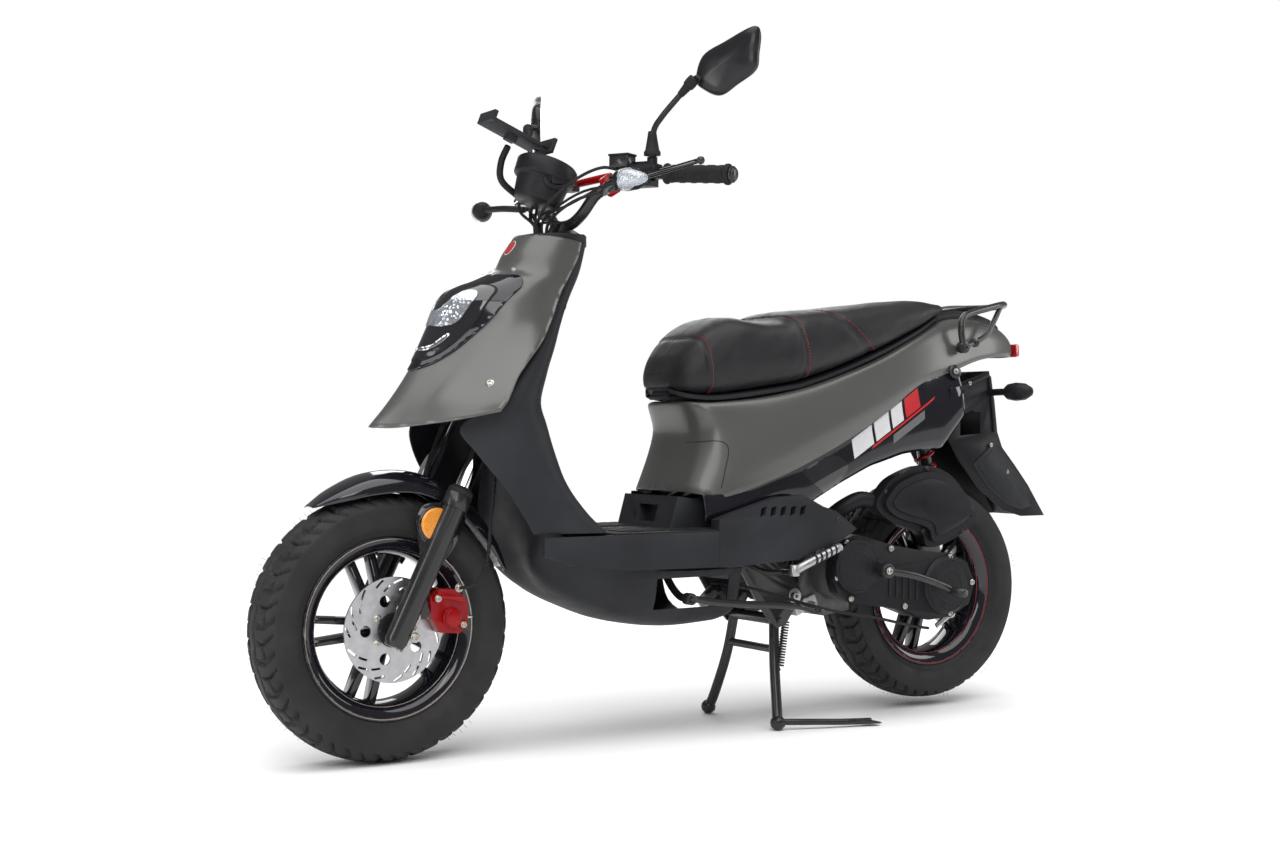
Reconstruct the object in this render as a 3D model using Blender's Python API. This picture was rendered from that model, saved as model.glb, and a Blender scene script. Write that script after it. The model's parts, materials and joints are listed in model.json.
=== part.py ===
"""Moped scooter: telescopic fork, step-through chassis with body panels, and a swinging engine unit.

Units are metres. +X is forward, +Y is the rider's left, +Z is up. The ground is z = 0 and the origin is
midway along the machine. Each sub-part is one named object; a moving one has its origin on its joint.
"""

import math

import bmesh
import bpy
from mathutils import Matrix, Vector

X = Vector((1, 0, 0))
Y = Vector((0, 1, 0))
Z = Vector((0, 0, 1))

# Driving dimensions
GAP = 0.0004
FRONT_AXLE = Vector((0.668, 0.0, 0.243))
REAR_AXLE = Vector((-0.608, 0.0, 0.254))
FRONT_TYRE_RADIUS = 0.243
REAR_TYRE_RADIUS = 0.239
FRONT_TYRE_WIDTH = 0.120
REAR_TYRE_WIDTH = 0.129
RIM_RADIUS = 0.166
DISC_RADIUS = 0.095
DISC_Y = 0.0585
WHEEL_SIDES = 18
RAKE = math.radians(26)
FORK_DIR = Vector((-math.sin(RAKE), 0, math.cos(RAKE)))
FORK_AHEAD = Vector((math.cos(RAKE), 0, math.sin(RAKE)))
LEG_Y = 0.088
LEG_RADIUS = 0.021
STANCHION_RADIUS = 0.0155
STEER_OFFSET = 0.025
STEM_RADIUS = 0.0165
BAR_RADIUS = 0.011
PANEL = 0.003
ENGINE_PIVOT = Vector((-0.20, 0, 0.262))
STAND_PIVOT = Vector((-0.165, 0, 0.215))
SIDE_STAND_PIVOT = Vector((0.10, 0.16, 0.277))
KICK_PIVOT = Vector((-0.36, 0.18, 0.313))
SHOCK_TOP = Vector((-0.52, 0.095, 0.665))
SHOCK_FOOT = Vector((-0.575, 0.095, 0.375))
SEAT_HINGE = Vector((0.066, 0, 0.664))
LOCK_AT = Vector((-0.598, 0.1292, 0.722))
BAR_HOUSING = Vector((0.217, 0.185, 1.0746))
BAR_OUT = Vector((-0.457, 0.889, -0.013)).normalized()
BAR_FRONT = Vector((0.889, 0.457, 0))
GRIP_START = Vector((0.199, 0.22, 1.074))
BAR_END = Vector((0.136, 0.34, 1.063))
PEG_PIVOT = Vector((-0.131, 0.185, 0.324))
BRAKE_ARM_PIVOT = Vector((-0.612, 0.1015, 0.205))
MIRROR_ROOT = Vector((0.235, 0.24, 1.10))
MIRROR_BALL = Vector((0.178, 0.308, 1.235))
CRADLE_PIVOT = Vector((0.385, -0.03, 1.158))
POD_CENTRE = Vector((0.3255, 0, 1.09))
POD_AXIS = Vector((-math.sin(math.radians(20)), 0, math.cos(math.radians(20))))


# Shapes: each returns a temporary object holding one closed body


def clear():
    for old in list(bpy.data.objects):
        bpy.data.objects.remove(old, do_unlink=True)


def solid(points, faces, split=False):
    """One closed body from points and faces, turned outwards; bent faces are split so that a Boolean is exact."""
    mesh = bpy.data.meshes.new("shape")
    mesh.from_pydata([tuple(p) for p in points], [], faces)
    work = bmesh.new()
    work.from_mesh(mesh)
    if split:
        bmesh.ops.triangulate(work, faces=work.faces)
    bmesh.ops.recalc_face_normals(work, faces=work.faces)
    if work.calc_volume(signed=True) < 0:
        bmesh.ops.reverse_faces(work, faces=work.faces)
    work.to_mesh(mesh)
    work.free()
    shape = bpy.data.objects.new("shape", mesh)
    bpy.context.scene.collection.objects.link(shape)
    return shape


def across(axis):
    """Two unit vectors at right angles to an axis and to each other."""
    side = axis.cross(Z) if abs(axis.z) < 0.9 else axis.cross(Y)
    side.normalize()
    return side, axis.cross(side).normalized()


def smooth_path(points, steps):
    """Points on one smooth curve through the given points."""
    points = [Vector(p) for p in points]
    if steps < 2 or len(points) < 3:
        return points
    ends = [2 * points[0] - points[1], *points, 2 * points[-1] - points[-2]]
    path = []
    for a, b, c, d in zip(ends, ends[1:], ends[2:], ends[3:]):
        for k in range(steps):
            t = k / steps
            path.append(
                0.5 * (2 * b + (c - a) * t + (2 * a - 5 * b + 4 * c - d) * t**2 + (3 * b - a - 3 * c + d) * t**3)
            )
    path.append(points[-1])
    return path


def tube(points, radius, sides=8, steps=1):
    """A round bar that follows a path; the radius may change along it."""
    path = smooth_path(points, steps)
    count = len(path)
    radii = radius if isinstance(radius, (list, tuple)) else [radius] * count
    heading = (path[1] - path[0]).normalized()
    side, up = across(heading)
    verts = []
    for i, point in enumerate(path):
        here = (path[min(i + 1, count - 1)] - path[max(i - 1, 0)]).normalized()
        side = (side - here * side.dot(here)).normalized()
        up = here.cross(side)
        r = radii[i * (len(radii) - 1) // (count - 1)]
        for k in range(sides):
            a = 2 * math.pi * k / sides
            verts.append(point + side * (r * math.cos(a)) + up * (r * math.sin(a)))
    faces = [list(range(sides)), list(range((count - 1) * sides, count * sides))]
    for i in range(count - 1):
        for k in range(sides):
            j = (k + 1) % sides
            faces.append([i * sides + k, i * sides + j, (i + 1) * sides + j, (i + 1) * sides + k])
    return solid(verts, faces)


def lathe(profile, start, axis, sides=16):
    """A turned body. The profile holds (distance along the axis, radius); off the axis it closes on itself."""
    axis = Vector(axis).normalized()
    side, up = across(axis)
    verts = []
    rings = []
    for along, r in profile:
        at = Vector(start) + axis * along
        if r == 0:
            rings.append([len(verts)] * sides)
            verts.append(at)
            continue
        rings.append(list(range(len(verts), len(verts) + sides)))
        for k in range(sides):
            a = 2 * math.pi * k / sides
            verts.append(at + side * (r * math.cos(a)) + up * (r * math.sin(a)))
    pairs = list(zip(rings, rings[1:]))
    if profile[0][1] or profile[-1][1]:
        pairs.append((rings[-1], rings[0]))
    faces = []
    for low, high in pairs:
        for k in range(sides):
            j = (k + 1) % sides
            face = list(dict.fromkeys([low[k], low[j], high[j], high[k]]))
            if len(face) > 2:
                faces.append(face)
    return solid(verts, faces)


def rod(a, b, radius, sides=10):
    a, b = Vector(a), Vector(b)
    length = (b - a).length
    return lathe([(0, 0), (0, radius), (length, radius), (length, 0)], a, b - a, sides)


def sleeve(a, b, outer, inner, sides=12):
    a, b = Vector(a), Vector(b)
    length = (b - a).length
    return lathe([(0, inner), (0, outer), (length, outer), (length, inner)], a, b - a, sides)


def loft(rings):
    """A body through rings of equally many points, closed at both ends."""
    n = len(rings[0])
    verts = [p for ring in rings for p in ring]
    faces = [list(range(n)), list(range((len(rings) - 1) * n, len(rings) * n))]
    for i in range(len(rings) - 1):
        for k in range(n):
            j = (k + 1) % n
            faces.append([i * n + k, i * n + j, (i + 1) * n + j, (i + 1) * n + k])
    return solid(verts, faces)


def prism(outline, low, high, axis="y"):
    """A flat outline pulled along an axis: (x, z) along y, (x, y) along z, or (y, z) along x."""
    place = {
        "y": lambda a, b, c: Vector((a, c, b)),
        "z": lambda a, b, c: Vector((a, b, c)),
        "x": lambda a, b, c: Vector((c, a, b)),
    }[axis]
    return loft([[place(a, b, c) for a, b in outline] for c in (low, high)])


def plate(outline, origin, along, up, low, high):
    """A flat outline in the plane of two vectors, pulled from low to high along their normal."""
    origin, along, up = Vector(origin), Vector(along).normalized(), Vector(up).normalized()
    normal = along.cross(up).normalized()
    return loft([[origin + along * a + up * b + normal * c for a, b in outline] for c in (low, high)])


def block(centre, size, along=X, up=Z):
    a, b, c = (s / 2 for s in size)
    along = Vector(along).normalized()
    side = Vector(up).cross(along).normalized()
    up = along.cross(side).normalized()
    centre = Vector(centre)
    rings = []
    for u in (-a, a):
        ring = [(-b, -c), (b, -c), (b, c), (-b, c)]
        rings.append([centre + along * u + side * v + up * w for v, w in ring])
    return loft(rings)


def box(low, high):
    low, high = Vector(low), Vector(high)
    return block((low + high) / 2, high - low)


def both_sides(row):
    """A row given from the middle plane outwards, continued to the other side."""
    half = [Vector(p) for p in row]
    return [flip(p) for p in reversed(half[1:])] + half


def flip(point):
    point = Vector(point)
    return Vector((point.x, -point.y, point.z))


def sheet(grid, thickness, closed=False, inside=None):
    """A panel through a grid of points, thickened towards `inside` (default: the grid's own middle)."""
    rows, cols = len(grid), len(grid[0])
    middle = Vector(inside) if inside else sum((p for row in grid for p in row), Vector()) / (rows * cols)
    backs = []
    for i in range(rows):
        for j in range(cols):
            above = grid[(i - 1) % rows if closed else max(i - 1, 0)][j]
            below = grid[(i + 1) % rows if closed else min(i + 1, rows - 1)][j]
            left, right = grid[i][max(j - 1, 0)], grid[i][min(j + 1, cols - 1)]
            backs.append((below - above).cross(right - left).normalized())
    here = [p for row in grid for p in row]
    lean = sum((middle - p).dot(n) for p, n in zip(here, backs))
    turn = thickness if lean > 0 else -thickness
    verts = here + [p + n * turn for p, n in zip(here, backs)]
    depth = rows * cols
    faces = []
    spans = rows if closed else rows - 1
    for i in range(spans):
        k = (i + 1) % rows
        for j in range(cols - 1):
            quad = [i * cols + j, i * cols + j + 1, k * cols + j + 1, k * cols + j]
            faces.append(quad)
            faces.append([depth + v for v in reversed(quad)])
        for j in (0, cols - 1):
            faces.append([i * cols + j, k * cols + j, depth + k * cols + j, depth + i * cols + j])
    if not closed:
        for i in (0, rows - 1):
            for j in range(cols - 1):
                a = i * cols + j
                faces.append([a, a + 1, depth + a + 1, depth + a])
    return solid(verts, faces, split=True)


def spread(row, count):
    """The same polyline with another number of points."""
    row = [Vector(p) for p in row]
    out = []
    for k in range(count):
        t = k * (len(row) - 1) / (count - 1)
        i = min(int(t), len(row) - 2)
        out.append(row[i].lerp(row[i + 1], t - i))
    return out


def mirrored(shape):
    """A copy of a shape on the other side of the middle plane."""
    mesh = shape.data.copy()
    mesh.transform(Matrix.Diagonal((1, -1, 1, 1)))
    mesh.flip_normals()
    copy = bpy.data.objects.new("shape", mesh)
    bpy.context.scene.collection.objects.link(copy)
    return copy


def combine(base, others, operation):
    for other in others:
        step = base.modifiers.new("combine", "BOOLEAN")
        step.operation = operation
        step.solver = "EXACT"
        step.object = other
    graph = bpy.context.evaluated_depsgraph_get()
    mesh = bpy.data.meshes.new_from_object(base.evaluated_get(graph))
    base.modifiers.clear()
    base.data = mesh
    for other in others:
        bpy.data.objects.remove(other, do_unlink=True)
    return base


def tidy(shape):
    """Points that a Boolean left on top of each other are made one, and loose crumbs are dropped."""
    work = bmesh.new()
    work.from_mesh(shape.data)
    bmesh.ops.remove_doubles(work, verts=work.verts, dist=1e-5)
    bmesh.ops.dissolve_degenerate(work, edges=work.edges, dist=1e-5)
    work.to_mesh(shape.data)
    work.free()


# Finishes: colour, roughness, metallic

FINISHES = {
    "grey_panel": ((0.155, 0.155, 0.142), 0.38, 0.1),
    "gloss_black": ((0.010, 0.010, 0.014), 0.12, 0.0),
    "charcoal": ((0.028, 0.029, 0.032), 0.62, 0.0),
    "black_paint": ((0.018, 0.018, 0.019), 0.4, 0.0),
    "leather": ((0.012, 0.012, 0.013), 0.45, 0.0),
    "rubber": ((0.022, 0.022, 0.022), 0.8, 0.0),
    "red_metal": ((0.42, 0.012, 0.014), 0.3, 0.6),
    "chrome": ((0.75, 0.75, 0.76), 0.08, 1.0),
    "steel": ((0.5, 0.5, 0.5), 0.3, 1.0),
    "aluminium": ((0.42, 0.42, 0.43), 0.38, 1.0),
    "engine_alloy": ((0.09, 0.09, 0.095), 0.45, 0.6),
    "lens": ((0.62, 0.64, 0.66), 0.08, 0.0),
    "red_lens": ((0.35, 0.01, 0.012), 0.15, 0.0),
    "mirror_black": ((0.012, 0.012, 0.014), 0.22, 0.0),
}


def material(finish):
    found = bpy.data.materials.get(finish)
    if found:
        return found
    colour, roughness, metallic = FINISHES[finish]
    made = bpy.data.materials.new(finish)
    made.use_nodes = True
    shader = made.node_tree.nodes["Principled BSDF"]
    shader.inputs["Base Color"].default_value = (*colour, 1)
    shader.inputs["Roughness"].default_value = roughness
    shader.inputs["Metallic"].default_value = metallic
    made.diffuse_color = (*colour, 1)
    return made


def node(name, finish, shapes, cuts=(), pivot=(0, 0, 0)):
    """One named sub-part: shapes joined, cuts taken away, origin on the pivot."""
    made = shapes[0]
    if len(shapes) > 1:
        combine(made, shapes[1:], "UNION")
    if cuts:
        combine(made, list(cuts), "DIFFERENCE")
    tidy(made)
    made.name = name
    made.data.name = name
    made.data.materials.clear()
    made.data.materials.append(material(finish))
    made.data.transform(Matrix.Translation(-Vector(pivot)))
    made.location = pivot
    for face in made.data.polygons:
        face.use_smooth = True
    made.data.set_sharp_from_angle(angle=math.radians(32))
    return made


def fork_at(s, y=0.0, ahead=0.0):
    """The point s up the fork from the axle, y to the left and `ahead` of the legs' plane."""
    return FRONT_AXLE + FORK_DIR * s + FORK_AHEAD * ahead + Y * y


def stem_at(s):
    """The point s up the steering axis."""
    return fork_at(s, 0, -STEER_OFFSET)


# Wheels


def tyre(name, axle, radius, width):
    """A hollow tyre, open towards the rim, with a flat facet on the ground."""
    grow = radius / math.cos(math.pi / WHEEL_SIDES)
    half = width / 2
    outer = [
        (0.0395, 0.1512),
        (0.0405, 0.1680),
        (half * 0.88, 0.182),
        (half, 0.203),
        (half * 0.90, grow - 0.017),
        (half * 0.58, grow - 0.0045),
        (half * 0.2, grow),
    ]
    inner = [(0.0325, 0.1512), (half - 0.012, 0.192), (half - 0.013, grow - 0.026), (0.012, grow - 0.012)]
    profile = outer + [(-y, r) for y, r in reversed(outer)]
    profile += [(-y, r) for y, r in inner] + list(reversed(inner))
    return node(name, "rubber", [lathe(profile, axle, Y, WHEEL_SIDES)], pivot=axle)


def rim(name, axle, hub_low, hub_high, hub_radius, bore):
    """A cast rim: barrel, hub and five pairs of spokes."""
    barrel = [
        (-0.046, RIM_RADIUS - 0.009),
        (-0.046, RIM_RADIUS),
        (-0.042, RIM_RADIUS),
        (-0.041, 0.149),
        (-0.025, 0.1485),
        (-0.018, 0.141),
        (0.018, 0.141),
        (0.025, 0.1485),
        (0.041, 0.149),
        (0.042, RIM_RADIUS),
        (0.046, RIM_RADIUS),
        (0.046, RIM_RADIUS - 0.009),
        (0.036, 0.1425),
        (0.016, 0.1335),
        (-0.016, 0.1335),
        (-0.036, 0.1425),
    ]
    shapes = [lathe(barrel, axle, Y, WHEEL_SIDES)]
    shapes.append(
        lathe([(hub_low, bore), (hub_low, hub_radius), (hub_high, hub_radius), (hub_high, bore)], axle, Y, 16)
    )
    for pair in range(5):
        turn = 2 * math.pi * pair / 5
        out = X * math.cos(turn) + Z * math.sin(turn)
        side = -X * math.sin(turn) + Z * math.cos(turn)
        for hand in (-1, 1):
            rings = []
            for r, off, wide, deep in ((0.0240, 0.0115, 0.0074, 0.0193), (0.1330, 0.021, 0.0065, 0.0148)):
                centre = axle + out * r + side * (hand * off)
                corners = [(-wide, -deep), (wide, -deep), (wide, deep), (-wide, deep)]
                rings.append([centre + side * a + Y * b for a, b in corners])
            shapes.append(loft(rings))
    return node(name, "gloss_black", shapes, pivot=axle)


def wheels():
    tyre("front_tyre", FRONT_AXLE, FRONT_TYRE_RADIUS, FRONT_TYRE_WIDTH)
    tyre("rear_tyre", REAR_AXLE, REAR_TYRE_RADIUS, REAR_TYRE_WIDTH)
    rim("front_rim", FRONT_AXLE, -0.045, 0.045, 0.034, 0.0098)
    rim("rear_rim", REAR_AXLE, -0.046, 0.058, 0.046, 0.0118)
    ring = [(-0.002, 0.070), (-0.002, DISC_RADIUS), (0.002, DISC_RADIUS), (0.002, 0.070)]
    centre = FRONT_AXLE + Y * DISC_Y
    shapes = [lathe(ring, centre, Y, 24)]
    shapes.append(lathe([(-0.013, 0.0115), (-0.013, 0.030), (0.001, 0.030), (0.001, 0.0115)], centre, Y, 16))
    for arm in range(5):
        turn = 2 * math.pi * (arm + 0.5) / 5
        out = X * math.cos(turn) + Z * math.sin(turn)
        shapes.append(block(centre + out * 0.051 - Y * 0.001, (0.050, 0.013, 0.0035), out, Y))
    node("brake_disc", "steel", shapes, pivot=FRONT_AXLE)


# Fork and steering


def fork_lower():
    """Both lower legs, the front axle, the caliper ears and the mudguard brackets."""
    shapes = [rod(FRONT_AXLE - Y * 0.104, FRONT_AXLE + Y * 0.104, 0.0085, 12)]
    cuts = []
    for y in (-LEG_Y, LEG_Y):
        legs = [(0, 0), (0, 0.017), (0.012, LEG_RADIUS), (0.27, LEG_RADIUS), (0.27, 0.0245), (0.296, 0.0245), (0.296, 0)]
        shapes.append(lathe(legs, fork_at(-0.03, y), FORK_DIR, 12))
        cuts.append(rod(fork_at(0.06, y), fork_at(0.32, y), STANCHION_RADIUS + 0.0012, 12))
    holder = [
        (0.63, 0.425),
        (0.585, 0.468),
        (0.545, 0.46),
        (0.535, 0.44),
        (0.56, 0.39),
        (0.59, 0.348),
        (0.625, 0.38),
    ]
    shapes.append(prism(holder, 0.0755, 0.0825))
    shapes.append(handed(prism(holder, 0.0755, 0.0825), -1))
    ear = [(0.655, 0.32), (0.622, 0.335), (0.612, 0.30), (0.616, 0.262), (0.650, 0.262)]
    shapes.append(prism(ear, 0.076, 0.088))
    return node("fork_lower", "black_paint", shapes, cuts)


def fork_crown():
    """The two stanchions, the lower crown and the steering stem."""
    shapes = []
    for y in (-LEG_Y, LEG_Y):
        shapes.append(rod(fork_at(0.14, y), fork_at(0.470, y), STANCHION_RADIUS, 12))
        shapes.append(rod(fork_at(0.437, y), fork_at(0.467, y), 0.0205, 12))
    shapes.append(rod(stem_at(0.442), stem_at(0.79), STEM_RADIUS, 14))
    yoke = [(-0.0185, -0.03), (-0.0185, 0.03), (0.008, 0.088), (0.018, 0.088), (0.018, -0.088), (0.008, -0.088)]
    shapes.append(plate(yoke, stem_at(0.4505), FORK_AHEAD, Y, -0.009, 0.009))
    return node("fork_crown", "steel", shapes, pivot=stem_at(0))


def front_fender():
    """A mudguard that follows the tyre, pointed at both tips."""
    line = [(58, 0.262, 0.020), (70, 0.270, 0.048), (84, 0.281, 0.060), (100, 0.287, 0.0622)]
    line += [(116, 0.285, 0.0622), (132, 0.277, 0.060), (146, 0.270, 0.052), (158, 0.266, 0.038)]
    rows = []
    for degrees, r, half in line:
        a = math.radians(degrees)
        out = X * math.cos(a) + Z * math.sin(a)
        row = []
        for y, drop in ((0, 0), (0.45, 0.003), (0.80, 0.011), (0.97, 0.024), (1.0, 0.040)):
            row.append(FRONT_AXLE + out * (r - drop * (half / 0.0622) ** 2) + Y * (half * y))
        rows.append(both_sides(row))
    return node("front_fender", "gloss_black", [sheet(rows, 0.0022, inside=FRONT_AXLE)])


def brake_caliper():
    outline = [
        (0.535, 0.248),
        (0.552, 0.2325),
        (0.590, 0.236),
        (0.606, 0.262),
        (0.611, 0.30),
        (0.592, 0.315),
        (0.556, 0.312),
        (0.536, 0.29),
    ]
    body = prism(outline, 0.050, 0.090)
    piston = rod((0.5675, 0.089, 0.262), (0.5675, 0.098, 0.262), 0.017, 14)
    slot = lathe([(-0.004, 0.0), (-0.004, 0.0975), (0.004, 0.0975), (0.004, 0)], FRONT_AXLE + Y * DISC_Y, Y, 30)
    return node("brake_caliper", "red_metal", [body, piston], [slot])


def brake_hose():
    """The hose from under the lower crown to the caliper."""
    route = [
        (0.482, 0.104, 0.555),
        (0.488, 0.105, 0.5175),
        (0.494, 0.108, 0.475),
        (0.500, 0.110, 0.435),
        (0.503, 0.111, 0.390),
        (0.510, 0.109, 0.350),
        (0.523, 0.104, 0.325),
        (0.5375, 0.097, 0.316),
        (0.552, 0.0945, 0.3155),
    ]
    return node("brake_hose", "rubber", [tube(route, 0.0032, 6, 2)])


def bar_path():
    """The handlebar's centre line from the middle to the left end."""
    return [
        (0.283, 0, 0.992),
        (0.281, 0.03, 0.996),
        (0.277, 0.06, 1.012),
        (0.27, 0.09, 1.04),
        (0.259, 0.11, 1.054),
        (0.247, 0.13, 1.066),
        (0.235, 0.15, 1.0745),
        GRIP_START,
        BAR_END,
    ]


def bar_frame(b, f, z=0.0, hand=1):
    """A point near a switch housing: b outwards along the bar, f ahead of it, z above it."""
    point = BAR_HOUSING + BAR_OUT * b + BAR_FRONT * f + Z * z
    return point if hand > 0 else flip(point)


def handed(shape, hand):
    """The shape itself on the left, its mirror image on the right."""
    if hand > 0:
        return shape
    copy = mirrored(shape)
    bpy.data.objects.remove(shape, do_unlink=True)
    return copy


def handlebar():
    half = [Vector(p) for p in bar_path()]
    path = [flip(p) for p in reversed(half[1:])] + half
    clamp = block(stem_at(0.8145) + FORK_AHEAD * 0.004, (0.044, 0.046, 0.046), FORK_AHEAD, FORK_DIR)
    return node("handlebar", "black_paint", [tube(path, BAR_RADIUS, 10), clamp])


def handlebar_brace():
    shapes = [rod((0.247, -0.112, 1.078), (0.247, 0.112, 1.078), 0.0075, 10)]
    for hand in (-1, 1):
        way = Vector((-0.012, 0.020, 0.012)).normalized()
        at = Vector((0.253, 0.120, 1.060))
        ring = sleeve(at - way * 0.010, at + way * 0.010, 0.0205, 0.0132, 12)
        shapes.append(handed(ring, hand))
    return node("handlebar_brace", "red_metal", shapes)


def instrument_pod():
    """The round display, its bracket to the brace and the arm of the phone holder."""
    low = POD_CENTRE - POD_AXIS * 0.062
    profile = [(0, 0), (0, 0.043), (0.012, 0.047), (0.044, 0.051), (0.048, 0.059), (0.078, 0.060), (0.080, 0.053)]
    profile += [(0.074, 0.050), (0.074, 0)]
    shapes = [lathe(profile, low, POD_AXIS, 20)]
    shapes.append(block((0.284, 0, 1.064), (0.054, 0.030, 0.010)))
    arm = [(0.365, -0.030, 1.045), (0.404, -0.030, 1.075), (0.405, -0.030, 1.11), (0.390, -0.030, 1.143)]
    shapes.append(tube(arm, 0.0065, 8, 2))
    return node("instrument_pod", "charcoal", shapes)


def phone_holder():
    """A tilting cradle with a fixed jaw, and the spring-loaded jaw that slides on it."""
    down = Vector((-0.15, 0, -0.06)).normalized()
    up = Y.cross(down).normalized()
    if up.z < 0:
        up = -up
    at = CRADLE_PIVOT + up * 0.008
    shapes = [block(at, (0.110, 0.062, 0.007), down, up)]
    shapes.append(block(at - down * 0.058 + up * 0.007, (0.008, 0.062, 0.021), down, up))
    shapes.append(block(at - up * 0.008, (0.020, 0.020, 0.012), down, up))
    slots = [block(at + down * 0.036 + Y * y + up * 0.002, (0.044, 0.0095, 0.0045), down, up) for y in (-0.018, 0.018)]
    node("phone_cradle", "charcoal", shapes, slots, pivot=CRADLE_PIVOT)
    jaw = [block(at + down * 0.075 + up * 0.009, (0.008, 0.070, 0.030), down, up)]
    jaw += [block(at + down * 0.0465 + Y * y + up * 0.0026, (0.052, 0.0085, 0.0028), down, up) for y in (-0.018, 0.018)]
    node("phone_clamp_jaw", "charcoal", jaw, pivot=CRADLE_PIVOT)


def grip(name, hand):
    start = GRIP_START + (BAR_END - GRIP_START) * 0.05
    end = BAR_END + (BAR_END - GRIP_START).normalized() * 0.006
    way = (end - start).normalized()
    length = (end - start).length
    profile = [
        (0, 0.0132),
        (0, 0.0172),
        (0.006, 0.0172),
        (0.009, 0.0165),
        (length - 0.012, 0.0165),
        (length - 0.009, 0.0195),
        (length - 0.003, 0.0195),
        (length, 0.0155),
        (length, 0.0132),
    ]
    shape = handed(lathe(profile, start, way, 14), hand)
    return node(name, "rubber", [shape], pivot=start if hand > 0 else flip(start))


def switchgear(name, hand):
    """Switch housing round the bar with the lever's perch, the mirror boss and one button's bore."""
    shapes = [block(bar_frame(-0.004, 0), (0.044, 0.042, 0.044), BAR_OUT, Z)]
    shapes.append(block(bar_frame(0.012, 0.035, 0.0055), (0.074, 0.034, 0.015), BAR_OUT, Z))
    root = MIRROR_ROOT - Z * 0.0015
    shapes.append(rod(root - Z * 0.022, root, 0.0095, 12))
    cuts = [rod(bar_frame(-0.05, 0), bar_frame(0.05, 0), 0.0126, 12)]
    cuts.append(rod(bar_frame(-0.006, -0.030, -0.012), bar_frame(-0.006, -0.0135, -0.012), 0.0058, 12))
    shapes = [handed(s, hand) for s in shapes]
    cuts = [handed(s, hand) for s in cuts]
    return node(name, "gloss_black", shapes, cuts)


def bar_button(name, hand):
    shape = rod(bar_frame(-0.006, -0.025, -0.012), bar_frame(-0.006, -0.0175, -0.012), 0.005, 12)
    return node(name, "red_metal", [handed(shape, hand)], pivot=bar_frame(-0.006, -0.025, -0.012, hand))


def brake_lever(name, hand):
    pivot = bar_frame(-0.008, 0.050, -0.0125)
    blade = [
        bar_frame(-0.008, 0.050, -0.0125),
        bar_frame(0.02, 0.059, -0.0135),
        bar_frame(0.05, 0.062, -0.010),
        bar_frame(0.10, 0.060, 0.0),
        bar_frame(0.150, 0.060, 0.010),
    ]
    shapes = [tube(blade, [0.0052, 0.0060, 0.0058, 0.0052, 0.0048], 8, 1)]
    tip = bar_frame(0.152, 0.060, 0.010)
    ball = [(-0.008, 0), (-0.0057, 0.0057), (0, 0.008), (0.0057, 0.0057), (0.008, 0)]
    shapes.append(lathe(ball, tip, Z, 10))
    shapes.append(rod(pivot - Z * 0.007, pivot + Z * 0.0100, 0.0085, 12))
    shapes = [handed(s, hand) for s in shapes]
    return node(name, "gloss_black", shapes, pivot=pivot if hand > 0 else flip(pivot))


MIRROR_ALONG = Vector((-0.5, 0.866, 0)).normalized()
MIRROR_FRONT = Vector((0.866, 0.5, 0)).normalized()


def mirror_stem(name, hand):
    route = [MIRROR_ROOT, (0.232, 0.24, 1.146), (0.222, 0.252, 1.172), (0.207, 0.285, 1.205)]
    route.append(MIRROR_BALL + MIRROR_FRONT * 0.0165)
    shapes = [tube(route, 0.0055, 8, 2), rod(MIRROR_ROOT - Z * 0.001, MIRROR_ROOT + Z * 0.014, 0.0085, 6)]
    shapes = [handed(s, hand) for s in shapes]
    return node(name, "mirror_black", shapes, pivot=MIRROR_ROOT if hand > 0 else flip(MIRROR_ROOT))


def mirror_head(name, hand):
    """An angular head with a crease across its front face."""
    outline = [(0, 0), (0.02, 0.043), (0.118, 0.089), (0.133, 0.076), (0.125, 0.007), (0.051, -0.033)]
    corner = MIRROR_BALL - MIRROR_ALONG * 0.011
    middle = Vector((0.076, 0.030))
    rings = []
    for depth, size in ((-0.010, 0.96), (-0.006, 1.0), (0.002, 1.0), (0.009, 0.55)):
        ring = []
        for a, b in outline:
            p = middle + (Vector((a, b)) - middle) * size
            ring.append(corner + MIRROR_ALONG * p.x + Z * p.y + MIRROR_FRONT * depth)
        rings.append(ring)
    socket = rod(MIRROR_BALL - MIRROR_FRONT * 0.004, MIRROR_BALL + MIRROR_FRONT * 0.0090, 0.008, 10)
    shapes = [handed(s, hand) for s in (loft(rings), socket)]
    pivot = MIRROR_BALL if hand > 0 else flip(MIRROR_BALL)
    return node(name, "mirror_black", shapes, pivot=pivot)


def signal_head(centre, along, length, height):
    """A blunt teardrop lens along one direction."""
    half = height / 2
    profile = [(-length / 2, 0), (-length / 2, half * 0.55), (-length * 0.38, half * 0.86), (-length * 0.12, half)]
    profile += [(length * 0.18, half * 0.9), (length * 0.4, half * 0.5), (length / 2, 0)]
    return lathe(profile, centre, along, 10)


def front_signal(name, hand):
    """A signal on a stalk from the handlebar's lower bend."""
    back = Vector((-0.5, 0.866, 0)).normalized()
    shapes = [signal_head((0.312, 0.292, 1.047), back, 0.068, 0.042)]
    stalk = [(0.286, 0.155, 1.040), (0.310, 0.20, 1.045), (0.322, 0.25, 1.047), (0.322, 0.275, 1.047)]
    shapes.append(tube(stalk, 0.0065, 8, 2))
    shapes = [handed(s, hand) for s in shapes]
    return node(name, "lens", shapes)


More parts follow.
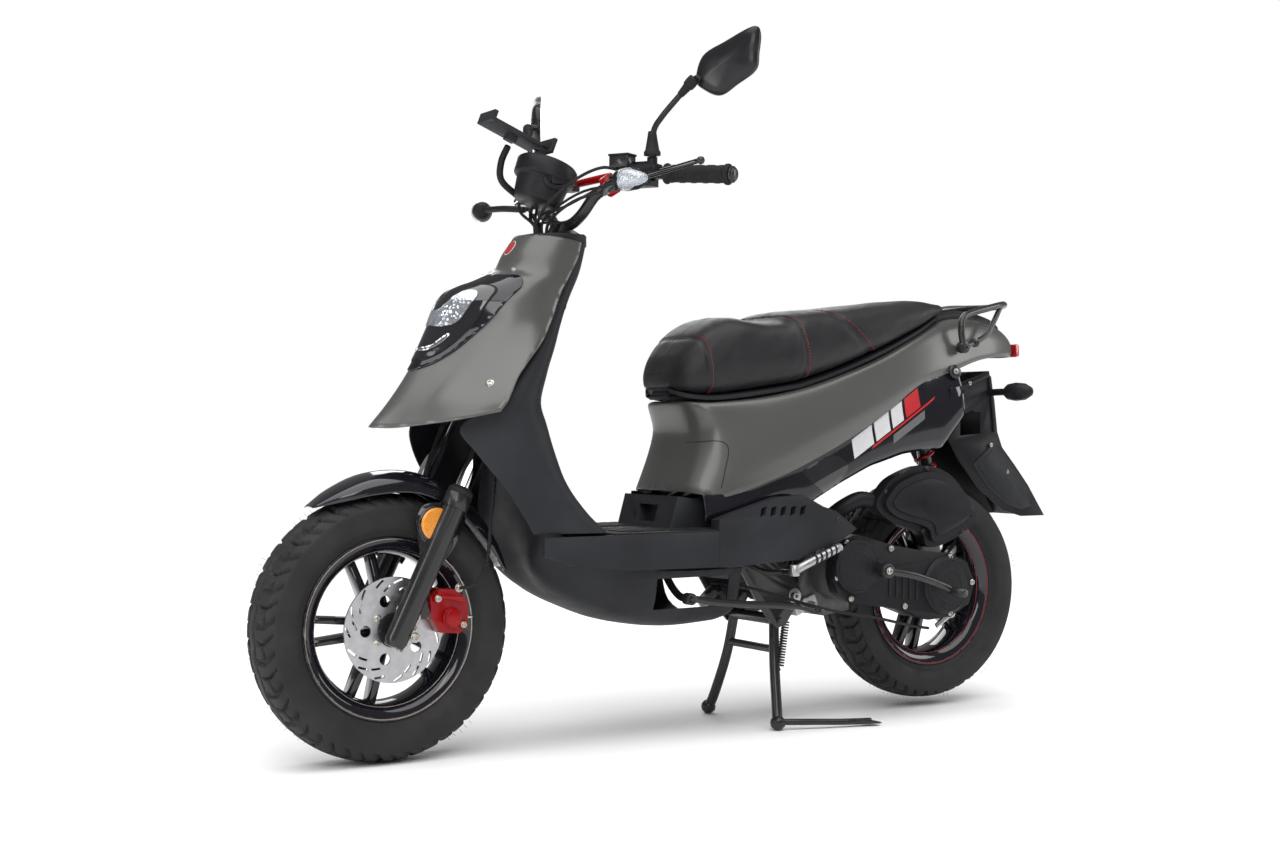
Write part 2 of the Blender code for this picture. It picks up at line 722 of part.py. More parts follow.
def control_cables():
    """Brake and throttle lines from both housings, tied together where they enter the neck."""
    left = [
        bar_frame(-0.0295, 0.040, 0.006),
        (0.292, 0.150, 1.086),
        (0.322, 0.105, 1.066),
        (0.352, 0.055, 1.024),
        (0.348, 0.012, 0.996),
        (0.343, 0.0, 0.981),
    ]
    right = [flip(p) for p in left]
    throttle = [
        bar_frame(-0.0300, 0.0225, 0.017, -1),
        (0.262, -0.125, 1.096),
        (0.305, -0.085, 1.050),
        (0.342, -0.030, 1.008),
        (0.343, -0.004, 0.987),
    ]
    shapes = [tube(route, 0.003, 5, 2) for route in (left, right, throttle)]
    shapes.append(rod((0.343, 0, 0.9745), (0.3445, 0, 0.996), 0.0075, 8))
    return node("control_cables", "rubber", shapes)


def steering():
    fork_lower()
    fork_crown()
    front_fender()
    brake_caliper()
    brake_hose()
    handlebar()
    handlebar_brace()
    instrument_pod()
    phone_holder()
    grip("left_grip", 1)
    grip("throttle_grip", -1)
    bar_button("horn_button", 1)
    bar_button("starter_button", -1)
    for side, hand in (("left", 1), ("right", -1)):
        switchgear(side + "_switchgear", hand)
        brake_lever("brake_lever_" + side, hand)
        mirror_stem(side + "_mirror_stem", hand)
        mirror_head(side + "_mirror", hand)
        front_signal("front_signal_" + side, hand)
    control_cables()


# Frame and body panels

COVER_ROWS = [
    [(0.383, 0, 0.970), (0.378, 0.030, 0.969), (0.362, 0.055, 0.967), (0.330, 0.074, 0.962), (0.288, 0.076, 0.955)],
    [(0.408, 0, 0.935), (0.402, 0.032, 0.935), (0.382, 0.060, 0.933), (0.345, 0.079, 0.930), (0.298, 0.080, 0.925)],
    [(0.428, 0, 0.903), (0.420, 0.034, 0.903), (0.400, 0.064, 0.900), (0.362, 0.084, 0.895), (0.320, 0.085, 0.888)],
    [(0.470, 0, 0.884), (0.455, 0.040, 0.883), (0.425, 0.080, 0.877), (0.390, 0.094, 0.868), (0.343, 0.093, 0.855)],
    [(0.535, 0, 0.850), (0.510, 0.050, 0.848), (0.455, 0.090, 0.840), (0.410, 0.105, 0.830), (0.368, 0.108, 0.810)],
    [(0.567, 0, 0.790), (0.535, 0.045, 0.790), (0.495, 0.080, 0.785), (0.445, 0.113, 0.780), (0.400, 0.128, 0.765)],
    [(0.592, 0, 0.740), (0.565, 0.040, 0.738), (0.525, 0.085, 0.733), (0.485, 0.125, 0.730), (0.441, 0.150, 0.727)],
    [(0.622, 0, 0.690), (0.595, 0.045, 0.690), (0.555, 0.092, 0.690), (0.515, 0.135, 0.690), (0.473, 0.166, 0.695)],
    [(0.655, 0, 0.645), (0.628, 0.045, 0.648), (0.588, 0.095, 0.650), (0.545, 0.145, 0.652), (0.498, 0.179, 0.655)],
    [(0.690, 0, 0.606), (0.664, 0.036, 0.604), (0.622, 0.085, 0.610), (0.572, 0.140, 0.620), (0.515, 0.178, 0.633)],
]
BEZEL_HALF = [
    (0, 0.708),
    (0.030, 0.716),
    (0.055, 0.740),
    (0.075, 0.775),
    (0.090, 0.815),
    (0.099, 0.850),
    (0.1015, 0.875),
    (0.070, 0.8885),
    (0, 0.8885),
]
LENS_HALF = [
    (0, 0.735),
    (0.020, 0.737),
    (0.043, 0.765),
    (0.060, 0.800),
    (0.072, 0.845),
    (0.058, 0.857),
    (0.034, 0.849),
    (0.022, 0.820),
    (0.010, 0.797),
    (0, 0.795),
]
SHIELD_ROWS = [
    [(0.288, 0.064, 0.955), (0.272, 0.060, 0.955), (0.255, 0.035, 0.955), (0.248, 0, 0.955)],
    [(0.312, 0.070, 0.900), (0.292, 0.068, 0.900), (0.272, 0.040, 0.900), (0.265, 0, 0.900)],
    [(0.338, 0.080, 0.850), (0.318, 0.078, 0.850), (0.298, 0.045, 0.850), (0.292, 0, 0.850)],
    [(0.362, 0.096, 0.800), (0.345, 0.093, 0.800), (0.325, 0.060, 0.800), (0.320, 0, 0.800)],
    [(0.398, 0.124, 0.750), (0.378, 0.120, 0.750), (0.352, 0.088, 0.750), (0.345, 0, 0.750)],
    [(0.440, 0.150, 0.700), (0.415, 0.148, 0.700), (0.382, 0.118, 0.700), (0.362, 0, 0.700)],
    [(0.478, 0.168, 0.650), (0.445, 0.168, 0.650), (0.400, 0.132, 0.650), (0.374, 0, 0.650)],
    [(0.560, 0.108, 0.606), (0.525, 0.140, 0.607), (0.480, 0.168, 0.610), (0.440, 0.172, 0.610), (0.395, 0.13, 0.610), (0.372, 0, 0.61)],
    [(0.542, 0.135, 0.560), (0.510, 0.155, 0.560), (0.470, 0.170, 0.560), (0.420, 0.172, 0.560), (0.378, 0.128, 0.56), (0.354, 0, 0.56)],
    [(0.500, 0.160, 0.500), (0.470, 0.168, 0.500), (0.430, 0.174, 0.500), (0.385, 0.174, 0.500), (0.350, 0.12, 0.50), (0.335, 0, 0.50)],
    [(0.465, 0.165, 0.450), (0.435, 0.170, 0.450), (0.400, 0.175, 0.450), (0.345, 0.175, 0.450), (0.312, 0.12, 0.45), (0.298, 0, 0.45)],
    [(0.440, 0.165, 0.4105), (0.400, 0.170, 0.4105), (0.360, 0.176, 0.4105), (0.300, 0.176, 0.4105), (0.272, 0.12, 0.4105), (0.265, 0, 0.4105)],
]
COWL_ROWS = [
    [(0.432, 0, 0.600), (0.420, 0.045, 0.600), (0.399, 0.096, 0.595)],
    [(0.430, 0, 0.540), (0.415, 0.060, 0.540), (0.398, 0.116, 0.540)],
    [(0.414, 0, 0.460), (0.405, 0.080, 0.460), (0.395, 0.148, 0.465)],
    [(0.396, 0, 0.390), (0.405, 0.085, 0.395), (0.392, 0.145, 0.425)],
    [(0.374, 0, 0.330), (0.398, 0.085, 0.345), (0.372, 0.150, 0.405)],
    [(0.338, 0, 0.285), (0.342, 0.100, 0.305), (0.325, 0.156, 0.378)],
    [(0.270, 0, 0.252), (0.270, 0.120, 0.275), (0.270, 0.160, 0.358)],
    [(0.200, 0, 0.228), (0.200, 0.128, 0.252), (0.200, 0.161, 0.338)],
    [(0.100, 0, 0.213), (0.100, 0.125, 0.238), (0.100, 0.160, 0.331)],
    [(0.000, 0, 0.215), (0.000, 0.120, 0.240), (0.000, 0.155, 0.331)],
    [(-0.030, 0, 0.220), (-0.030, 0.115, 0.245), (-0.030, 0.150, 0.331)],
]
BODY_ROWS = [
    [(0.080, 0, 0.480), (0.050, 0, 0.547), (0.040, 0, 0.600), (0.055, 0, 0.652), (0.030, 0, 0.654)],
    [(0.075, 0.060, 0.480), (0.046, 0.060, 0.547), (0.037, 0.060, 0.600), (0.052, 0.055, 0.652), (0.026, 0.050, 0.654)],
    [(0.055, 0.105, 0.476), (0.030, 0.100, 0.547), (0.020, 0.095, 0.600), (0.035, 0.088, 0.650), (0.012, 0.074, 0.652)],
    [(0.000, 0.135, 0.468), (-0.010, 0.130, 0.530), (-0.010, 0.118, 0.600), (0.000, 0.106, 0.650), (-0.015, 0.084, 0.652)],
    [(-0.100, 0.150, 0.498), (-0.100, 0.151, 0.550), (-0.100, 0.138, 0.620), (-0.100, 0.122, 0.660), (-0.100, 0.100, 0.663)],
    [(-0.200, 0.152, 0.537), (-0.200, 0.155, 0.590), (-0.200, 0.142, 0.650), (-0.200, 0.128, 0.680), (-0.200, 0.106, 0.683)],
    [(-0.300, 0.150, 0.582), (-0.300, 0.155, 0.630), (-0.300, 0.142, 0.685), (-0.300, 0.130, 0.710), (-0.300, 0.108, 0.713)],
    [(-0.400, 0.145, 0.633), (-0.400, 0.150, 0.670), (-0.400, 0.138, 0.720), (-0.400, 0.127, 0.745), (-0.400, 0.106, 0.748)],
    [(-0.500, 0.135, 0.685), (-0.500, 0.140, 0.715), (-0.500, 0.130, 0.760), (-0.500, 0.118, 0.788), (-0.500, 0.098, 0.792)],
    [(-0.600, 0.118, 0.702), (-0.600, 0.123, 0.740), (-0.600, 0.112, 0.795), (-0.600, 0.095, 0.828), (-0.600, 0.075, 0.832)],
    [(-0.700, 0.095, 0.735), (-0.700, 0.098, 0.762), (-0.700, 0.091, 0.803), (-0.700, 0.073, 0.836), (-0.700, 0.053, 0.841)],
    [(-0.790, 0.070, 0.753), (-0.790, 0.072, 0.772), (-0.790, 0.068, 0.800), (-0.790, 0.053, 0.823), (-0.790, 0.035, 0.827)],
    [(-0.846, 0.038, 0.760), (-0.851, 0.038, 0.772), (-0.849, 0.036, 0.790), (-0.842, 0.028, 0.806), (-0.832, 0.018, 0.810)],
    [(-0.850, 0, 0.760), (-0.855, 0, 0.772), (-0.853, 0, 0.790), (-0.846, 0, 0.806), (-0.836, 0, 0.810)],
]
TRIM_TOP = [(0.05, 0.455), (-0.05, 0.466), (-0.15, 0.505), (-0.25, 0.545), (-0.35, 0.594), (-0.45, 0.648), (-0.53, 0.680), (-0.615, 0.694)]
TRIM_LOW = [(-0.62, 0.640), (-0.56, 0.575), (-0.45, 0.560), (-0.36, 0.535), (-0.28, 0.500), (-0.20, 0.460), (-0.13, 0.470), (-0.05, 0.450), (0.05, 0.430)]
WING = [
    (0.043, 0.427),
    (0.0, 0.440),
    (-0.100, 0.467),
    (-0.160, 0.470),
    (-0.207, 0.447),
    (-0.240, 0.437),
    (-0.293, 0.400),
    (-0.250, 0.375),
    (-0.167, 0.353),
    (-0.147, 0.343),
    (0.0, 0.336),
    (0.043, 0.336),
]
SEAT_RINGS = [
    (0.072, 0.050, 0.684, 0.712),
    (0.050, 0.082, 0.675, 0.752),
    (0.005, 0.105, 0.670, 0.800),
    (-0.050, 0.120, 0.674, 0.826),
    (-0.120, 0.133, 0.684, 0.820),
    (-0.170, 0.139, 0.692, 0.823),
    (-0.205, 0.142, 0.699, 0.842),
    (-0.300, 0.144, 0.728, 0.852),
    (-0.420, 0.138, 0.772, 0.866),
    (-0.520, 0.124, 0.815, 0.876),
    (-0.590, 0.100, 0.848, 0.870),
]
SEAT_SECTION = [(0, 0), (0.62, 0.0), (0.90, 0.10), (1.0, 0.34), (0.97, 0.62), (0.84, 0.86), (0.55, 0.97), (0, 1.0)]


def closed_outline(half):
    """A left half outline (y, z) from the middle line, completed to both sides."""
    return list(half) + [(-y, z) for y, z in reversed(half) if y > 0]


def inset(outline, amount):
    """The same convex-ish outline moved inwards from its own middle by a few tenths of a millimetre."""
    n = len(outline)
    out = []
    area = sum(outline[i][0] * outline[(i + 1) % n][1] - outline[(i + 1) % n][0] * outline[i][1] for i in range(n))
    turn = 1 if area > 0 else -1
    for i in range(n):
        before, here, after = (Vector(outline[(i + d) % n]) for d in (-1, 0, 1))
        a, b = (here - before).normalized(), (after - here).normalized()
        normal = Vector((-(a.y + b.y), a.x + b.x)) * turn
        if normal.length < 1e-6:
            normal = Vector((-a.y, a.x)) * turn
        normal.normalize()
        scale = max(0.5, normal.dot(Vector((-a.y, a.x)) * turn))
        out.append(tuple(here + normal * (amount / scale)))
    return out


def cover_sheet(thickness):
    return sheet([both_sides(row) for row in COVER_ROWS], thickness, inside=(0.42, 0, 0.76))


def front_panels():
    """The nose cover with the headlight bezel and lens let into it."""
    bezel = closed_outline(BEZEL_HALF)
    lens = closed_outline(LENS_HALF)
    node("front_cover", "grey_panel", [cover_sheet(PANEL)], [prism(bezel, 0.40, 0.75, "x")])
    piece = combine(cover_sheet(0.006), [prism(inset(bezel, 0.0006), 0.40, 0.75, "x")], "INTERSECT")
    node("headlight_bezel", "gloss_black", [piece], [prism(lens, 0.40, 0.75, "x")])
    piece = combine(cover_sheet(0.005), [prism(inset(lens, 0.0006), 0.40, 0.75, "x")], "INTERSECT")
    node("headlight_lens", "lens", [piece])


def leg_shield():
    """The rider's side of the front: shield, and the collar round the steering neck."""
    rows = [both_sides(reversed(spread(row, 5))) for row in SHIELD_ROWS]
    shapes = [sheet(rows, PANEL, inside=(0.50, 0, 0.66))]
    ring = [
        (0.2475, 0),
        (0.2545, 0.0345),
        (0.274, 0.0595),
        (0.310, 0.064),
        (0.345, 0.055),
        (0.366, 0.028),
        (0.370, 0),
    ]
    outline = list(ring) + [(x, -y) for x, y in reversed(ring) if y > 0]
    collar = prism(outline, 0.950, 0.972, "z")
    hole = prism(inset(outline, 0.0035), 0.940, 0.99, "z")
    shapes.append(combine(collar, [hole], "DIFFERENCE"))
    return node("leg_shield", "charcoal", shapes)


def under_cowl():
    rows = [both_sides(row) for row in COWL_ROWS]
    window = box((0.0, 0.112, 0.258), (0.17, 0.20, 0.318))
    shapes = [sheet(rows, PANEL, inside=(0.30, 0, 0.55))]
    return node("under_cowl", "charcoal", shapes, [window])


def floorboard():
    """The foot plate, its side skirts, the column's base block and the vented rear wings."""
    shapes = [prism([(0.262, -0.172), (0.262, 0.172), (-0.03, 0.172), (-0.03, -0.172)], 0.4015, 0.408, "z")]
    skirt = [(0.425, 0.405), (0.425, 0.372), (0.36, 0.350), (0.24, 0.338), (0.02, 0.336), (0.02, 0.405)]
    base = [(0.105, 0.404), (0.086, 0.4705), (0.0, 0.458), (-0.05, 0.455), (-0.05, 0.404)]
    shapes.append(prism(base, -0.098, 0.098))
    cuts = [box((0.076, -0.035, 0.418), (0.12, 0.035, 0.452))]
    for hand in (1, -1):
        shapes.append(handed(prism(skirt, 0.168, 0.178), hand))
        shapes.append(handed(prism(WING, 0.150, 0.1785), hand))
        for k in range(3):
            x = -0.085 - 0.028 * k
            slot = [(x, 0.432), (x - 0.004, 0.447), (x - 0.019, 0.452), (x - 0.015, 0.437)]
            cuts.append(handed(prism(slot, 0.170, 0.185), hand))
    return node("floorboard", "charcoal", shapes, cuts)


def body_cover():
    left = BODY_ROWS[1:-1]
    rows = [BODY_ROWS[0], *left, BODY_ROWS[-1]]
    loop = [[Vector(p) for p in row] for row in rows]
    loop += [[flip(p) for p in row] for row in reversed(left)]
    band = sheet(loop, PANEL, closed=True, inside=(-0.38, 0, 0.60))
    deck = []
    for i in range(9, 14):
        edge = Vector(BODY_ROWS[i][4])
        deck.append([Vector((edge.x, y, edge.z - 0.0012 + 0.002 * (1 - abs(k - 2) / 2))) for k, y in enumerate(
            (-edge.y - 0.004, -edge.y / 2, 0, edge.y / 2, edge.y + 0.004)
        )])
    deck = [row for row in deck if row[-1].y > 0.010]
    deck.append([p + X * -0.012 for p in deck[-1]])
    top = sheet(deck, 0.0026, inside=(-0.7, 0, 0.6))
    return node("body_cover", "grey_panel", [band, top])


def side_trim():
    """The gloss panels under the body cover, joined behind by a strap."""
    outline = TRIM_TOP + TRIM_LOW
    wall = prism(outline, 0.1375, 0.1410)
    narrow = prism([(-0.62, 0.644), (-0.615, 0.694), (-0.58, 0.687), (-0.58, 0.610)], -0.1385, 0.1385)
    hollow = prism([(-0.63, 0.60), (-0.63, 0.670), (-0.57, 0.670), (-0.57, 0.60)], -0.13, 0.13)
    above = prism([(-0.63, 0.674), (-0.63, 0.72), (-0.57, 0.72), (-0.57, 0.674)], -0.13, 0.13)
    strap = combine(narrow, [hollow, above], "DIFFERENCE")
    other = mirrored(wall)
    return node("side_trim", "gloss_black", [wall, other, strap])


def seat_ring(x, half, low, high, lift=0.0):
    points = []
    for y, z in SEAT_SECTION:
        points.append(Vector((x, half * y, low + lift + (high - low - lift) * z)))
    return points + [flip(p) for p in reversed(points[1:-1])]


def seat():
    """The cushion, and the base plate that carries its hinge."""
    node("seat_cushion", "leather", [loft([seat_ring(*ring) for ring in SEAT_RINGS])], pivot=SEAT_HINGE)
    rows = []
    for x, half, low, _ in SEAT_RINGS:
        wide = half * 0.74
        rows.append([Vector((x, y * wide, low - 0.0015)) for y in (-1, -0.5, 0, 0.5, 1)])
    base = sheet(rows, 0.004, inside=(-0.2, 0, 0.3))
    knuckle = rod(SEAT_HINGE - Y * 0.032, SEAT_HINGE + Y * 0.032, 0.005, 10)
    lug = block(SEAT_HINGE + Vector((-0.004, 0, 0.006)), (0.010, 0.05, 0.013))
    node("seat_base", "charcoal", [base, knuckle, lug], pivot=SEAT_HINGE)


def seat_lock():
    out = Vector((0.10, 0.97, 0.2)).normalized()
    at = LOCK_AT
    profile = [(0, 0), (0, 0.015), (0.004, 0.015), (0.006, 0.012), (0.006, 0)]
    return node("seat_lock", "steel", [lathe(profile, at, out, 16)], pivot=at)


def tail_light():
    rings = []
    for x, half, low, high in ((-0.8565, 0.046, 0.761, 0.791), (-0.868, 0.044, 0.763, 0.790), (-0.876, 0.034, 0.768, 0.786)):
        rings.append([Vector((x, -half, low)), Vector((x, half, low)), Vector((x, half, high)), Vector((x, -half, high))])
    return node("tail_light", "red_lens", [loft(rings)])


def rear_rack():
    """The grab rail round the tail with its two lower struts."""
    half = [
        (-0.622, 0.1315, 0.775),
        (-0.617, 0.1300, 0.810),
        (-0.628, 0.1240, 0.838),
        (-0.655, 0.1180, 0.850),
        (-0.720, 0.1060, 0.864),
        (-0.775, 0.0880, 0.874),
        (-0.805, 0.0550, 0.874),
        (-0.812, 0.0, 0.873),
    ]
    path = [Vector(p) for p in half] + [flip(p) for p in reversed(half[:-1])]
    shapes = [tube(path, 0.0075, 6)]
    for hand in (1, -1):
        strut = [(-0.768, 0.091, 0.872), (-0.735, 0.1035, 0.835), (-0.705, 0.1150, 0.806), (-0.660, 0.1235, 0.786), (-0.620, 0.1315, 0.776)]
        shapes.append(handed(tube(strut, 0.006, 6), hand))
    shapes.append(rod((-0.745, -0.099, 0.8675), (-0.745, 0.099, 0.8675), 0.0055, 8))
    return node("rear_rack", "black_paint", shapes)


def rear_mudguard():
    """The undertray and mudguard behind the wheel, with the two rear signals on it."""
    outline = [
        (-0.602, 0.606),
        (-0.600, 0.655),
        (-0.660, 0.700),
        (-0.748, 0.728),
        (-0.764, 0.665),
        (-0.773, 0.593),
        (-0.787, 0.560),
        (-0.825, 0.520),
        (-0.865, 0.475),
        (-0.9147, 0.406),
        (-0.845, 0.406),
        (-0.791, 0.420),
        (-0.736, 0.456),
        (-0.714, 0.470),
        (-0.661, 0.531),
        (-0.636, 0.570),
    ]
    inner = [
        (-0.50, 0.596),
        (-0.594, 0.650),
        (-0.657, 0.694),
        (-0.742, 0.720),
        (-0.757, 0.664),
        (-0.766, 0.590),
        (-0.781, 0.555),
        (-0.819, 0.514),
        (-0.858, 0.469),
        (-0.908, 0.393),
        (-0.80, 0.30),
        (-0.50, 0.40),
    ]
    shapes = [prism(outline, -0.0745, 0.0745)]
    window = [(-0.664, 0.586), (-0.664, 0.634), (-0.723, 0.638), (-0.723, 0.590)]
    cuts = [prism(inner, -0.0715, 0.0715), prism(window, -0.09, 0.09)]
    shell = combine(shapes[0], cuts, "DIFFERENCE")
    parts = [shell]
    for hand in (1, -1):
        stalk = tube([(-0.748, 0.0725, 0.680), (-0.750, 0.105, 0.681), (-0.752, 0.135, 0.681)], 0.0075, 8)
        head = signal_head((-0.754, 0.163, 0.681), Vector((-0.12, 0.99, 0)).normalized(), 0.074, 0.040)
        parts += [handed(stalk, hand), handed(head, hand)]
    return node("rear_mudguard", "charcoal", parts)


def storage_box():
    outline = [(0.018, 0.638), (0.012, 0.53), (-0.05, 0.508), (-0.22, 0.508), (-0.335, 0.600), (-0.355, 0.722)]
    outline += [(-0.30, 0.704), (-0.20, 0.674), (-0.10, 0.656), (-0.04, 0.642)]
    inner = [(0.014, 0.70), (0.008, 0.533), (-0.05, 0.512), (-0.218, 0.512), (-0.331, 0.602), (-0.353, 0.80)]
    return node("storage_box", "charcoal", [prism(outline, -0.072, 0.072)], [prism(inner, -0.068, 0.068)])


def frame():
    """Head tube, down tube, floor rails rising to the tail, cross members, hanger plates and lugs."""
    rail = [
        (0.288, 0.012, 0.362),
        (0.245, 0.040, 0.340),
        (0.18, 0.074, 0.326),
        (-0.02, 0.085, 0.325),
        (-0.10, 0.098, 0.360),
        (-0.155, 0.098, 0.450),
        (-0.24, 0.094, 0.545),
        (-0.36, 0.092, 0.618),
        (-0.46, 0.080, 0.667),
        (-0.62, 0.060, 0.738),
        (-0.70, 0.050, 0.765),
    ]
    shapes = [rod(stem_at(0.485), stem_at(0.76), 0.027, 16)]
    shapes.append(tube([(0.416, 0, 0.705), (0.400, 0, 0.640), (0.375, 0, 0.520), (0.327, 0, 0.405), (0.290, 0, 0.362), (0.235, 0, 0.335)], 0.0165, 8))
    for hand in (1, -1):
        shapes.append(handed(tube(rail, 0.0115, 6), hand))
        hanger = [(-0.06, 0.335), (-0.115, 0.372), (-0.150, 0.372), (-0.222, 0.270), (-0.212, 0.247), (-0.182, 0.205), (-0.158, 0.198), (-0.12, 0.240)]
        shapes.append(handed(prism(hanger, 0.0835, 0.0885), hand))
        arm = [(-0.065, 0.090, 0.342), (-0.100, 0.125, 0.3185), (-0.125, 0.150, 0.3175), (-0.131, 0.1742, 0.3185)]
        shapes.append(handed(tube(arm, 0.0062, 6), hand))
    for x, z, half in ((0.18, 0.326, 0.076), (-0.02, 0.325, 0.087), (-0.155, 0.450, 0.098), (-0.42, 0.648, 0.085), (-0.56, 0.711, 0.067), (-0.695, 0.764, 0.051)):
        shapes.append(rod((x, -half, z), (x, half, z), 0.010, 6))
    shapes.append(rod(ENGINE_PIVOT - Y * 0.092, ENGINE_PIVOT + Y * 0.092, 0.007, 10))
    shapes.append(rod(STAND_PIVOT - Y * 0.092, STAND_PIVOT + Y * 0.092, 0.006, 10))
    ear = [(-0.50, 0.675), (-0.506, 0.650), (-0.535, 0.650), (-0.548, 0.705)]
    shapes.append(prism(ear, 0.0745, 0.0795))
    shapes.append(rod(SHOCK_TOP - Y * 0.018, SHOCK_TOP + Y * 0.013, 0.005, 10))
    lug = [(0.108, 0.084, 0.322), (0.104, 0.105, 0.296), (0.10, 0.125, 0.280), (0.10, 0.1485, 0.277)]
    shapes.append(tube(lug, 0.0075, 8))
    shapes.append(rod(SIDE_STAND_PIVOT - Y * 0.014, SIDE_STAND_PIVOT + Y * 0.011, 0.0045, 10))
    bore = rod(stem_at(0.47), stem_at(0.80), 0.019, 16)
    return node("frame", "black_paint", shapes, [bore])


def rear_brake_cable():
    route = [
        (0.02, 0.105, 0.300),
        (-0.03, 0.118, 0.295),
        (-0.08, 0.135, 0.283),
        (-0.16, 0.158, 0.258),
        (-0.24, 0.178, 0.236),
        (-0.33, 0.180, 0.220),
        (-0.40, 0.165, 0.205),
        (-0.47, 0.140, 0.190),
        (-0.535, 0.118, 0.179),
    ]
    return node("rear_brake_cable", "rubber", [tube(route, 0.003, 6, 2)])


def chassis():
    frame()
    front_panels()
    leg_shield()
    under_cowl()
    floorboard()
    body_cover()
    side_trim()
    seat()
    seat_lock()
    tail_light()
    rear_rack()
    rear_mudguard()
    storage_box()
    rear_brake_cable()


# Engine unit, suspension, stands


CASE = [
    (-0.250, 0.300),
    (-0.252, 0.345),
    (-0.278, 0.377),
    (-0.315, 0.386),
    (-0.400, 0.362),
    (-0.473, 0.349),
    (-0.560, 0.339),
    (-0.608, 0.318),
    (-0.628, 0.276),
    (-0.612, 0.230),
    (-0.560, 0.206),
    (-0.500, 0.202),
    (-0.433, 0.227),
    (-0.360, 0.238),
    (-0.290, 0.250),
    (-0.260, 0.270),
]


def engine_case():
    """Crankcase with its cylinder and hanger lug, and the arm beside the wheel that holds the axle."""
    crank = [(-0.222, 0.246), (-0.222, 0.300), (-0.250, 0.365), (-0.330, 0.392), (-0.352, 0.360), (-0.352, 0.225), (-0.285, 0.216)]
    shapes = [prism(crank, -0.080, 0.078)]
    shapes.append(prism(inset(CASE, 0.002), 0.0765, 0.130))
    shapes.append(lathe([(0, 0), (0, 0.050), (0.10, 0.050), (0.10, 0.044), (0.175, 0.044), (0.175, 0)], (-0.235, -0.01, 0.322), (0.993, 0, 0.118), 14))
    shapes.append(rod(ENGINE_PIVOT - Y * 0.050, ENGINE_PIVOT + Y * 0.050, 0.019, 14))
    shapes.append(block(ENGINE_PIVOT + Vector((-0.020, 0, 0.012)), (0.03, 0.09, 0.022)))
    shapes.append(rod(REAR_AXLE + Y * 0.080, REAR_AXLE - Y * 0.062, 0.010, 12))
    shapes.append(rod(REAR_AXLE - Y * 0.048, REAR_AXLE - Y * 0.064, 0.017, 6))
    foot = [(-0.605, 0.325), (-0.596, 0.372), (-0.588, 0.389), (-0.562, 0.389), (-0.552, 0.372), (-0.548, 0.330)]
    shapes.append(prism(foot, 0.0765, 0.0800))
    shapes.append(rod(SHOCK_FOOT - Y * 0.018, SHOCK_FOOT + Y * 0.013, 0.005, 10))
    shapes.append(box((-0.628, 0.078, 0.196), (-0.598, 0.0965, 0.245)))
    shapes.append(rod(BRAKE_ARM_PIVOT - Y * 0.01, BRAKE_ARM_PIVOT + Y * 0.006, 0.004, 10))
    shapes.append(rod(KICK_PIVOT - Y * 0.060, KICK_PIVOT - Y * 0.0, 0.0065, 10))
    bore = rod(ENGINE_PIVOT - Y * 0.06, ENGINE_PIVOT + Y * 0.06, 0.0082, 10)
    return node("engine_case", "engine_alloy", shapes, [bore], pivot=ENGINE_PIVOT)


def transmission_cover():
    """The outer cover with its two round bosses."""
    shapes = [prism(CASE, 0.1306, 0.158)]
    shapes.append(lathe([(0, 0), (0, 0.055), (0.016, 0.055), (0.022, 0.047), (0.022, 0)], (-0.305, 0.150, 0.322), Y, 20))
    shapes.append(lathe([(0, 0), (0, 0.062), (0.010, 0.062), (0.018, 0.052), (0.018, 0)], (-0.549, 0.150, 0.273), Y, 20))
    bore = rod(KICK_PIVOT - Y * 0.06, KICK_PIVOT + Y * 0.01, 0.0078, 10)
    return node("transmission_cover", "charcoal", shapes, [bore], pivot=ENGINE_PIVOT)


def airbox():
    outline = [
        (-0.367, 0.440),
        (-0.385, 0.475),
        (-0.420, 0.503),
        (-0.500, 0.524),
        (-0.575, 0.498),
        (-0.630, 0.433),
        (-0.640, 0.407),
        (-0.600, 0.380),
        (-0.540, 0.356),
        (-0.500, 0.356),
        (-0.485, 0.385),
        (-0.410, 0.407),
    ]
    body = prism(outline, 0.122, 0.152)
    raised = prism(inset(outline, 0.012), 0.150, 0.164)
    return node("airbox", "charcoal", [body, raised], pivot=ENGINE_PIVOT)


def exhaust():
    """Header from the cylinder, back along the right side into the silencer."""
    header = [
        (-0.095, -0.030, 0.276),
        (-0.092, -0.060, 0.256),
        (-0.110, -0.098, 0.236),
        (-0.180, -0.116, 0.218),
        (-0.290, -0.122, 0.226),
        (-0.390, -0.132, 0.262),
        (-0.430, -0.138, 0.280),
    ]
    shapes = [tube(header, 0.0125, 8, 2)]
    way = Vector((-0.30, -0.02, 0.085))
    silencer = [(0, 0), (0, 0.020), (0.035, 0.042), (0.250, 0.046), (0.285, 0.038), (0.285, 0)]
    shapes.append(lathe(silencer, (-0.400, -0.135, 0.268), way, 16))
    return node("exhaust", "black_paint", shapes, pivot=ENGINE_PIVOT)


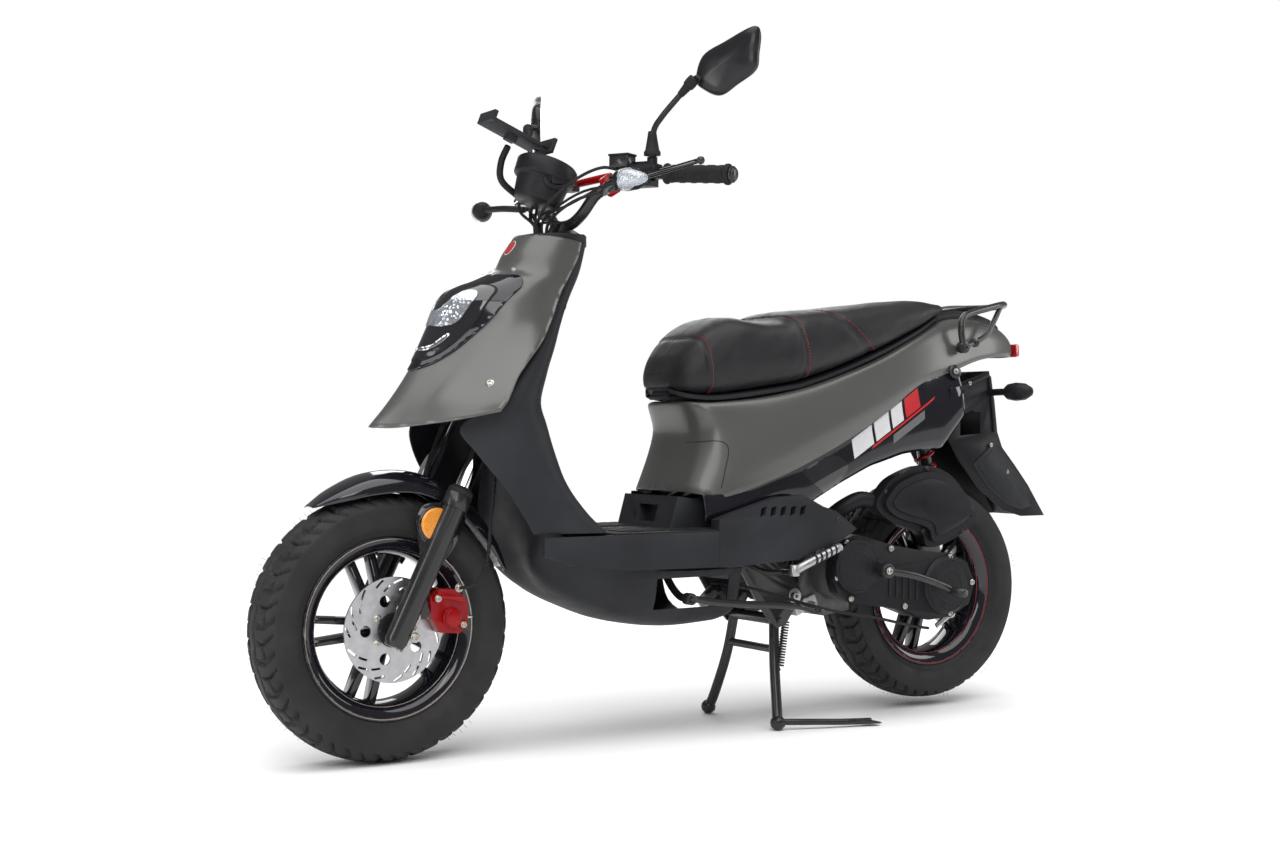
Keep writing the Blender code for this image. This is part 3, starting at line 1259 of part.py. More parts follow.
def shock():
    """The rear shock: body, sliding rod and spring, all on one line between the two eyes."""
    way = (SHOCK_FOOT - SHOCK_TOP).normalized()
    length = (SHOCK_FOOT - SHOCK_TOP).length
    ring = [(-0.009, 0.0062), (-0.009, 0.0135), (0.009, 0.0135), (0.009, 0.0062)]
    tube_profile = [(0.011, 0), (0.011, 0.010), (0.028, 0.012), (0.030, 0.0235), (0.036, 0.0235), (0.037, 0.0145), (0.150, 0.0145), (0.150, 0)]
    bore_top = rod(SHOCK_TOP - Y * 0.02, SHOCK_TOP + Y * 0.02, 0.0062, 12)
    bore = rod(SHOCK_TOP + way * 0.060, SHOCK_TOP + way * 0.16, 0.0074, 12)
    shapes = [lathe(ring, SHOCK_TOP, Y, 16), lathe(tube_profile, SHOCK_TOP, way, 16)]
    node("shock_body", "black_paint", shapes, [bore_top, bore], pivot=SHOCK_TOP)
    rod_profile = [(0.105, 0), (0.105, 0.006), (length - 0.062, 0.006), (length - 0.061, 0.0235), (length - 0.055, 0.0235), (length - 0.050, 0.012), (length - 0.010, 0.010), (length - 0.010, 0)]
    eye = lathe([(-0.009, 0.0066), (-0.009, 0.0135), (0.009, 0.0135), (0.009, 0.0066)], SHOCK_FOOT, Y, 16)
    bore_low = rod(SHOCK_FOOT - Y * 0.02, SHOCK_FOOT + Y * 0.02, 0.0066, 12)
    node("shock_rod", "steel", [eye, lathe(rod_profile, SHOCK_TOP, way, 16)], [bore_low], pivot=SHOCK_TOP)
    side, up = across(way)
    low, high, turns, steps = 0.0405, length - 0.0655, 6.5, 9
    count = int(turns * steps)
    coil = []
    for k in range(count + 1):
        a = 2 * math.pi * k / steps
        at = low + (high - low) * k / count
        coil.append(SHOCK_TOP + way * at + side * (0.0198 * math.cos(a)) + up * (0.0198 * math.sin(a)))
    node("shock_spring", "red_metal", [tube(coil, 0.0032, 4)], pivot=SHOCK_TOP)


def centre_stand():
    shapes = [sleeve(STAND_PIVOT - Y * 0.080, STAND_PIVOT + Y * 0.080, 0.0115, 0.0068, 12)]
    for hand in (1, -1):
        leg = [(-0.165, 0.070, 0.212), (-0.156, 0.084, 0.13), (-0.143, 0.110, 0.045), (-0.136, 0.122, 0.014)]
        shapes.append(handed(tube(leg, 0.0105, 8), hand))
        shapes.append(handed(box((-0.162, 0.104, 0.0), (-0.110, 0.142, 0.016)), hand))
    shapes.append(rod((-0.1595, -0.080, 0.155), (-0.1595, 0.080, 0.155), 0.008, 8))
    tang = [(-0.150, 0.124, 0.012), (-0.20, 0.145, 0.011), (-0.27, 0.166, 0.011), (-0.330, 0.176, 0.011)]
    shapes.append(tube(tang, 0.0065, 8))
    shapes.append(box((-0.348, 0.162, 0.0045), (-0.322, 0.192, 0.0175)))
    bore = rod(STAND_PIVOT - Y * 0.09, STAND_PIVOT + Y * 0.09, 0.0068, 12)
    return node("centre_stand", "black_paint", shapes, [bore], pivot=STAND_PIVOT)


def side_stand():
    at = SIDE_STAND_PIVOT
    rail = [at - X * 0.009, (0.04, 0.163, 0.268), (-0.05, 0.168, 0.259), (-0.150, 0.171, 0.251)]
    shapes = [sleeve(at - Y * 0.0105, at + Y * 0.009, 0.0115, 0.0056, 14), tube(rail, 0.0068, 8)]
    shapes.append(tube([(-0.146, 0.170, 0.2515), (-0.160, 0.178, 0.248), (-0.172, 0.198, 0.243)], 0.0062, 8))
    shapes.append(block((-0.174, 0.203, 0.242), (0.020, 0.022, 0.009)))
    bore = rod(at - Y * 0.03, at + Y * 0.03, 0.0056, 14)
    return node("side_stand", "black_paint", shapes, [bore], pivot=at)


def kick_lever():
    at = KICK_PIVOT
    shapes = [lathe([(0.0015, 0), (0.0015, 0.0155), (0.020, 0.0145), (0.020, 0)], at, Y, 16)]
    shapes.append(tube([at + Vector((0, 0.011, 0)), (-0.43, 0.196, 0.300), (-0.505, 0.199, 0.276), (-0.528, 0.199, 0.266)], [0.0085, 0.0065], 8))
    shapes.append(rod((-0.527, 0.194, 0.2665), (-0.532, 0.236, 0.262), 0.009, 10))
    return node("kick_lever", "black_paint", shapes, pivot=at)


def foot_peg(name, hand):
    at = PEG_PIVOT
    shapes = [rod(at - Z * 0.012, at + Z * 0.010, 0.0098, 12)]
    shapes.append(tube([at - X * 0.004, (-0.165, 0.188, 0.337), (-0.242, 0.190, 0.366)], 0.0088, 8))
    shapes = [handed(s, hand) for s in shapes]
    return node(name, "aluminium", shapes, pivot=at if hand > 0 else flip(at))


def brake_arm():
    at = BRAKE_ARM_PIVOT
    tip = Vector((-0.573, 0.1015, 0.181))
    way = (tip - at).normalized()
    up = Y.cross(way)
    shapes = [plate([(0, -0.006), (0.048, -0.0045), (0.048, 0.0045), (0, 0.006)], at, way, up, -0.003, 0.003)]
    shapes.append(rod(at - Y * 0.003, at + Y * 0.004, 0.0095, 12))
    bore = rod(at - Y * 0.02, at + Y * 0.02, 0.0048, 12)
    return node("brake_arm", "steel", shapes, [bore], pivot=at)


def running_gear():
    engine_case()
    transmission_cover()
    airbox()
    exhaust()
    shock()
    centre_stand()
    side_stand()
    kick_lever()
    foot_peg("left_foot_peg", 1)
    foot_peg("right_foot_peg", -1)
    brake_arm()


clear()
wheels()
steering()
chassis()
running_gear()
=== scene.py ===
"""Looks of the moped scooter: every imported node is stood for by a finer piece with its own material.

Units are metres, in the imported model's frame: +X forward, +Y the rider's left, +Z up, ground at z = 0.
"""

import json
import math

import bmesh
import bpy
from mathutils import Matrix, Vector
from mathutils.bvhtree import BVHTree
from mathutils.geometry import delaunay_2d_cdt

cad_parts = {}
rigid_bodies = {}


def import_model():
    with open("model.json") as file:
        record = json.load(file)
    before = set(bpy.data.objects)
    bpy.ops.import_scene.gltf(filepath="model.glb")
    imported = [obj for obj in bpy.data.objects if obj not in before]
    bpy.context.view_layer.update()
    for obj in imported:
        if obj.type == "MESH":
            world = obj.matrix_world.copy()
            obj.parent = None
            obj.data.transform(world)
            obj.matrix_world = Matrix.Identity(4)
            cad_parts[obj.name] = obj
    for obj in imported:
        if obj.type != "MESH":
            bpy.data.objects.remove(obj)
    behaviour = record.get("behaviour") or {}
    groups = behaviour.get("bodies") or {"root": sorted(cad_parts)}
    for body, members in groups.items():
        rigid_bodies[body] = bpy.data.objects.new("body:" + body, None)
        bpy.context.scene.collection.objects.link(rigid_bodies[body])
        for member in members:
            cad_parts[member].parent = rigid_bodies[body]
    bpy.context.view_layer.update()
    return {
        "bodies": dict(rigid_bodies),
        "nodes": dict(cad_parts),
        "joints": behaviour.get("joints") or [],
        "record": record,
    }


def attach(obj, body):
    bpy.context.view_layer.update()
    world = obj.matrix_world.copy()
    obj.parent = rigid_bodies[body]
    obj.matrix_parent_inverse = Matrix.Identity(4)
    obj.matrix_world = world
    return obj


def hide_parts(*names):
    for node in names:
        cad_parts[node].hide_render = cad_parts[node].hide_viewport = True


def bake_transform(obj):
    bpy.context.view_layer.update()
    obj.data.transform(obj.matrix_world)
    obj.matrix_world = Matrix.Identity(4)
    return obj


for start_object in list(bpy.data.objects):
    bpy.data.objects.remove(start_object, do_unlink=True)
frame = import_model()

X = Vector((1, 0, 0))
Y = Vector((0, 1, 0))
Z = Vector((0, 0, 1))
FULL_TURN = 2 * math.pi
BODY_OF = {name: body for body, names in frame["record"]["behaviour"]["bodies"].items() for name in names}


# Camera, floor and light


def placed(name, data):
    """A new object in the scene."""
    made = bpy.data.objects.new(name, data)
    bpy.context.scene.collection.objects.link(made)
    return made


def studio():
    """The camera, a white floor under an even overhead light, and soft lamps on three sides."""
    camera = placed("camera", bpy.data.cameras.new("camera"))
    camera.location = (1.978, 2.986, 0.609)
    camera.rotation_euler = (math.radians(90), 0, math.radians(147.99))
    camera.data.lens = 50
    camera.data.sensor_width = 36
    bpy.context.scene.camera = camera
    mesh = bpy.data.meshes.new("floor")
    mesh.from_pydata([(-60, -60, 0), (60, -60, 0), (60, 60, 0), (-60, 60, 0)], [], [(0, 1, 2, 3)])
    mesh.transform(Matrix.Translation((0, 0, -0.0005)))
    floor = placed("floor", mesh)
    floor.data.materials.append(plain("floor_white", (0.97, 0.97, 0.97), 0.8))
    world = bpy.data.worlds.new("studio")
    world.use_nodes = True
    tree = world.node_tree
    seen = tree.nodes.new("ShaderNodeLightPath").outputs["Is Camera Ray"]
    power = tree.nodes.new("ShaderNodeMapRange")
    power.inputs["To Min"].default_value = 0.2
    power.inputs["To Max"].default_value = 1.0
    tree.links.new(seen, power.inputs["Value"])
    tree.nodes["Background"].inputs["Color"].default_value = (1, 1, 1, 1)
    tree.links.new(power.outputs["Result"], tree.nodes["Background"].inputs["Strength"])
    bpy.context.scene.world = world
    bpy.context.scene.view_settings.view_transform = "Standard"
    overhead = placed("overhead", bpy.data.lights.new("overhead", "SUN"))
    overhead.rotation_euler = (math.radians(-14), math.radians(10), 0)
    overhead.data.energy = 3.05
    overhead.data.angle = math.radians(75)
    lamps = [
        ("key", (2.0, 3.2, 2.2), (1.6, 1.6), 34), ("side", (-3.3, 1.3, 1.8), (1.2, 1.8), 26),
        ("front", (3.6, 0.2, 1.2), (0.7, 2.0), 26), ("back", (-1.4, -2.8, 2.2), (2.0, 1.4), 26),
    ]
    for name, place, size, energy in lamps:
        lamp = placed(name, bpy.data.lights.new(name, "AREA"))
        lamp.location = place
        aim = Vector((0, 0, 0.55)) - Vector(place)
        lamp.rotation_euler = aim.to_track_quat("-Z", "Y").to_euler()
        lamp.data.shape = "RECTANGLE"
        lamp.data.size, lamp.data.size_y = size
        lamp.data.energy = energy


# Materials


def plain(name, colour, roughness):
    """A material of one colour, for the floor."""
    made = bpy.data.materials.new(name)
    made.use_nodes = True
    shader = made.node_tree.nodes["Principled BSDF"]
    shader.inputs["Base Color"].default_value = (*colour, 1)
    shader.inputs["Roughness"].default_value = roughness
    return made


MATERIALS = {}


class Surface:
    """A Principled material whose colour, roughness and relief come from noise in object space."""

    def __init__(self, name, colour, roughness, metallic=0.0):
        self.made = bpy.data.materials.new(name)
        MATERIALS[name] = self.made
        self.made.use_nodes = True
        self.tree = self.made.node_tree
        self.shader = self.tree.nodes["Principled BSDF"]
        self.shader.inputs["Base Color"].default_value = (*colour, 1)
        self.shader.inputs["Roughness"].default_value = roughness
        self.shader.inputs["Metallic"].default_value = metallic
        self.colour = colour
        self.roughness = roughness
        self.place = self.tree.nodes.new("ShaderNodeTexCoord").outputs["Object"]
        self.height = None

    def noise(self, scale, detail=4.0):
        """Soft clouds, from 0 to 1."""
        made = self.tree.nodes.new("ShaderNodeTexNoise")
        made.inputs["Scale"].default_value = scale
        made.inputs["Detail"].default_value = detail
        self.tree.links.new(self.place, made.inputs["Vector"])
        return made.outputs["Fac"]

    def cells(self, scale):
        """The distance from the middles of small cells."""
        made = self.tree.nodes.new("ShaderNodeTexVoronoi")
        made.inputs["Scale"].default_value = scale
        self.tree.links.new(self.place, made.inputs["Vector"])
        return made.outputs["Distance"]

    def spread(self, source, low, high, out_low, out_high):
        """The source stretched from one range to another."""
        made = self.tree.nodes.new("ShaderNodeMapRange")
        for key, value in (
            ("From Min", low), ("From Max", high), ("To Min", out_low), ("To Max", out_high),
        ):
            made.inputs[key].default_value = value
        self.tree.links.new(source, made.inputs["Value"])
        return made.outputs["Result"]

    def tint(self, source, low, high, other):
        """Mixes the base colour towards another where the source is high."""
        made = self.tree.nodes.new("ShaderNodeMix")
        made.data_type = "RGBA"
        made.inputs["A"].default_value = (*self.colour, 1)
        made.inputs["B"].default_value = (*other, 1)
        self.tree.links.new(self.spread(source, low, high, 0.0, 1.0), made.inputs["Factor"])
        self.tree.links.new(made.outputs["Result"], self.shader.inputs["Base Color"])
        return self

    def mottle(self, scale, amount):
        """Roughness that varies by an amount either way."""
        source = self.noise(scale)
        out = self.spread(source, 0.3, 0.7, self.roughness - amount, self.roughness + amount)
        self.tree.links.new(out, self.shader.inputs["Roughness"])
        return self

    def relief(self, source, strength, distance):
        """Bumps from a source, on top of any before them."""
        made = self.tree.nodes.new("ShaderNodeBump")
        made.inputs["Strength"].default_value = strength
        made.inputs["Distance"].default_value = distance
        self.tree.links.new(source, made.inputs["Height"])
        if self.height:
            self.tree.links.new(self.height, made.inputs["Normal"])
        self.height = made.outputs["Normal"]
        self.tree.links.new(self.height, self.shader.inputs["Normal"])
        return self

    def shine(self, level):
        """How much the bare surface reflects, as a share of the usual four percent."""
        self.shader.inputs["Specular IOR Level"].default_value = level / 2
        return self

    def coat(self, weight, roughness):
        """A layer of clear varnish."""
        self.shader.inputs["Coat Weight"].default_value = weight
        self.shader.inputs["Coat Roughness"].default_value = roughness
        return self


def finish(name, base, grain, mottle=None, relief=None, coat=None, shine=None):
    """A surface in the usual way: base is (colour, roughness, metallic), grain (noise scale, second colour),
    mottle (scale, amount), relief (scale, detail, strength, depth) and coat (weight, roughness)."""
    made = Surface(name, *base)
    scale, other = grain
    made.tint(made.noise(scale), 0.35, 0.7, other)
    if mottle:
        made.mottle(*mottle)
    if relief:
        scale, detail, strength, depth = relief
        made.relief(made.noise(scale, detail), strength, depth)
    if coat:
        made.coat(*coat)
    if shine is not None:
        made.shine(shine)
    return made


# Black plastics, paints and rubbers, each with a slightly paler second colour
BLACKS = [
    (
        "gloss_black", ((0.0065, 0.0065, 0.0095), 0.1), (5, (0.01, 0.009, 0.014)), (14, 0.02),
        (260, 2, 0.015, 0.0003), (0.45, 0.04), 0.7,
    ),
    (
        "satin_black", ((0.0075, 0.0075, 0.0092), 0.46), (8, (0.013, 0.013, 0.015)), (40, 0.05),
        (900, 3, 0.08, 0.0002), None, 0.4,
    ),
    (
        "black_paint", ((0.013, 0.013, 0.014), 0.3), (12, (0.018, 0.018, 0.019)), (25, 0.05),
        (500, 3, 0.06, 0.0002), (0.3, 0.12), 0.6,
    ),
    (
        "rubber", ((0.011, 0.011, 0.012), 0.66), (25, (0.017, 0.017, 0.018)), (60, 0.06),
        (700, 4, 0.18, 0.0003), None, 0.45,
    ),
    (
        "tyre_rubber", ((0.0175, 0.0178, 0.019), 0.6), (14, (0.026, 0.026, 0.027)), (40, 0.07),
        (380, 5, 0.16, 0.0004), None, 0.45,
    ),
    (
        "mirror_black", ((0.011, 0.011, 0.013), 0.26), (12, (0.015, 0.015, 0.017)), (30, 0.04),
        (600, 2, 0.05, 0.0002), None, 0.6,
    ),
    ("smoked", ((0.01, 0.01, 0.012), 0.06), (20, (0.014, 0.014, 0.017)), None, None, (0.9, 0.03), None),
]
METALS = [
    (
        "chrome", ((0.74, 0.74, 0.76), 0.07, 1.0), (20, (0.66, 0.66, 0.68)), (35, 0.02),
        (1500, 1, 0.01, 0.0001),
    ),
    (
        "steel", ((0.52, 0.52, 0.53), 0.36, 1.0), (70, (0.44, 0.44, 0.46)), (120, 0.07),
        (1400, 2, 0.08, 0.0001),
    ),
    (
        "zinc", ((0.52, 0.5, 0.44), 0.32, 1.0), (160, (0.4, 0.39, 0.36)), (200, 0.08),
        (1600, 2, 0.06, 0.0001),
    ),
    (
        "aluminium", ((0.46, 0.46, 0.47), 0.42, 1.0), (60, (0.36, 0.36, 0.37)), (90, 0.09),
        (1100, 3, 0.14, 0.0003),
    ),
    (
        "engine_alloy", ((0.06, 0.06, 0.064), 0.5, 0.55), (35, (0.085, 0.085, 0.088)), (80, 0.08),
        (1000, 3, 0.24, 0.0004),
    ),
    ("machined_line", ((0.36, 0.31, 0.28), 0.28, 0.9), (200, (0.28, 0.24, 0.22)), (150, 0.06)),
    ("rim_red", ((0.17, 0.006, 0.012), 0.25, 0.3), (150, (0.22, 0.012, 0.018)), (90, 0.05)),
]
# Coloured parts and the printed stripes
COLOURS = [
    (
        "red_metal", ((0.23, 0.001, 0.002), 0.26), (30, (0.3, 0.002, 0.004)), (60, 0.04),
        (900, 2, 0.05, 0.0002), (0.15, 0.08), 0.35,
    ),
    ("red_thread", ((0.22, 0.01, 0.014), 0.7), (900, (0.5, 0.03, 0.03)), None, (1500, 4, 0.3, 0.0003)),
    ("decal_white", ((0.62, 0.62, 0.63), 0.3), (60, (0.56, 0.56, 0.58)), None, None, (0.4, 0.1)),
    ("decal_red", ((0.46, 0.01, 0.014), 0.3), (60, (0.4, 0.012, 0.016)), None, None, (0.4, 0.1)),
    ("decal_grey", ((0.12, 0.12, 0.125), 0.34), (60, (0.1, 0.1, 0.105)), None, None, (0.4, 0.1)),
]


def make_materials():
    """One procedural material for each finish the machine shows."""
    for row in BLACKS + METALS + COLOURS:
        finish(*row)
    grey = Surface("grey_panel", (0.078, 0.077, 0.0735), 0.36, 0.3)
    grey.tint(grey.noise(2200, 2), 0.42, 0.62, (0.097, 0.096, 0.092)).mottle(9, 0.03).coat(0.3, 0.16)
    grey.relief(grey.noise(420, 2), 0.02, 0.0004)
    charcoal = finish(
        "charcoal", ((0.0145, 0.015, 0.018), 0.56), (6, (0.024, 0.025, 0.029)), (30, 0.05), shine=0.4,
    )
    charcoal.relief(charcoal.cells(1500), 0.16, 0.0003).relief(charcoal.noise(60), 0.05, 0.0004)
    leather = finish(
        "leather", ((0.0135, 0.0135, 0.015), 0.44), (18, (0.019, 0.019, 0.021)), (50, 0.06), shine=0.55,
    )
    leather.relief(leather.cells(620), 0.3, 0.0005).relief(leather.noise(140, 5), 0.12, 0.0008)
    winker = Surface("signal_lens", (0.6, 0.63, 0.66), 0.1, 0.25)
    winker.tint(winker.cells(330), 0.15, 0.55, (0.34, 0.37, 0.41)).coat(1.0, 0.03)
    winker.relief(winker.cells(330), 0.8, 0.0009)
    clear = Surface("clear_cover", (0.9, 0.92, 0.95), 0.03)
    clear.shader.inputs["Transmission Weight"].default_value = 0.95
    clear.shader.inputs["IOR"].default_value = 1.45
    clear.mottle(30, 0.01)
    amber = Surface("amber", (0.52, 0.145, 0.006), 0.16)
    amber.tint(amber.cells(420), 0.1, 0.5, (0.74, 0.27, 0.02)).coat(0.8, 0.04)
    amber.relief(amber.cells(420), 0.7, 0.0008)
    tail = Surface("red_lens", (0.32, 0.006, 0.01), 0.12)
    tail.tint(tail.cells(260), 0.1, 0.5, (0.45, 0.012, 0.016)).coat(0.8, 0.04)
    tail.relief(tail.cells(260), 0.4, 0.0006)
    glass = Surface("mirror_glass", (0.86, 0.88, 0.9), 0.02, 1.0)
    glass.tint(glass.noise(6), 0.3, 0.8, (0.82, 0.85, 0.88))
    bright = Surface("reflector", (0.86, 0.87, 0.9), 0.12, 1.0)
    bright.tint(bright.noise(40), 0.3, 0.8, (0.72, 0.74, 0.8)).relief(bright.cells(160), 0.5, 0.001)


# Dimensions that several pieces share, as in the CAD

FRONT_AXLE = Vector((0.668, 0.0, 0.243))
REAR_AXLE = Vector((-0.608, 0.0, 0.254))
FRONT_TYRE_RADIUS = 0.243
REAR_TYRE_RADIUS = 0.239
FRONT_TYRE_WIDTH = 0.12
REAR_TYRE_WIDTH = 0.129
RIM_RADIUS = 0.166
DISC_RADIUS = 0.095
DISC_Y = 0.0585
WHEEL_SIDES = 96
RAKE = math.radians(26)
FORK_DIR = Vector((-math.sin(RAKE), 0, math.cos(RAKE)))
FORK_AHEAD = Vector((math.cos(RAKE), 0, math.sin(RAKE)))
LEG_Y = 0.088
LEG_RADIUS = 0.021
STANCHION_RADIUS = 0.0155
STEER_OFFSET = 0.025
STEM_RADIUS = 0.0165
BAR_RADIUS = 0.011
PANEL = 0.003
ENGINE_PIVOT = Vector((-0.2, 0, 0.262))
STAND_PIVOT = Vector((-0.165, 0, 0.215))
SIDE_STAND_PIVOT = Vector((0.1, 0.16, 0.277))
KICK_PIVOT = Vector((-0.36, 0.18, 0.313))
SHOCK_TOP = Vector((-0.52, 0.095, 0.665))
SHOCK_FOOT = Vector((-0.575, 0.095, 0.375))
SEAT_HINGE = Vector((0.066, 0, 0.664))
LOCK_AT = Vector((-0.598, 0.1292, 0.722))
BAR_HOUSING = Vector((0.217, 0.185, 1.0746))
BAR_OUT = Vector((-0.457, 0.889, -0.013)).normalized()
BAR_FRONT = Vector((0.889, 0.457, 0))
GRIP_START = Vector((0.199, 0.22, 1.074))
BAR_END = Vector((0.136, 0.34, 1.063))
PEG_PIVOT = Vector((-0.131, 0.185, 0.324))
BRAKE_ARM_PIVOT = Vector((-0.612, 0.1015, 0.205))
MIRROR_ROOT = Vector((0.235, 0.24, 1.1))
MIRROR_BALL = Vector((0.178, 0.308, 1.235))
CRADLE_PIVOT = Vector((0.385, -0.03, 1.158))
POD_CENTRE = Vector((0.3255, 0, 1.09))
POD_AXIS = Vector((-math.sin(math.radians(20)), 0, math.cos(math.radians(20))))
# The left mirror and signal lie along the first of these and face the second
SIDEWAYS = Vector((-0.5, 0.866, 0)).normalized()
FACING = Vector((0.866, 0.5, 0)).normalized()

# How finely things are made
REFINE = 5
WELD = 1e-5
FAR = 2
INSIDE_ONLY = 1
SAME_POINT = 1e-7
TYRE_STEPS = 420
TREAD_BLOCKS = 24
TREAD_FROM = 0.2165
HAIRS = 150
GOLDEN = 0.6180339
GRIP_STEPS = 110
GRIP_SIDES = 48
SEAT_STEPS = 14
SEAT_ROUND = 8
STITCHES = 72


# Shapes: each returns a temporary object holding one closed body


def solid(points, faces):
    """One closed body from points and faces, turned outwards."""
    mesh = bpy.data.meshes.new("shape")
    mesh.from_pydata([tuple(p) for p in points], [], faces)
    work = bmesh.new()
    work.from_mesh(mesh)
    bmesh.ops.recalc_face_normals(work, faces=work.faces)
    if work.calc_volume(signed=True) < 0:
        bmesh.ops.reverse_faces(work, faces=work.faces)
    work.to_mesh(mesh)
    work.free()
    return placed("shape", mesh)


def across(axis):
    """Two unit vectors at right angles to an axis and to each other."""
    side = axis.cross(Z) if abs(axis.z) < 0.9 else axis.cross(Y)
    side.normalize()
    return side, axis.cross(side).normalized()


def smooth_path(points, steps):
    """Points on one smooth curve through the given points."""
    points = [Vector(p) for p in points]
    if steps < 2 or len(points) < 3:
        return points
    ends = [2 * points[0] - points[1], *points, 2 * points[-1] - points[-2]]
    path = []
    for a, b, c, d in zip(ends, ends[1:], ends[2:], ends[3:]):
        for k in range(steps):
            t = k / steps
            path.append(0.5 * (
                2 * b + (c - a) * t + (2 * a - 5 * b + 4 * c - d) * t**2 + (3 * b - a - 3 * c + d) * t**3
            ))
    path.append(points[-1])
    return path


def on_circle(centre, side, up, radius, angle):
    """A point on a circle in the plane of two unit vectors."""
    return centre + side * (radius * math.cos(angle)) + up * (radius * math.sin(angle))


def tube(points, radius, sides=16, steps=6):
    """A round bar along a smooth path; the radius may be a list that it follows from end to end."""
    path = smooth_path(points, steps)
    count = len(path)
    given = radius if isinstance(radius, (list, tuple)) else [radius, radius]
    radii = []
    for i in range(count):
        t = i * (len(given) - 1) / (count - 1)
        k = min(int(t), len(given) - 2)
        radii.append(given[k] + (given[k + 1] - given[k]) * (t - k))
    heading = (path[1] - path[0]).normalized()
    side, up = across(heading)
    verts = []
    for i, point in enumerate(path):
        here = (path[min(i + 1, count - 1)] - path[max(i - 1, 0)]).normalized()
        side = (side - here * side.dot(here)).normalized()
        up = here.cross(side)
        for k in range(sides):
            verts.append(on_circle(point, side, up, radii[i], FULL_TURN * k / sides))
    faces = [list(range(sides)), list(range((count - 1) * sides, count * sides))]
    for i in range(count - 1):
        for k in range(sides):
            j = (k + 1) % sides
            faces.append([i * sides + k, i * sides + j, (i + 1) * sides + j, (i + 1) * sides + k])
    return solid(verts, faces)


def lathe(profile, start, axis, sides=48):
    """A turned body. The profile holds (distance along the axis, radius) and closes on itself."""
    axis = Vector(axis).normalized()
    side, up = across(axis)
    verts = []
    rings = []
    for along, r in profile:
        at = Vector(start) + axis * along
        if r == 0:
            rings.append([len(verts)] * sides)
            verts.append(at)
            continue
        rings.append(list(range(len(verts), len(verts) + sides)))
        for k in range(sides):
            verts.append(on_circle(at, side, up, r, FULL_TURN * k / sides))
    pairs = list(zip(rings, rings[1:]))
    if profile[0][1] or profile[-1][1]:
        pairs.append((rings[-1], rings[0]))
    faces = []
    for low, high in pairs:
        for k in range(sides):
            j = (k + 1) % sides
            face = list(dict.fromkeys([low[k], low[j], high[j], high[k]]))
            if len(face) > 2:
                faces.append(face)
    return solid(verts, faces)


def rod(a, b, radius, sides=30):
    """A round bar from one point to another."""
    a, b = Vector(a), Vector(b)
    length = (b - a).length
    return lathe([(0, 0), (0, radius), (length, radius), (length, 0)], a, b - a, sides)


def sleeve(a, b, outer, inner, sides=36):
    """A round tube from one point to another, open at both ends."""
    a, b = Vector(a), Vector(b)
    length = (b - a).length
    return lathe([(0, inner), (0, outer), (length, outer), (length, inner)], a, b - a, sides)


def loft(rings):
    """A body through rings of equally many points, closed at both ends."""
    n = len(rings[0])
    verts = [p for ring in rings for p in ring]
    faces = [list(range(n)), list(range((len(rings) - 1) * n, len(rings) * n))]
    for i in range(len(rings) - 1):
        for k in range(n):
            j = (k + 1) % n
            faces.append([i * n + k, i * n + j, (i + 1) * n + j, (i + 1) * n + k])
    return solid(verts, faces)


def prism(outline, low, high, axis="y"):
    """A flat outline pulled along an axis: (x, z) along y, (x, y) along z, or (y, z) along x."""
    place = {
        "y": lambda a, b, c: Vector((a, c, b)), "z": lambda a, b, c: Vector((a, b, c)), "x": lambda a, b,
        c: Vector((c, a, b)),
    }[axis]
    return loft([[place(a, b, c) for a, b in outline] for c in (low, high)])


def plate(outline, origin, along, up, low, high):
    """A flat outline in the plane of two vectors, pulled from low to high along their normal."""
    origin, along, up = Vector(origin), Vector(along).normalized(), Vector(up).normalized()
    normal = along.cross(up).normalized()
    return loft([[origin + along * a + up * b + normal * c for a, b in outline] for c in (low, high)])


def block(centre, size, along=X, up=Z):
    """A box round a centre; its first size runs along `along`, its third along `up`."""
    a, b, c = (s / 2 for s in size)
    along = Vector(along).normalized()
    side = Vector(up).cross(along).normalized()
    up = along.cross(side).normalized()
    centre = Vector(centre)
    rings = []
    for u in (-a, a):
        ring = [(-b, -c), (b, -c), (b, c), (-b, c)]
        rings.append([centre + along * u + side * v + up * w for v, w in ring])
    return loft(rings)


def box(low, high):
    """A box between two corners."""
    low, high = Vector(low), Vector(high)
    return block((low + high) / 2, high - low)


def both_sides(row):
    """A row given from the middle plane outwards, continued to the other side."""
    half = [Vector(p) for p in row]
    return [flip(p) for p in reversed(half[1:])] + half


def flip(point):
    """The point on the other side of the middle plane."""
    point = Vector(point)
    return Vector((point.x, -point.y, point.z))


def refine(grid, closed):
    """More rows and columns on the same smooth surface."""
    if closed:
        n = len(grid)
        around = [[grid[i % n][j] for i in range(-2, n + 3)] for j in range(len(grid[0]))]
        dense = [smooth_path(line, REFINE)[2 * REFINE : (n + 2) * REFINE] for line in around]
    else:
        dense = [smooth_path([row[j] for row in grid], REFINE) for j in range(len(grid[0]))]
    return [smooth_path([line[i] for line in dense], REFINE) for i in range(len(dense[0]))]


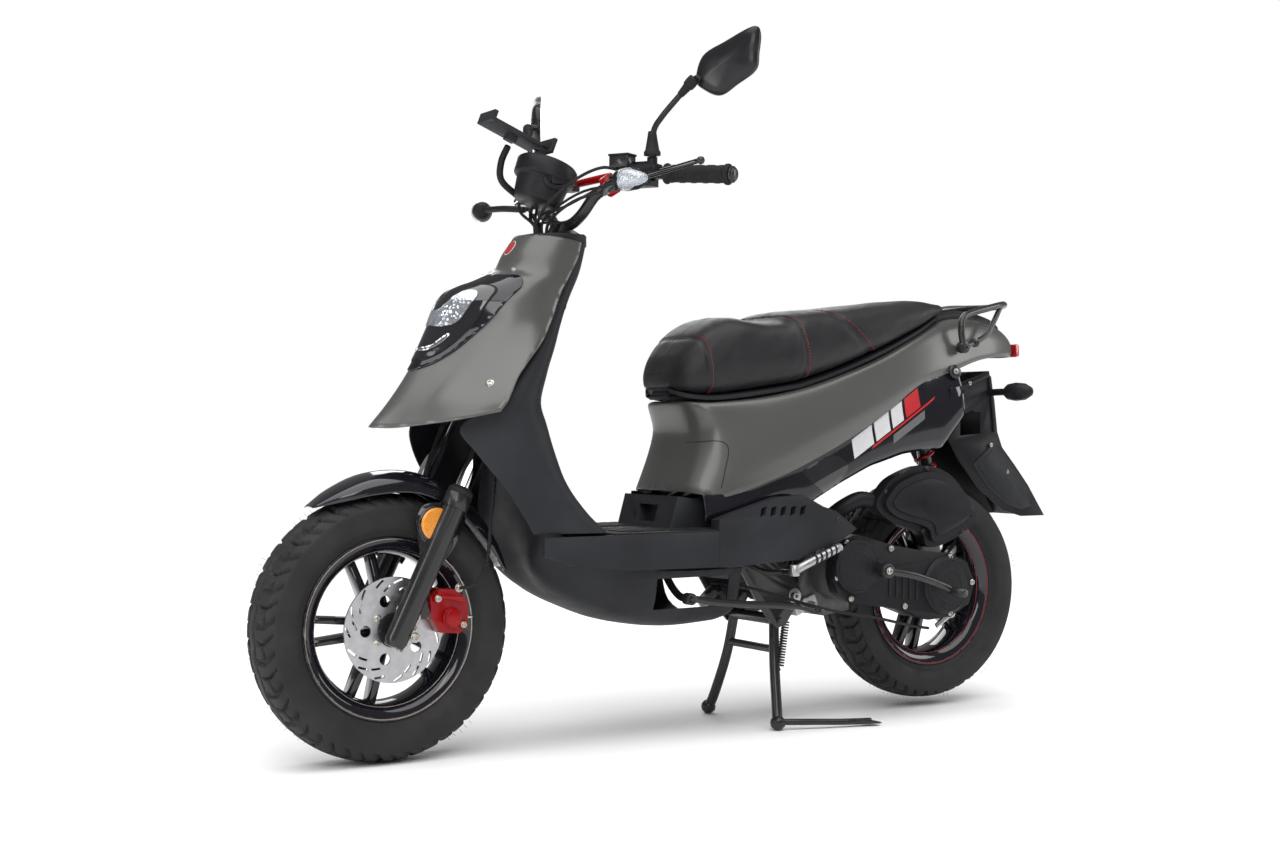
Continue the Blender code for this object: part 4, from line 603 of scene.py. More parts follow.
def sheet(grid, thickness, closed=False, inside=None):
    """A panel through a grid of points, thickened towards `inside` (default: the grid's own middle)."""
    grid = refine(grid, closed)
    rows, cols = len(grid), len(grid[0])
    middle = Vector(inside) if inside else sum((p for row in grid for p in row), Vector()) / (rows * cols)
    backs = []
    for i in range(rows):
        for j in range(cols):
            above = grid[(i - 1) % rows if closed else max(i - 1, 0)][j]
            below = grid[(i + 1) % rows if closed else min(i + 1, rows - 1)][j]
            left, right = grid[i][max(j - 1, 0)], grid[i][min(j + 1, cols - 1)]
            backs.append((below - above).cross(right - left).normalized())
    here = [p for row in grid for p in row]
    lean = sum((middle - p).dot(n) for p, n in zip(here, backs))
    turn = thickness if lean > 0 else -thickness
    verts = here + [p + n * turn for p, n in zip(here, backs)]
    depth = rows * cols
    faces = []
    spans = rows if closed else rows - 1
    for i in range(spans):
        k = (i + 1) % rows
        for j in range(cols - 1):
            quad = [i * cols + j, i * cols + j + 1, k * cols + j + 1, k * cols + j]
            faces.append(quad)
            faces.append([depth + v for v in reversed(quad)])
        for j in (0, cols - 1):
            faces.append([i * cols + j, k * cols + j, depth + k * cols + j, depth + i * cols + j])
    if not closed:
        for i in (0, rows - 1):
            for j in range(cols - 1):
                a = i * cols + j
                faces.append([a, a + 1, depth + a + 1, depth + a])
    return solid(verts, faces)


def spread(row, count):
    """The same polyline with another number of points."""
    row = [Vector(p) for p in row]
    out = []
    for k in range(count):
        t = k * (len(row) - 1) / (count - 1)
        i = min(int(t), len(row) - 2)
        out.append(row[i].lerp(row[i + 1], t - i))
    return out


def handed(shape, hand):
    """The shape itself on the left, its mirror image on the right."""
    if hand > 0:
        return shape
    mesh = shape.data.copy()
    mesh.transform(Matrix.Diagonal((1, -1, 1, 1)))
    mesh.flip_normals()
    copy = placed("shape", mesh)
    bpy.data.objects.remove(shape, do_unlink=True)
    return copy


def all_handed(shapes, hand):
    """Every shape on the side of a hand: 1 is left, -1 is right."""
    return [handed(shape, hand) for shape in shapes]


def combine(base, others, operation):
    """One Boolean of the base with every other shape; faces of up to five points are split first."""
    for one in [base, *others]:
        work = bmesh.new()
        work.from_mesh(one.data)
        bmesh.ops.triangulate(work, faces=[f for f in work.faces if len(f.verts) < 6])
        work.to_mesh(one.data)
        work.free()
    for other in others:
        step = base.modifiers.new("combine", "BOOLEAN")
        step.operation = operation
        step.solver = "EXACT"
        step.object = other
    graph = bpy.context.evaluated_depsgraph_get()
    mesh = bpy.data.meshes.new_from_object(base.evaluated_get(graph))
    base.modifiers.clear()
    base.data = mesh
    for other in others:
        bpy.data.objects.remove(other, do_unlink=True)
    return base


def tidy(shape):
    """Points that a Boolean left on top of each other are made one, and edges and faces too small to matter
    are dissolved.
    """
    work = bmesh.new()
    work.from_mesh(shape.data)
    bmesh.ops.remove_doubles(work, verts=work.verts, dist=WELD)
    bmesh.ops.dissolve_degenerate(work, edges=work.edges, dist=WELD)
    work.to_mesh(shape.data)
    work.free()


def join(shapes):
    """Closed bodies put into one mesh."""
    work = bmesh.new()
    for shape in shapes:
        work.from_mesh(shape.data)
    work.to_mesh(shapes[0].data)
    work.free()
    for shape in shapes[1:]:
        bpy.data.objects.remove(shape, do_unlink=True)
    return shapes[0]


def smooth_ring(points, steps=6):
    """The same closed outline with rounded corners."""
    n = len(points)
    around = [Vector((*points[i % n], 0)) for i in range(-2, n + 3)]
    dense = smooth_path(around, steps)[2 * steps : (n + 2) * steps]
    return [(p.x, p.y) for p in dense]


def inside_outline(point, outline):
    """Whether a flat point lies inside a closed outline."""
    inside = False
    for (ax, ay), (bx, by) in zip(outline, outline[1:] + outline[:1]):
        if (ay > point[1]) != (by > point[1]) and point[0] < ax + (point[1] - ay) * (bx - ax) / (by - ay):
            inside = not inside
    return inside


def lookup(shape):
    """Where lines meet a shape. The shape itself is used up."""
    work = bmesh.new()
    work.from_mesh(shape.data)
    tree = BVHTree.FromBMesh(work)
    work.free()
    bpy.data.objects.remove(shape, do_unlink=True)
    return tree


def skin(outline, ground, way, out, thick, step=0.006, dome=0.0):
    """A patch on a surface: its outline is thrown along one axis and stands proud by `out`."""
    way = Vector(way)
    first, second = (Y, Z) if abs(way.x) > 0.5 else (X, Z) if abs(way.y) > 0.5 else (X, Y)
    edge = []
    for (ax, ay), (bx, by) in zip(outline, outline[1:] + outline[:1]):
        parts = max(1, round(math.hypot(bx - ax, by - ay) / step))
        edge += [Vector((ax + (bx - ax) * k / parts, ay + (by - ay) * k / parts)) for k in range(parts)]
    low = [min(p[k] for p in outline) for k in (0, 1)]
    high = [max(p[k] for p in outline) for k in (0, 1)]
    inner = []
    for i in range(1, int((high[0] - low[0]) / step) + 1):
        for j in range(1, int((high[1] - low[1]) / step) + 1):
            p = Vector((low[0] + i * step, low[1] + j * step))
            if inside_outline(p, outline) and min((p - q).length for q in edge) > 0.55 * step:
                inner.append(p)
    rim = [(i, (i + 1) % len(edge)) for i in range(len(edge))]
    flat, _, faces, *_ = delaunay_2d_cdt(edge + inner, rim, [], INSIDE_ONLY, SAME_POINT)
    top, bottom = [], []
    reach = max(high[0] - low[0], high[1] - low[1]) / 2
    for p in flat:
        place, normal, _, _ = ground.ray_cast(first * p.x + second * p.y - way * FAR, way)
        if place is None:
            place, normal, _, _ = ground.find_nearest(first * p.x + second * p.y - way * 0.1)
        if normal.dot(way) > 0:
            normal = -normal
        swell = dome * min(1, min((p - q).length for q in edge) / reach) ** 0.5 if dome else 0
        top.append(place + normal * (out + swell))
        bottom.append(place + normal * (out - thick))
    n = len(top)
    sides = {}
    for face in faces:
        for a, b in zip(face, face[1:] + face[:1]):
            sides[(a, b)] = True
    shell = list(faces) + [tuple(n + k for k in reversed(face)) for face in faces]
    shell += [(b, a, n + a, n + b) for a, b in sides if (b, a) not in sides]
    return solid(top + bottom, shell)


def bolt(at, way, radius=0.006, height=0.004):
    """A flanged bolt head with a socket in it."""
    way = Vector(way).normalized()
    profile = [(-0.002, 0), (-0.002, radius * 1.35), (0.0008, radius * 1.3), (0.0012, radius)]
    profile += [
        (height * 0.8, radius), (height, radius * 0.8), (height, radius * 0.5),
        (height * 0.4, radius * 0.45),
    ]
    profile.append((height * 0.4, 0))
    return lathe(profile, at, way, 36)


def dress(made, name, finish, body, round_by=0.0012, crease=38, between=None):
    """Name, material, soft edges, and the body it rides on; a piece given `between` is baked where it stands
    and rides on no body.
    """
    made.name = name
    made.data.name = name
    made.data.materials.clear()
    made.data.materials.append(MATERIALS[finish])
    for face in made.data.polygons:
        face.use_smooth = True
    if round_by:
        bevel = made.modifiers.new("edges", "BEVEL")
        bevel.width = round_by
        bevel.segments = 2
        bevel.limit_method = "ANGLE"
        bevel.angle_limit = math.radians(crease)
        bevel.harden_normals = True
        graph = bpy.context.evaluated_depsgraph_get()
        mesh = bpy.data.meshes.new_from_object(made.evaluated_get(graph))
        made.modifiers.clear()
        made.data = mesh
    made.data.set_sharp_from_angle(angle=math.radians(crease))
    if between:
        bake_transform(made)
    else:
        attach(made, body)
    return made


def node(name, finish, shapes, cuts=(), round_by=0.0012, crease=38, between=None):
    """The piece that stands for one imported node."""
    if cuts:
        made = shapes[0]
        if len(shapes) > 1:
            combine(made, shapes[1:], "UNION")
        combine(made, list(cuts), "DIFFERENCE")
        tidy(made)
    else:
        made = join(shapes)
    dress(made, name + "_piece", finish, BODY_OF[name], round_by, crease, between)
    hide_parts(name)
    return made


def trim(name, finish, shapes, like, round_by=0.0006, crease=38, between=None):
    """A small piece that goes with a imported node's body and stands for none."""
    made = join(list(shapes))
    return dress(made, name, finish, BODY_OF[like], round_by, crease, between)


def fork_at(s, y=0.0, ahead=0.0):
    """The point s up the fork from the axle, y to the left and `ahead` of the legs' plane."""
    return FRONT_AXLE + FORK_DIR * s + FORK_AHEAD * ahead + Y * y


def stem_at(s):
    """The point s up the steering axis."""
    return fork_at(s, 0, -STEER_OFFSET)


# Wheels


def spoke(angle):
    """The direction at an angle round a wheel, from +X up towards +Z."""
    return X * math.cos(angle) + Z * math.sin(angle)


def tread(turn, y, half):
    """Depth of the tread at an angle round the tyre and a distance from its middle, from 0 to 1."""
    across_by = abs(y) / half
    if across_by > 1.02:
        return 0.0
    hand = 1 if y > 0 else -1
    phase = TREAD_BLOCKS * turn / FULL_TURN + (0.5 if hand > 0 else 0.0)
    bend = 0.55 * across_by + 0.12 * math.sin(math.pi * across_by * 2)
    slant = (phase - bend) % 1.0
    cut = 0.0
    if across_by > 0.2:
        cut = max(cut, 1 - abs(slant - 0.5) / 0.095)
    if 0.42 < across_by < 1.0:
        cut = max(cut, 0.7 * (1 - abs((slant + 0.48) % 1.0 - 0.5) / 0.05))
    wave = 0.22 + 0.05 * math.sin(FULL_TURN * phase)
    cut = max(cut, 1 - abs(across_by - wave) / 0.055)
    link = 0.66 + 0.05 * math.sin(FULL_TURN * (phase + 0.3))
    if 0.5 < slant < 0.98:
        cut = max(cut, 0.8 * (1 - abs(across_by - link) / 0.045))
    return min(1.0, max(0.0, 2.2 * cut))


def bump_at(value, middle, reach):
    """1 in the middle, falling evenly to 0 at `reach` on either side."""
    return max(0.0, 1 - abs(value - middle) / reach)


def tyre(name, axle, radius, width):
    """A tyre with slanted tread blocks, a moulded sidewall and the small rubber hairs left by its mould."""
    half = width / 2
    side = [
        (0.0395, 0.1512), (0.0402, 0.16), (0.0455, 0.17), (half * 0.9, 0.182), (half * 0.985, 0.196),
        (half, 0.206), (half * 0.975, 0.219), (half * 0.9, radius - 0.0175), (half * 0.76, radius - 0.0095),
        (half * 0.56, radius - 0.0045), (half * 0.3, radius - 0.0012), (0.0, radius),
    ]
    line = [Vector((y, r, 0)) for y, r in side]
    dense = smooth_path(line, 5)
    outer = [(p.x, p.y) for p in dense] + [(-p.x, p.y) for p in reversed(dense[:-1])]
    inner = [
        (-0.0325, 0.1512), (-(half - 0.012), 0.192), (-(half - 0.013), radius - 0.026),
        (-0.012, radius - 0.014),
    ]
    inner += [(-y, r) for y, r in reversed(inner)]
    verts = []
    crown = half * 0.93
    for i in range(TYRE_STEPS):
        turn = FULL_TURN * i / TYRE_STEPS
        out = spoke(turn)
        for y, r in outer:
            depth = 0.0
            if r > TREAD_FROM:
                fade = min(1.0, (r - TREAD_FROM) / 0.01)
                depth = 0.006 * fade * tread(turn, y, crown)
            elif 0.186 < r < TREAD_FROM:
                depth = -0.0006 * bump_at(r, 0.2055, 0.0022) - 0.0005 * bump_at(r, 0.1895, 0.002)
            elif r < 0.168:
                depth = -0.0009 * bump_at(r, 0.1585, 0.003)
            verts.append(axle + Y * (y * (1 - depth / max(r, 0.1) * 0.8)) + out * (r - depth))
        for y, r in inner:
            verts.append(axle + Y * y + out * r)
    m = len(outer) + len(inner)
    faces = []
    for i in range(TYRE_STEPS):
        a, b = i * m, (i + 1) % TYRE_STEPS * m
        for k in range(m):
            n = (k + 1) % m
            faces.append((a + k, a + n, b + n, b + k))
    made = node(name, "tyre_rubber", [solid(verts, faces)], round_by=0, crease=34)
    hairs = []
    for i in range(HAIRS):
        turn = FULL_TURN * (i * GOLDEN) % FULL_TURN
        out = spoke(turn)
        share = (-0.86, -0.45, 0.0, 0.5, 0.88)[i % 5]
        drop = 0.0004 + 0.0115 * abs(share) ** 4
        root = axle + Y * (half * share) + out * (radius - drop - 0.002)
        tip = root + out * 0.0065 + Y * (0.003 * share)
        if tip.z < 0.012:
            continue
        hairs.append(rod(root, tip, 0.00028, 4))
    trim(name + "_hairs", "tyre_rubber", hairs, name, round_by=0)
    return made


def rim(name, axle, hub_low, hub_high, hub_radius, bore):
    """A cast rim: barrel, hub and five pairs of spokes."""
    barrel = [
        (-0.046, RIM_RADIUS - 0.009), (-0.046, RIM_RADIUS), (-0.042, RIM_RADIUS), (-0.041, 0.149),
        (-0.025, 0.1485), (-0.018, 0.141), (0.018, 0.141), (0.025, 0.1485), (0.041, 0.149),
        (0.042, RIM_RADIUS), (0.046, RIM_RADIUS), (0.046, RIM_RADIUS - 0.009), (0.036, 0.1425),
        (0.016, 0.1335), (-0.016, 0.1335), (-0.036, 0.1425),
    ]
    shapes = [lathe(barrel, axle, Y, WHEEL_SIDES)]
    shapes.append(lathe(
        [(hub_low, bore), (hub_low, hub_radius), (hub_high, hub_radius), (hub_high, bore)], axle, Y,
    ))
    for pair in range(5):
        turn = FULL_TURN * pair / 5
        out = spoke(turn)
        side = -X * math.sin(turn) + Z * math.cos(turn)
        for hand in (-1, 1):
            rings = []
            for r, off, wide, deep in ((0.024, 0.0115, 0.0074, 0.0193), (0.133, 0.021, 0.0065, 0.0148)):
                centre = axle + out * r + side * (hand * off)
                corners = [(-wide, -deep), (wide, -deep), (wide, deep), (-wide, deep)]
                rings.append([centre + side * a + Y * b for a, b in corners])
            shapes.append(loft(rings))
    return node(name, "gloss_black", shapes)


def slot_cut(path, radius):
    """A flat-ended cutter that follows a path across the disc."""
    upper, lower = [], []
    for i, p in enumerate(path):
        before, after = path[max(i - 1, 0)], path[min(i + 1, len(path) - 1)]
        side = (after - before).cross(Y).normalized() * radius
        upper.append(p + side)
        lower.append(p - side)
    outline = upper + lower[::-1]
    return loft([[p - Y * 0.01 for p in outline], [p + Y * 0.01 for p in outline]])


def cut_all(base, cutters):
    """The base with all the cutters taken out of it at once."""
    combine(base, [join(cutters)], "DIFFERENCE")
    return base


def wheels():
    """Tyres, rims with their painted lines and valves, and the drilled disc."""
    tyre("front_tyre", FRONT_AXLE, FRONT_TYRE_RADIUS, FRONT_TYRE_WIDTH)
    tyre("rear_tyre", REAR_AXLE, REAR_TYRE_RADIUS, REAR_TYRE_WIDTH)
    rim("front_rim", FRONT_AXLE, -0.045, 0.045, 0.034, 0.0098)
    rim("rear_rim", REAR_AXLE, -0.046, 0.058, 0.046, 0.0118)
    for name, axle, finish in (
        ("front_rim", FRONT_AXLE, "machined_line"), ("rear_rim", REAR_AXLE, "rim_red"),
    ):
        rings = []
        for hand in (-1, 1):
            for at, r, wide in ((0.0468, RIM_RADIUS - 0.0042, 0.0011), (0.0352, 0.1408, 0.0006)):
                band = [(at - 0.0015, r - wide), (at, r - wide), (at, r + wide), (at - 0.0015, r + wide)]
                rings.append(lathe([(hand * a, b) for a, b in band], axle, Y, WHEEL_SIDES))
        trim(name + "_line", finish, rings, name, round_by=0.0002)
        stem = axle + X * 0.02 + Z * 0.1365
        trim(name + "_valve", "rubber", [rod(stem + Y * 0.03, stem + Y * 0.052 - Z * 0.008, 0.0028)], name)
    centre = FRONT_AXLE + Y * DISC_Y
    ring = [(-0.002, 0.03), (-0.002, DISC_RADIUS), (0.002, DISC_RADIUS), (0.002, 0.03)]
    shapes = [lathe(ring, centre, Y, WHEEL_SIDES)]
    cuts = []
    for k in range(15):
        turn = FULL_TURN * k / 15
        for start, r in ((0.0, 0.0875), (0.15, 0.076)):
            if k % 3 == 2 and r < 0.08:
                continue
            path = []
            for part in range(5):
                a = turn + start + 0.05 * (part - 2)
                d = r + 0.0022 * (part - 2)
                path.append(on_circle(centre, X, Z, d, a))
            cuts += [slot_cut(path, 0.0021)]
    for arm in range(5):
        turn = FULL_TURN * arm / 5
        hole = on_circle(centre, X, Z, 0.054, turn)
        cuts += [rod(hole - Y * 0.01, hole + Y * 0.01, 0.0105, 72)]
    shapes[0] = cut_all(shapes[0], cuts)
    node("brake_disc", "steel", shapes, round_by=0, crease=20)
    carrier = [lathe([(-0.013, 0.0115), (-0.013, 0.03), (0.0026, 0.0315), (0.0026, 0.0115)], centre, Y, 72)]
    heads = []
    for arm in range(5):
        turn = FULL_TURN * (arm + 0.5) / 5
        out = spoke(turn)
        heads.append(bolt(centre + out * 0.0385 + Y * 0.0018, Y, 0.0052, 0.004))
    trim("disc_carrier", "black_paint", carrier, "brake_disc")
    trim("disc_bolts", "zinc", heads, "brake_disc", round_by=0.0002)


# Fork and steering


def fork_lower():
    """Both lower legs, the front axle, the caliper ears and the mudguard brackets."""
    shapes = [rod(FRONT_AXLE - Y * 0.104, FRONT_AXLE + Y * 0.104, 0.0085, 36)]
    cuts = []
    for y in (-LEG_Y, LEG_Y):
        legs = [
            (0, 0), (0, 0.017), (0.012, LEG_RADIUS), (0.27, LEG_RADIUS), (0.27, 0.0245), (0.296, 0.0245),
            (0.296, 0),
        ]
        shapes.append(lathe(legs, fork_at(-0.03, y), FORK_DIR, 36))
        cuts.append(rod(fork_at(0.06, y), fork_at(0.32, y), STANCHION_RADIUS + 0.0012, 36))
    holder = [
        (0.63, 0.425), (0.585, 0.468), (0.545, 0.46), (0.535, 0.44), (0.56, 0.39), (0.59, 0.348),
        (0.625, 0.38),
    ]
    shapes.append(prism(holder, 0.0755, 0.0825))
    shapes.append(handed(prism(holder, 0.0755, 0.0825), -1))
    ear = [(0.655, 0.32), (0.622, 0.335), (0.612, 0.3), (0.616, 0.262), (0.65, 0.262)]
    shapes.append(prism(ear, 0.076, 0.088))
    made = node("fork_lower", "black_paint", shapes, cuts, round_by=0.0018)
    seals, ambers, plates, heads = [], [], [], []
    for hand in (1, -1):
        y = LEG_Y * hand
        seals.append(lathe(
            [(0, 0.0162), (0, 0.0232), (0.01, 0.0238), (0.014, 0.0205), (0.017, 0.0162)],
            fork_at(0.2645, y), FORK_DIR,
        ))
        out = Y * hand
        at = Vector((0.597, hand * 0.083, 0.431))
        ear = [
            (0.634, 0.436), (0.623, 0.463), (0.598, 0.47), (0.563, 0.466), (0.543, 0.455), (0.537, 0.436),
            (0.546, 0.412),
        ]
        ear += [(0.562, 0.384), (0.577, 0.368), (0.592, 0.372), (0.601, 0.39), (0.622, 0.403)]
        plates.append(handed(prism(smooth_ring(ear, 4), 0.0775, 0.0832), hand))
        plates.append(lathe([(0, 0), (0, 0.034), (0.003, 0.034), (0.005, 0.0315), (0.005, 0)], at, out, 72))
        ambers.append(lathe(
            [(0.003, 0), (0.003, 0.0298), (0.007, 0.0298), (0.0092, 0.027), (0.0092, 0)], at, out, 72,
        ))
        for x, z in ((0.5505, 0.442), (0.5745, 0.3935)):
            heads.append(bolt(Vector((x, hand * 0.0827, z)), out, 0.005, 0.004))
    for x, y, z in ((0.626, 0.0885, 0.299), (0.6375, 0.0885, 0.266), (0.6455, 0.1045, 0.2325)):
        heads.append(bolt(Vector((x, y, z)), Y, 0.0072, 0.005))
    trim("fork_seals", "rubber", seals, "fork_lower")
    trim("side_reflectors", "amber", ambers, "fork_lower", round_by=0.0004)
    trim("reflector_backs", "gloss_black", plates, "fork_lower")
    trim("fork_bolts", "zinc", heads, "fork_lower", round_by=0.0003)
    return made


def fork_crown():
    """The two stanchions, the lower crown and the steering stem."""
    shapes = []
    for y in (-LEG_Y, LEG_Y):
        shapes.append(rod(fork_at(0.14, y), fork_at(0.47, y), STANCHION_RADIUS, 36))
        shapes.append(rod(fork_at(0.437, y), fork_at(0.467, y), 0.0205, 36))
    shapes.append(rod(stem_at(0.442), stem_at(0.79), STEM_RADIUS, 42))
    yoke = [
        (-0.0185, -0.03), (-0.0185, 0.03), (0.008, 0.088), (0.018, 0.088), (0.018, -0.088), (0.008, -0.088),
    ]
    shapes.append(plate(yoke, stem_at(0.4505), FORK_AHEAD, Y, -0.009, 0.009))
    return node("fork_crown", "chrome", shapes)


def front_fender():
    """A mudguard that follows the tyre, pointed at both tips."""
    line = [(58, 0.262, 0.02), (70, 0.27, 0.048), (84, 0.281, 0.06), (100, 0.287, 0.0622)]
    line += [(116, 0.285, 0.0622), (132, 0.277, 0.06), (146, 0.27, 0.052), (158, 0.266, 0.038)]
    rows = []
    for degrees, r, half in line:
        a = math.radians(degrees)
        out = spoke(a)
        row = []
        for y, drop in ((0, 0), (0.45, 0.003), (0.8, 0.011), (0.97, 0.024), (1.0, 0.04)):
            row.append(FRONT_AXLE + out * (r - drop * (half / 0.0622) ** 2) + Y * (half * y))
        rows.append(both_sides(row))
    made = node("front_fender", "gloss_black", [sheet(rows, 0.0022, inside=FRONT_AXLE)], round_by=0.0008)
    slits = []
    for k in range(4):
        a = math.radians(92 + 9 * k)
        out, along = spoke(a), Z * math.cos(a) - X * math.sin(a)
        for hand in (1, -1):
            middle = FRONT_AXLE + out * 0.2605 + Y * (0.061 * hand)
            slits.append(block(middle, (0.026, 0.003, 0.0032), along, out))
    trim("fender_slits", "satin_black", slits, "front_fender", round_by=0.0008)
    return made


def brake_caliper():
    """The caliper with its piston housing, slotted for the disc."""
    outline = [
        (0.535, 0.248), (0.552, 0.2325), (0.59, 0.236), (0.606, 0.262), (0.611, 0.3), (0.592, 0.315),
        (0.556, 0.312), (0.536, 0.29),
    ]
    body = prism(outline, 0.05, 0.09)
    piston = rod((0.5675, 0.089, 0.262), (0.5675, 0.098, 0.262), 0.017, 42)
    slot = lathe(
        [(-0.004, 0.0), (-0.004, 0.0975), (0.004, 0.0975), (0.004, 0)], FRONT_AXLE + Y * DISC_Y, Y, 90,
    )
    made = node("brake_caliper", "red_metal", [body, piston], [slot], round_by=0.0035, crease=30)
    ribs = [
        lathe(
            [
                (0.0885, 0), (0.0885, 0.0195), (0.0945, 0.0185), (0.0945, 0.0165), (0.0995, 0.016),
                (0.1005, 0.0125), (0.1005, 0),
            ],
            Vector((0.5675, 0, 0.262)), Y, 72,
        ),
        block((0.573, 0.0905, 0.3), (0.052, 0.01, 0.014), (0.95, 0, 0.2), Y),
        rod((0.597, 0.06, 0.2985), (0.597, 0.097, 0.2985), 0.0085, 48),
        rod((0.545, 0.06, 0.2485), (0.545, 0.094, 0.2485), 0.008, 48),
    ]
    trim("caliper_ribs", "red_metal", ribs, "brake_caliper", round_by=0.0012)
    heads = [
        bolt((0.597, 0.0965, 0.2985), Y, 0.005, 0.004), bolt((0.545, 0.0935, 0.2485), Y, 0.0046, 0.004),
    ]
    heads.append(bolt((0.553, 0.0905, 0.315), Y, 0.0062, 0.005))
    heads.append(rod((0.5345, 0.08, 0.262), (0.523, 0.08, 0.26), 0.0034, 24))
    trim("caliper_bolts", "zinc", heads, "brake_caliper", round_by=0.0003)
    return made


def brake_hose():
    """The hose from under the lower crown to the caliper."""
    route = [
        (0.482, 0.104, 0.555), (0.488, 0.105, 0.5175), (0.494, 0.108, 0.475), (0.5, 0.11, 0.435),
        (0.503, 0.111, 0.39), (0.51, 0.109, 0.35), (0.523, 0.104, 0.325), (0.5375, 0.097, 0.316),
        (0.552, 0.0945, 0.3155),
    ]
    made = node("brake_hose", "rubber", [tube(route, 0.0032, 12)], round_by=0)
    line = smooth_path([Vector(p) for p in route], 8)
    coils = [
        rod(line[k] - (line[k + 1] - line[k]) * 0.3, line[k] + (line[k + 1] - line[k]) * 0.3, 0.0043, 36)
        for k in range(2, 42, 2)
    ]
    trim("hose_guard", "satin_black", coils, "brake_hose", round_by=0.0004)
    return made


def bar_path():
    """The handlebar's centre line from the middle to the left end."""
    return [
        (0.283, 0, 0.992), (0.281, 0.03, 0.996), (0.277, 0.06, 1.012), (0.27, 0.09, 1.04),
        (0.259, 0.11, 1.054), (0.247, 0.13, 1.066), (0.235, 0.15, 1.0745), GRIP_START, BAR_END,
    ]


def bar_frame(b, f, z=0.0, hand=1):
    """A point near a switch housing: b outwards along the bar, f ahead of it, z above it."""
    point = BAR_HOUSING + BAR_OUT * b + BAR_FRONT * f + Z * z
    return point if hand > 0 else flip(point)




def handlebar():
    """The bent bar and its clamp on the stem."""
    half = [Vector(p) for p in bar_path()]
    path = [flip(p) for p in reversed(half[1:])] + half
    clamp = block(stem_at(0.8145) + FORK_AHEAD * 0.004, (0.044, 0.046, 0.046), FORK_AHEAD, FORK_DIR)
    return node("handlebar", "black_paint", [tube(path, BAR_RADIUS, 20), clamp])


def handlebar_brace():
    """The red bar across the handlebar and its two clamps."""
    shapes = [rod((0.247, -0.112, 1.078), (0.247, 0.112, 1.078), 0.0075)]
    for hand in (-1, 1):
        way = Vector((-0.012, 0.02, 0.012)).normalized()
        at = Vector((0.253, 0.12, 1.06))
        ring = sleeve(at - way * 0.01, at + way * 0.01, 0.0205, 0.0132)
        shapes.append(handed(ring, hand))
    return node("handlebar_brace", "red_metal", shapes)


def instrument_pod():
    """The round display, its bracket to the brace and the arm of the phone holder."""
    low = POD_CENTRE - POD_AXIS * 0.062
    profile = [
        (0, 0), (0, 0.043), (0.012, 0.047), (0.044, 0.051), (0.048, 0.059), (0.078, 0.06), (0.08, 0.053),
    ]
    profile += [(0.074, 0.05), (0.074, 0)]
    shapes = [lathe(profile, low, POD_AXIS, 60)]
    shapes.append(block((0.284, 0, 1.064), (0.054, 0.03, 0.01)))
    arm = [(0.365, -0.03, 1.045), (0.404, -0.03, 1.075), (0.405, -0.03, 1.11), (0.39, -0.03, 1.143)]
    shapes.append(tube(arm, 0.0065))
    for hand in (1, -1):
        strap = [
            (0.3, hand * 0.048, 1.07), (0.322, hand * 0.052, 1.058), (0.345, hand * 0.05, 1.062),
            (0.352, hand * 0.044, 1.078),
        ]
        shapes.append(tube(strap, 0.0055))
        shapes.append(block((0.318, hand * 0.0485, 1.074), (0.046, 0.014, 0.02), X, POD_AXIS))
    made = node("instrument_pod", "satin_black", shapes, round_by=0.0022)
    top = POD_CENTRE + POD_AXIS * 0.0122
    face = lathe(
        [(0, 0), (0, 0.0492), (0.0016, 0.0492), (0.0032, 0.046), (0.004, 0.03), (0.0042, 0)], top, POD_AXIS,
        96,
    )
    trim("display_glass", "smoked", [face], "instrument_pod", round_by=0)
    bezel = lathe(
        [(0.0, 0.0492), (0.0, 0.0525), (0.0068, 0.056), (0.0076, 0.054), (0.0055, 0.0492)], top, POD_AXIS,
        96,
    )
    trim("display_bezel", "charcoal", [bezel], "instrument_pod", round_by=0.0004)
    keys = []
    for y in (-0.018, 0.018):
        keys.append(lathe(
            [(0, 0), (0, 0.0048), (0.0035, 0.0044), (0.0035, 0)], top + Y * y - X * 0.05 - Z * 0.0145, -X,
            36,
        ))
    trim("display_keys", "rubber", keys, "instrument_pod", round_by=0.0004)
    return made


def phone_holder():
    """A tilting cradle with a fixed jaw, and the spring-loaded jaw that slides on it."""
    down = Vector((-0.15, 0, -0.06)).normalized()
    up = Y.cross(down).normalized()
    if up.z < 0:
        up = -up
    at = CRADLE_PIVOT + up * 0.008
    shapes = [block(at, (0.11, 0.062, 0.007), down, up)]
    shapes.append(block(at - down * 0.058 + up * 0.007, (0.008, 0.062, 0.021), down, up))
    shapes.append(block(at - up * 0.008, (0.02, 0.02, 0.012), down, up))
    slots = [
        block(at + down * 0.036 + Y * y + up * 0.002, (0.044, 0.0095, 0.0045), down, up)
        for y in (-0.018, 0.018)
    ]
    node("phone_cradle", "charcoal", shapes, slots)
    jaw = [block(at + down * 0.075 + up * 0.009, (0.008, 0.07, 0.03), down, up)]
    jaw += [
        block(at + down * 0.0465 + Y * y + up * 0.0026, (0.052, 0.0085, 0.0028), down, up)
        for y in (-0.018, 0.018)
    ]
    node("phone_clamp_jaw", "charcoal", jaw)


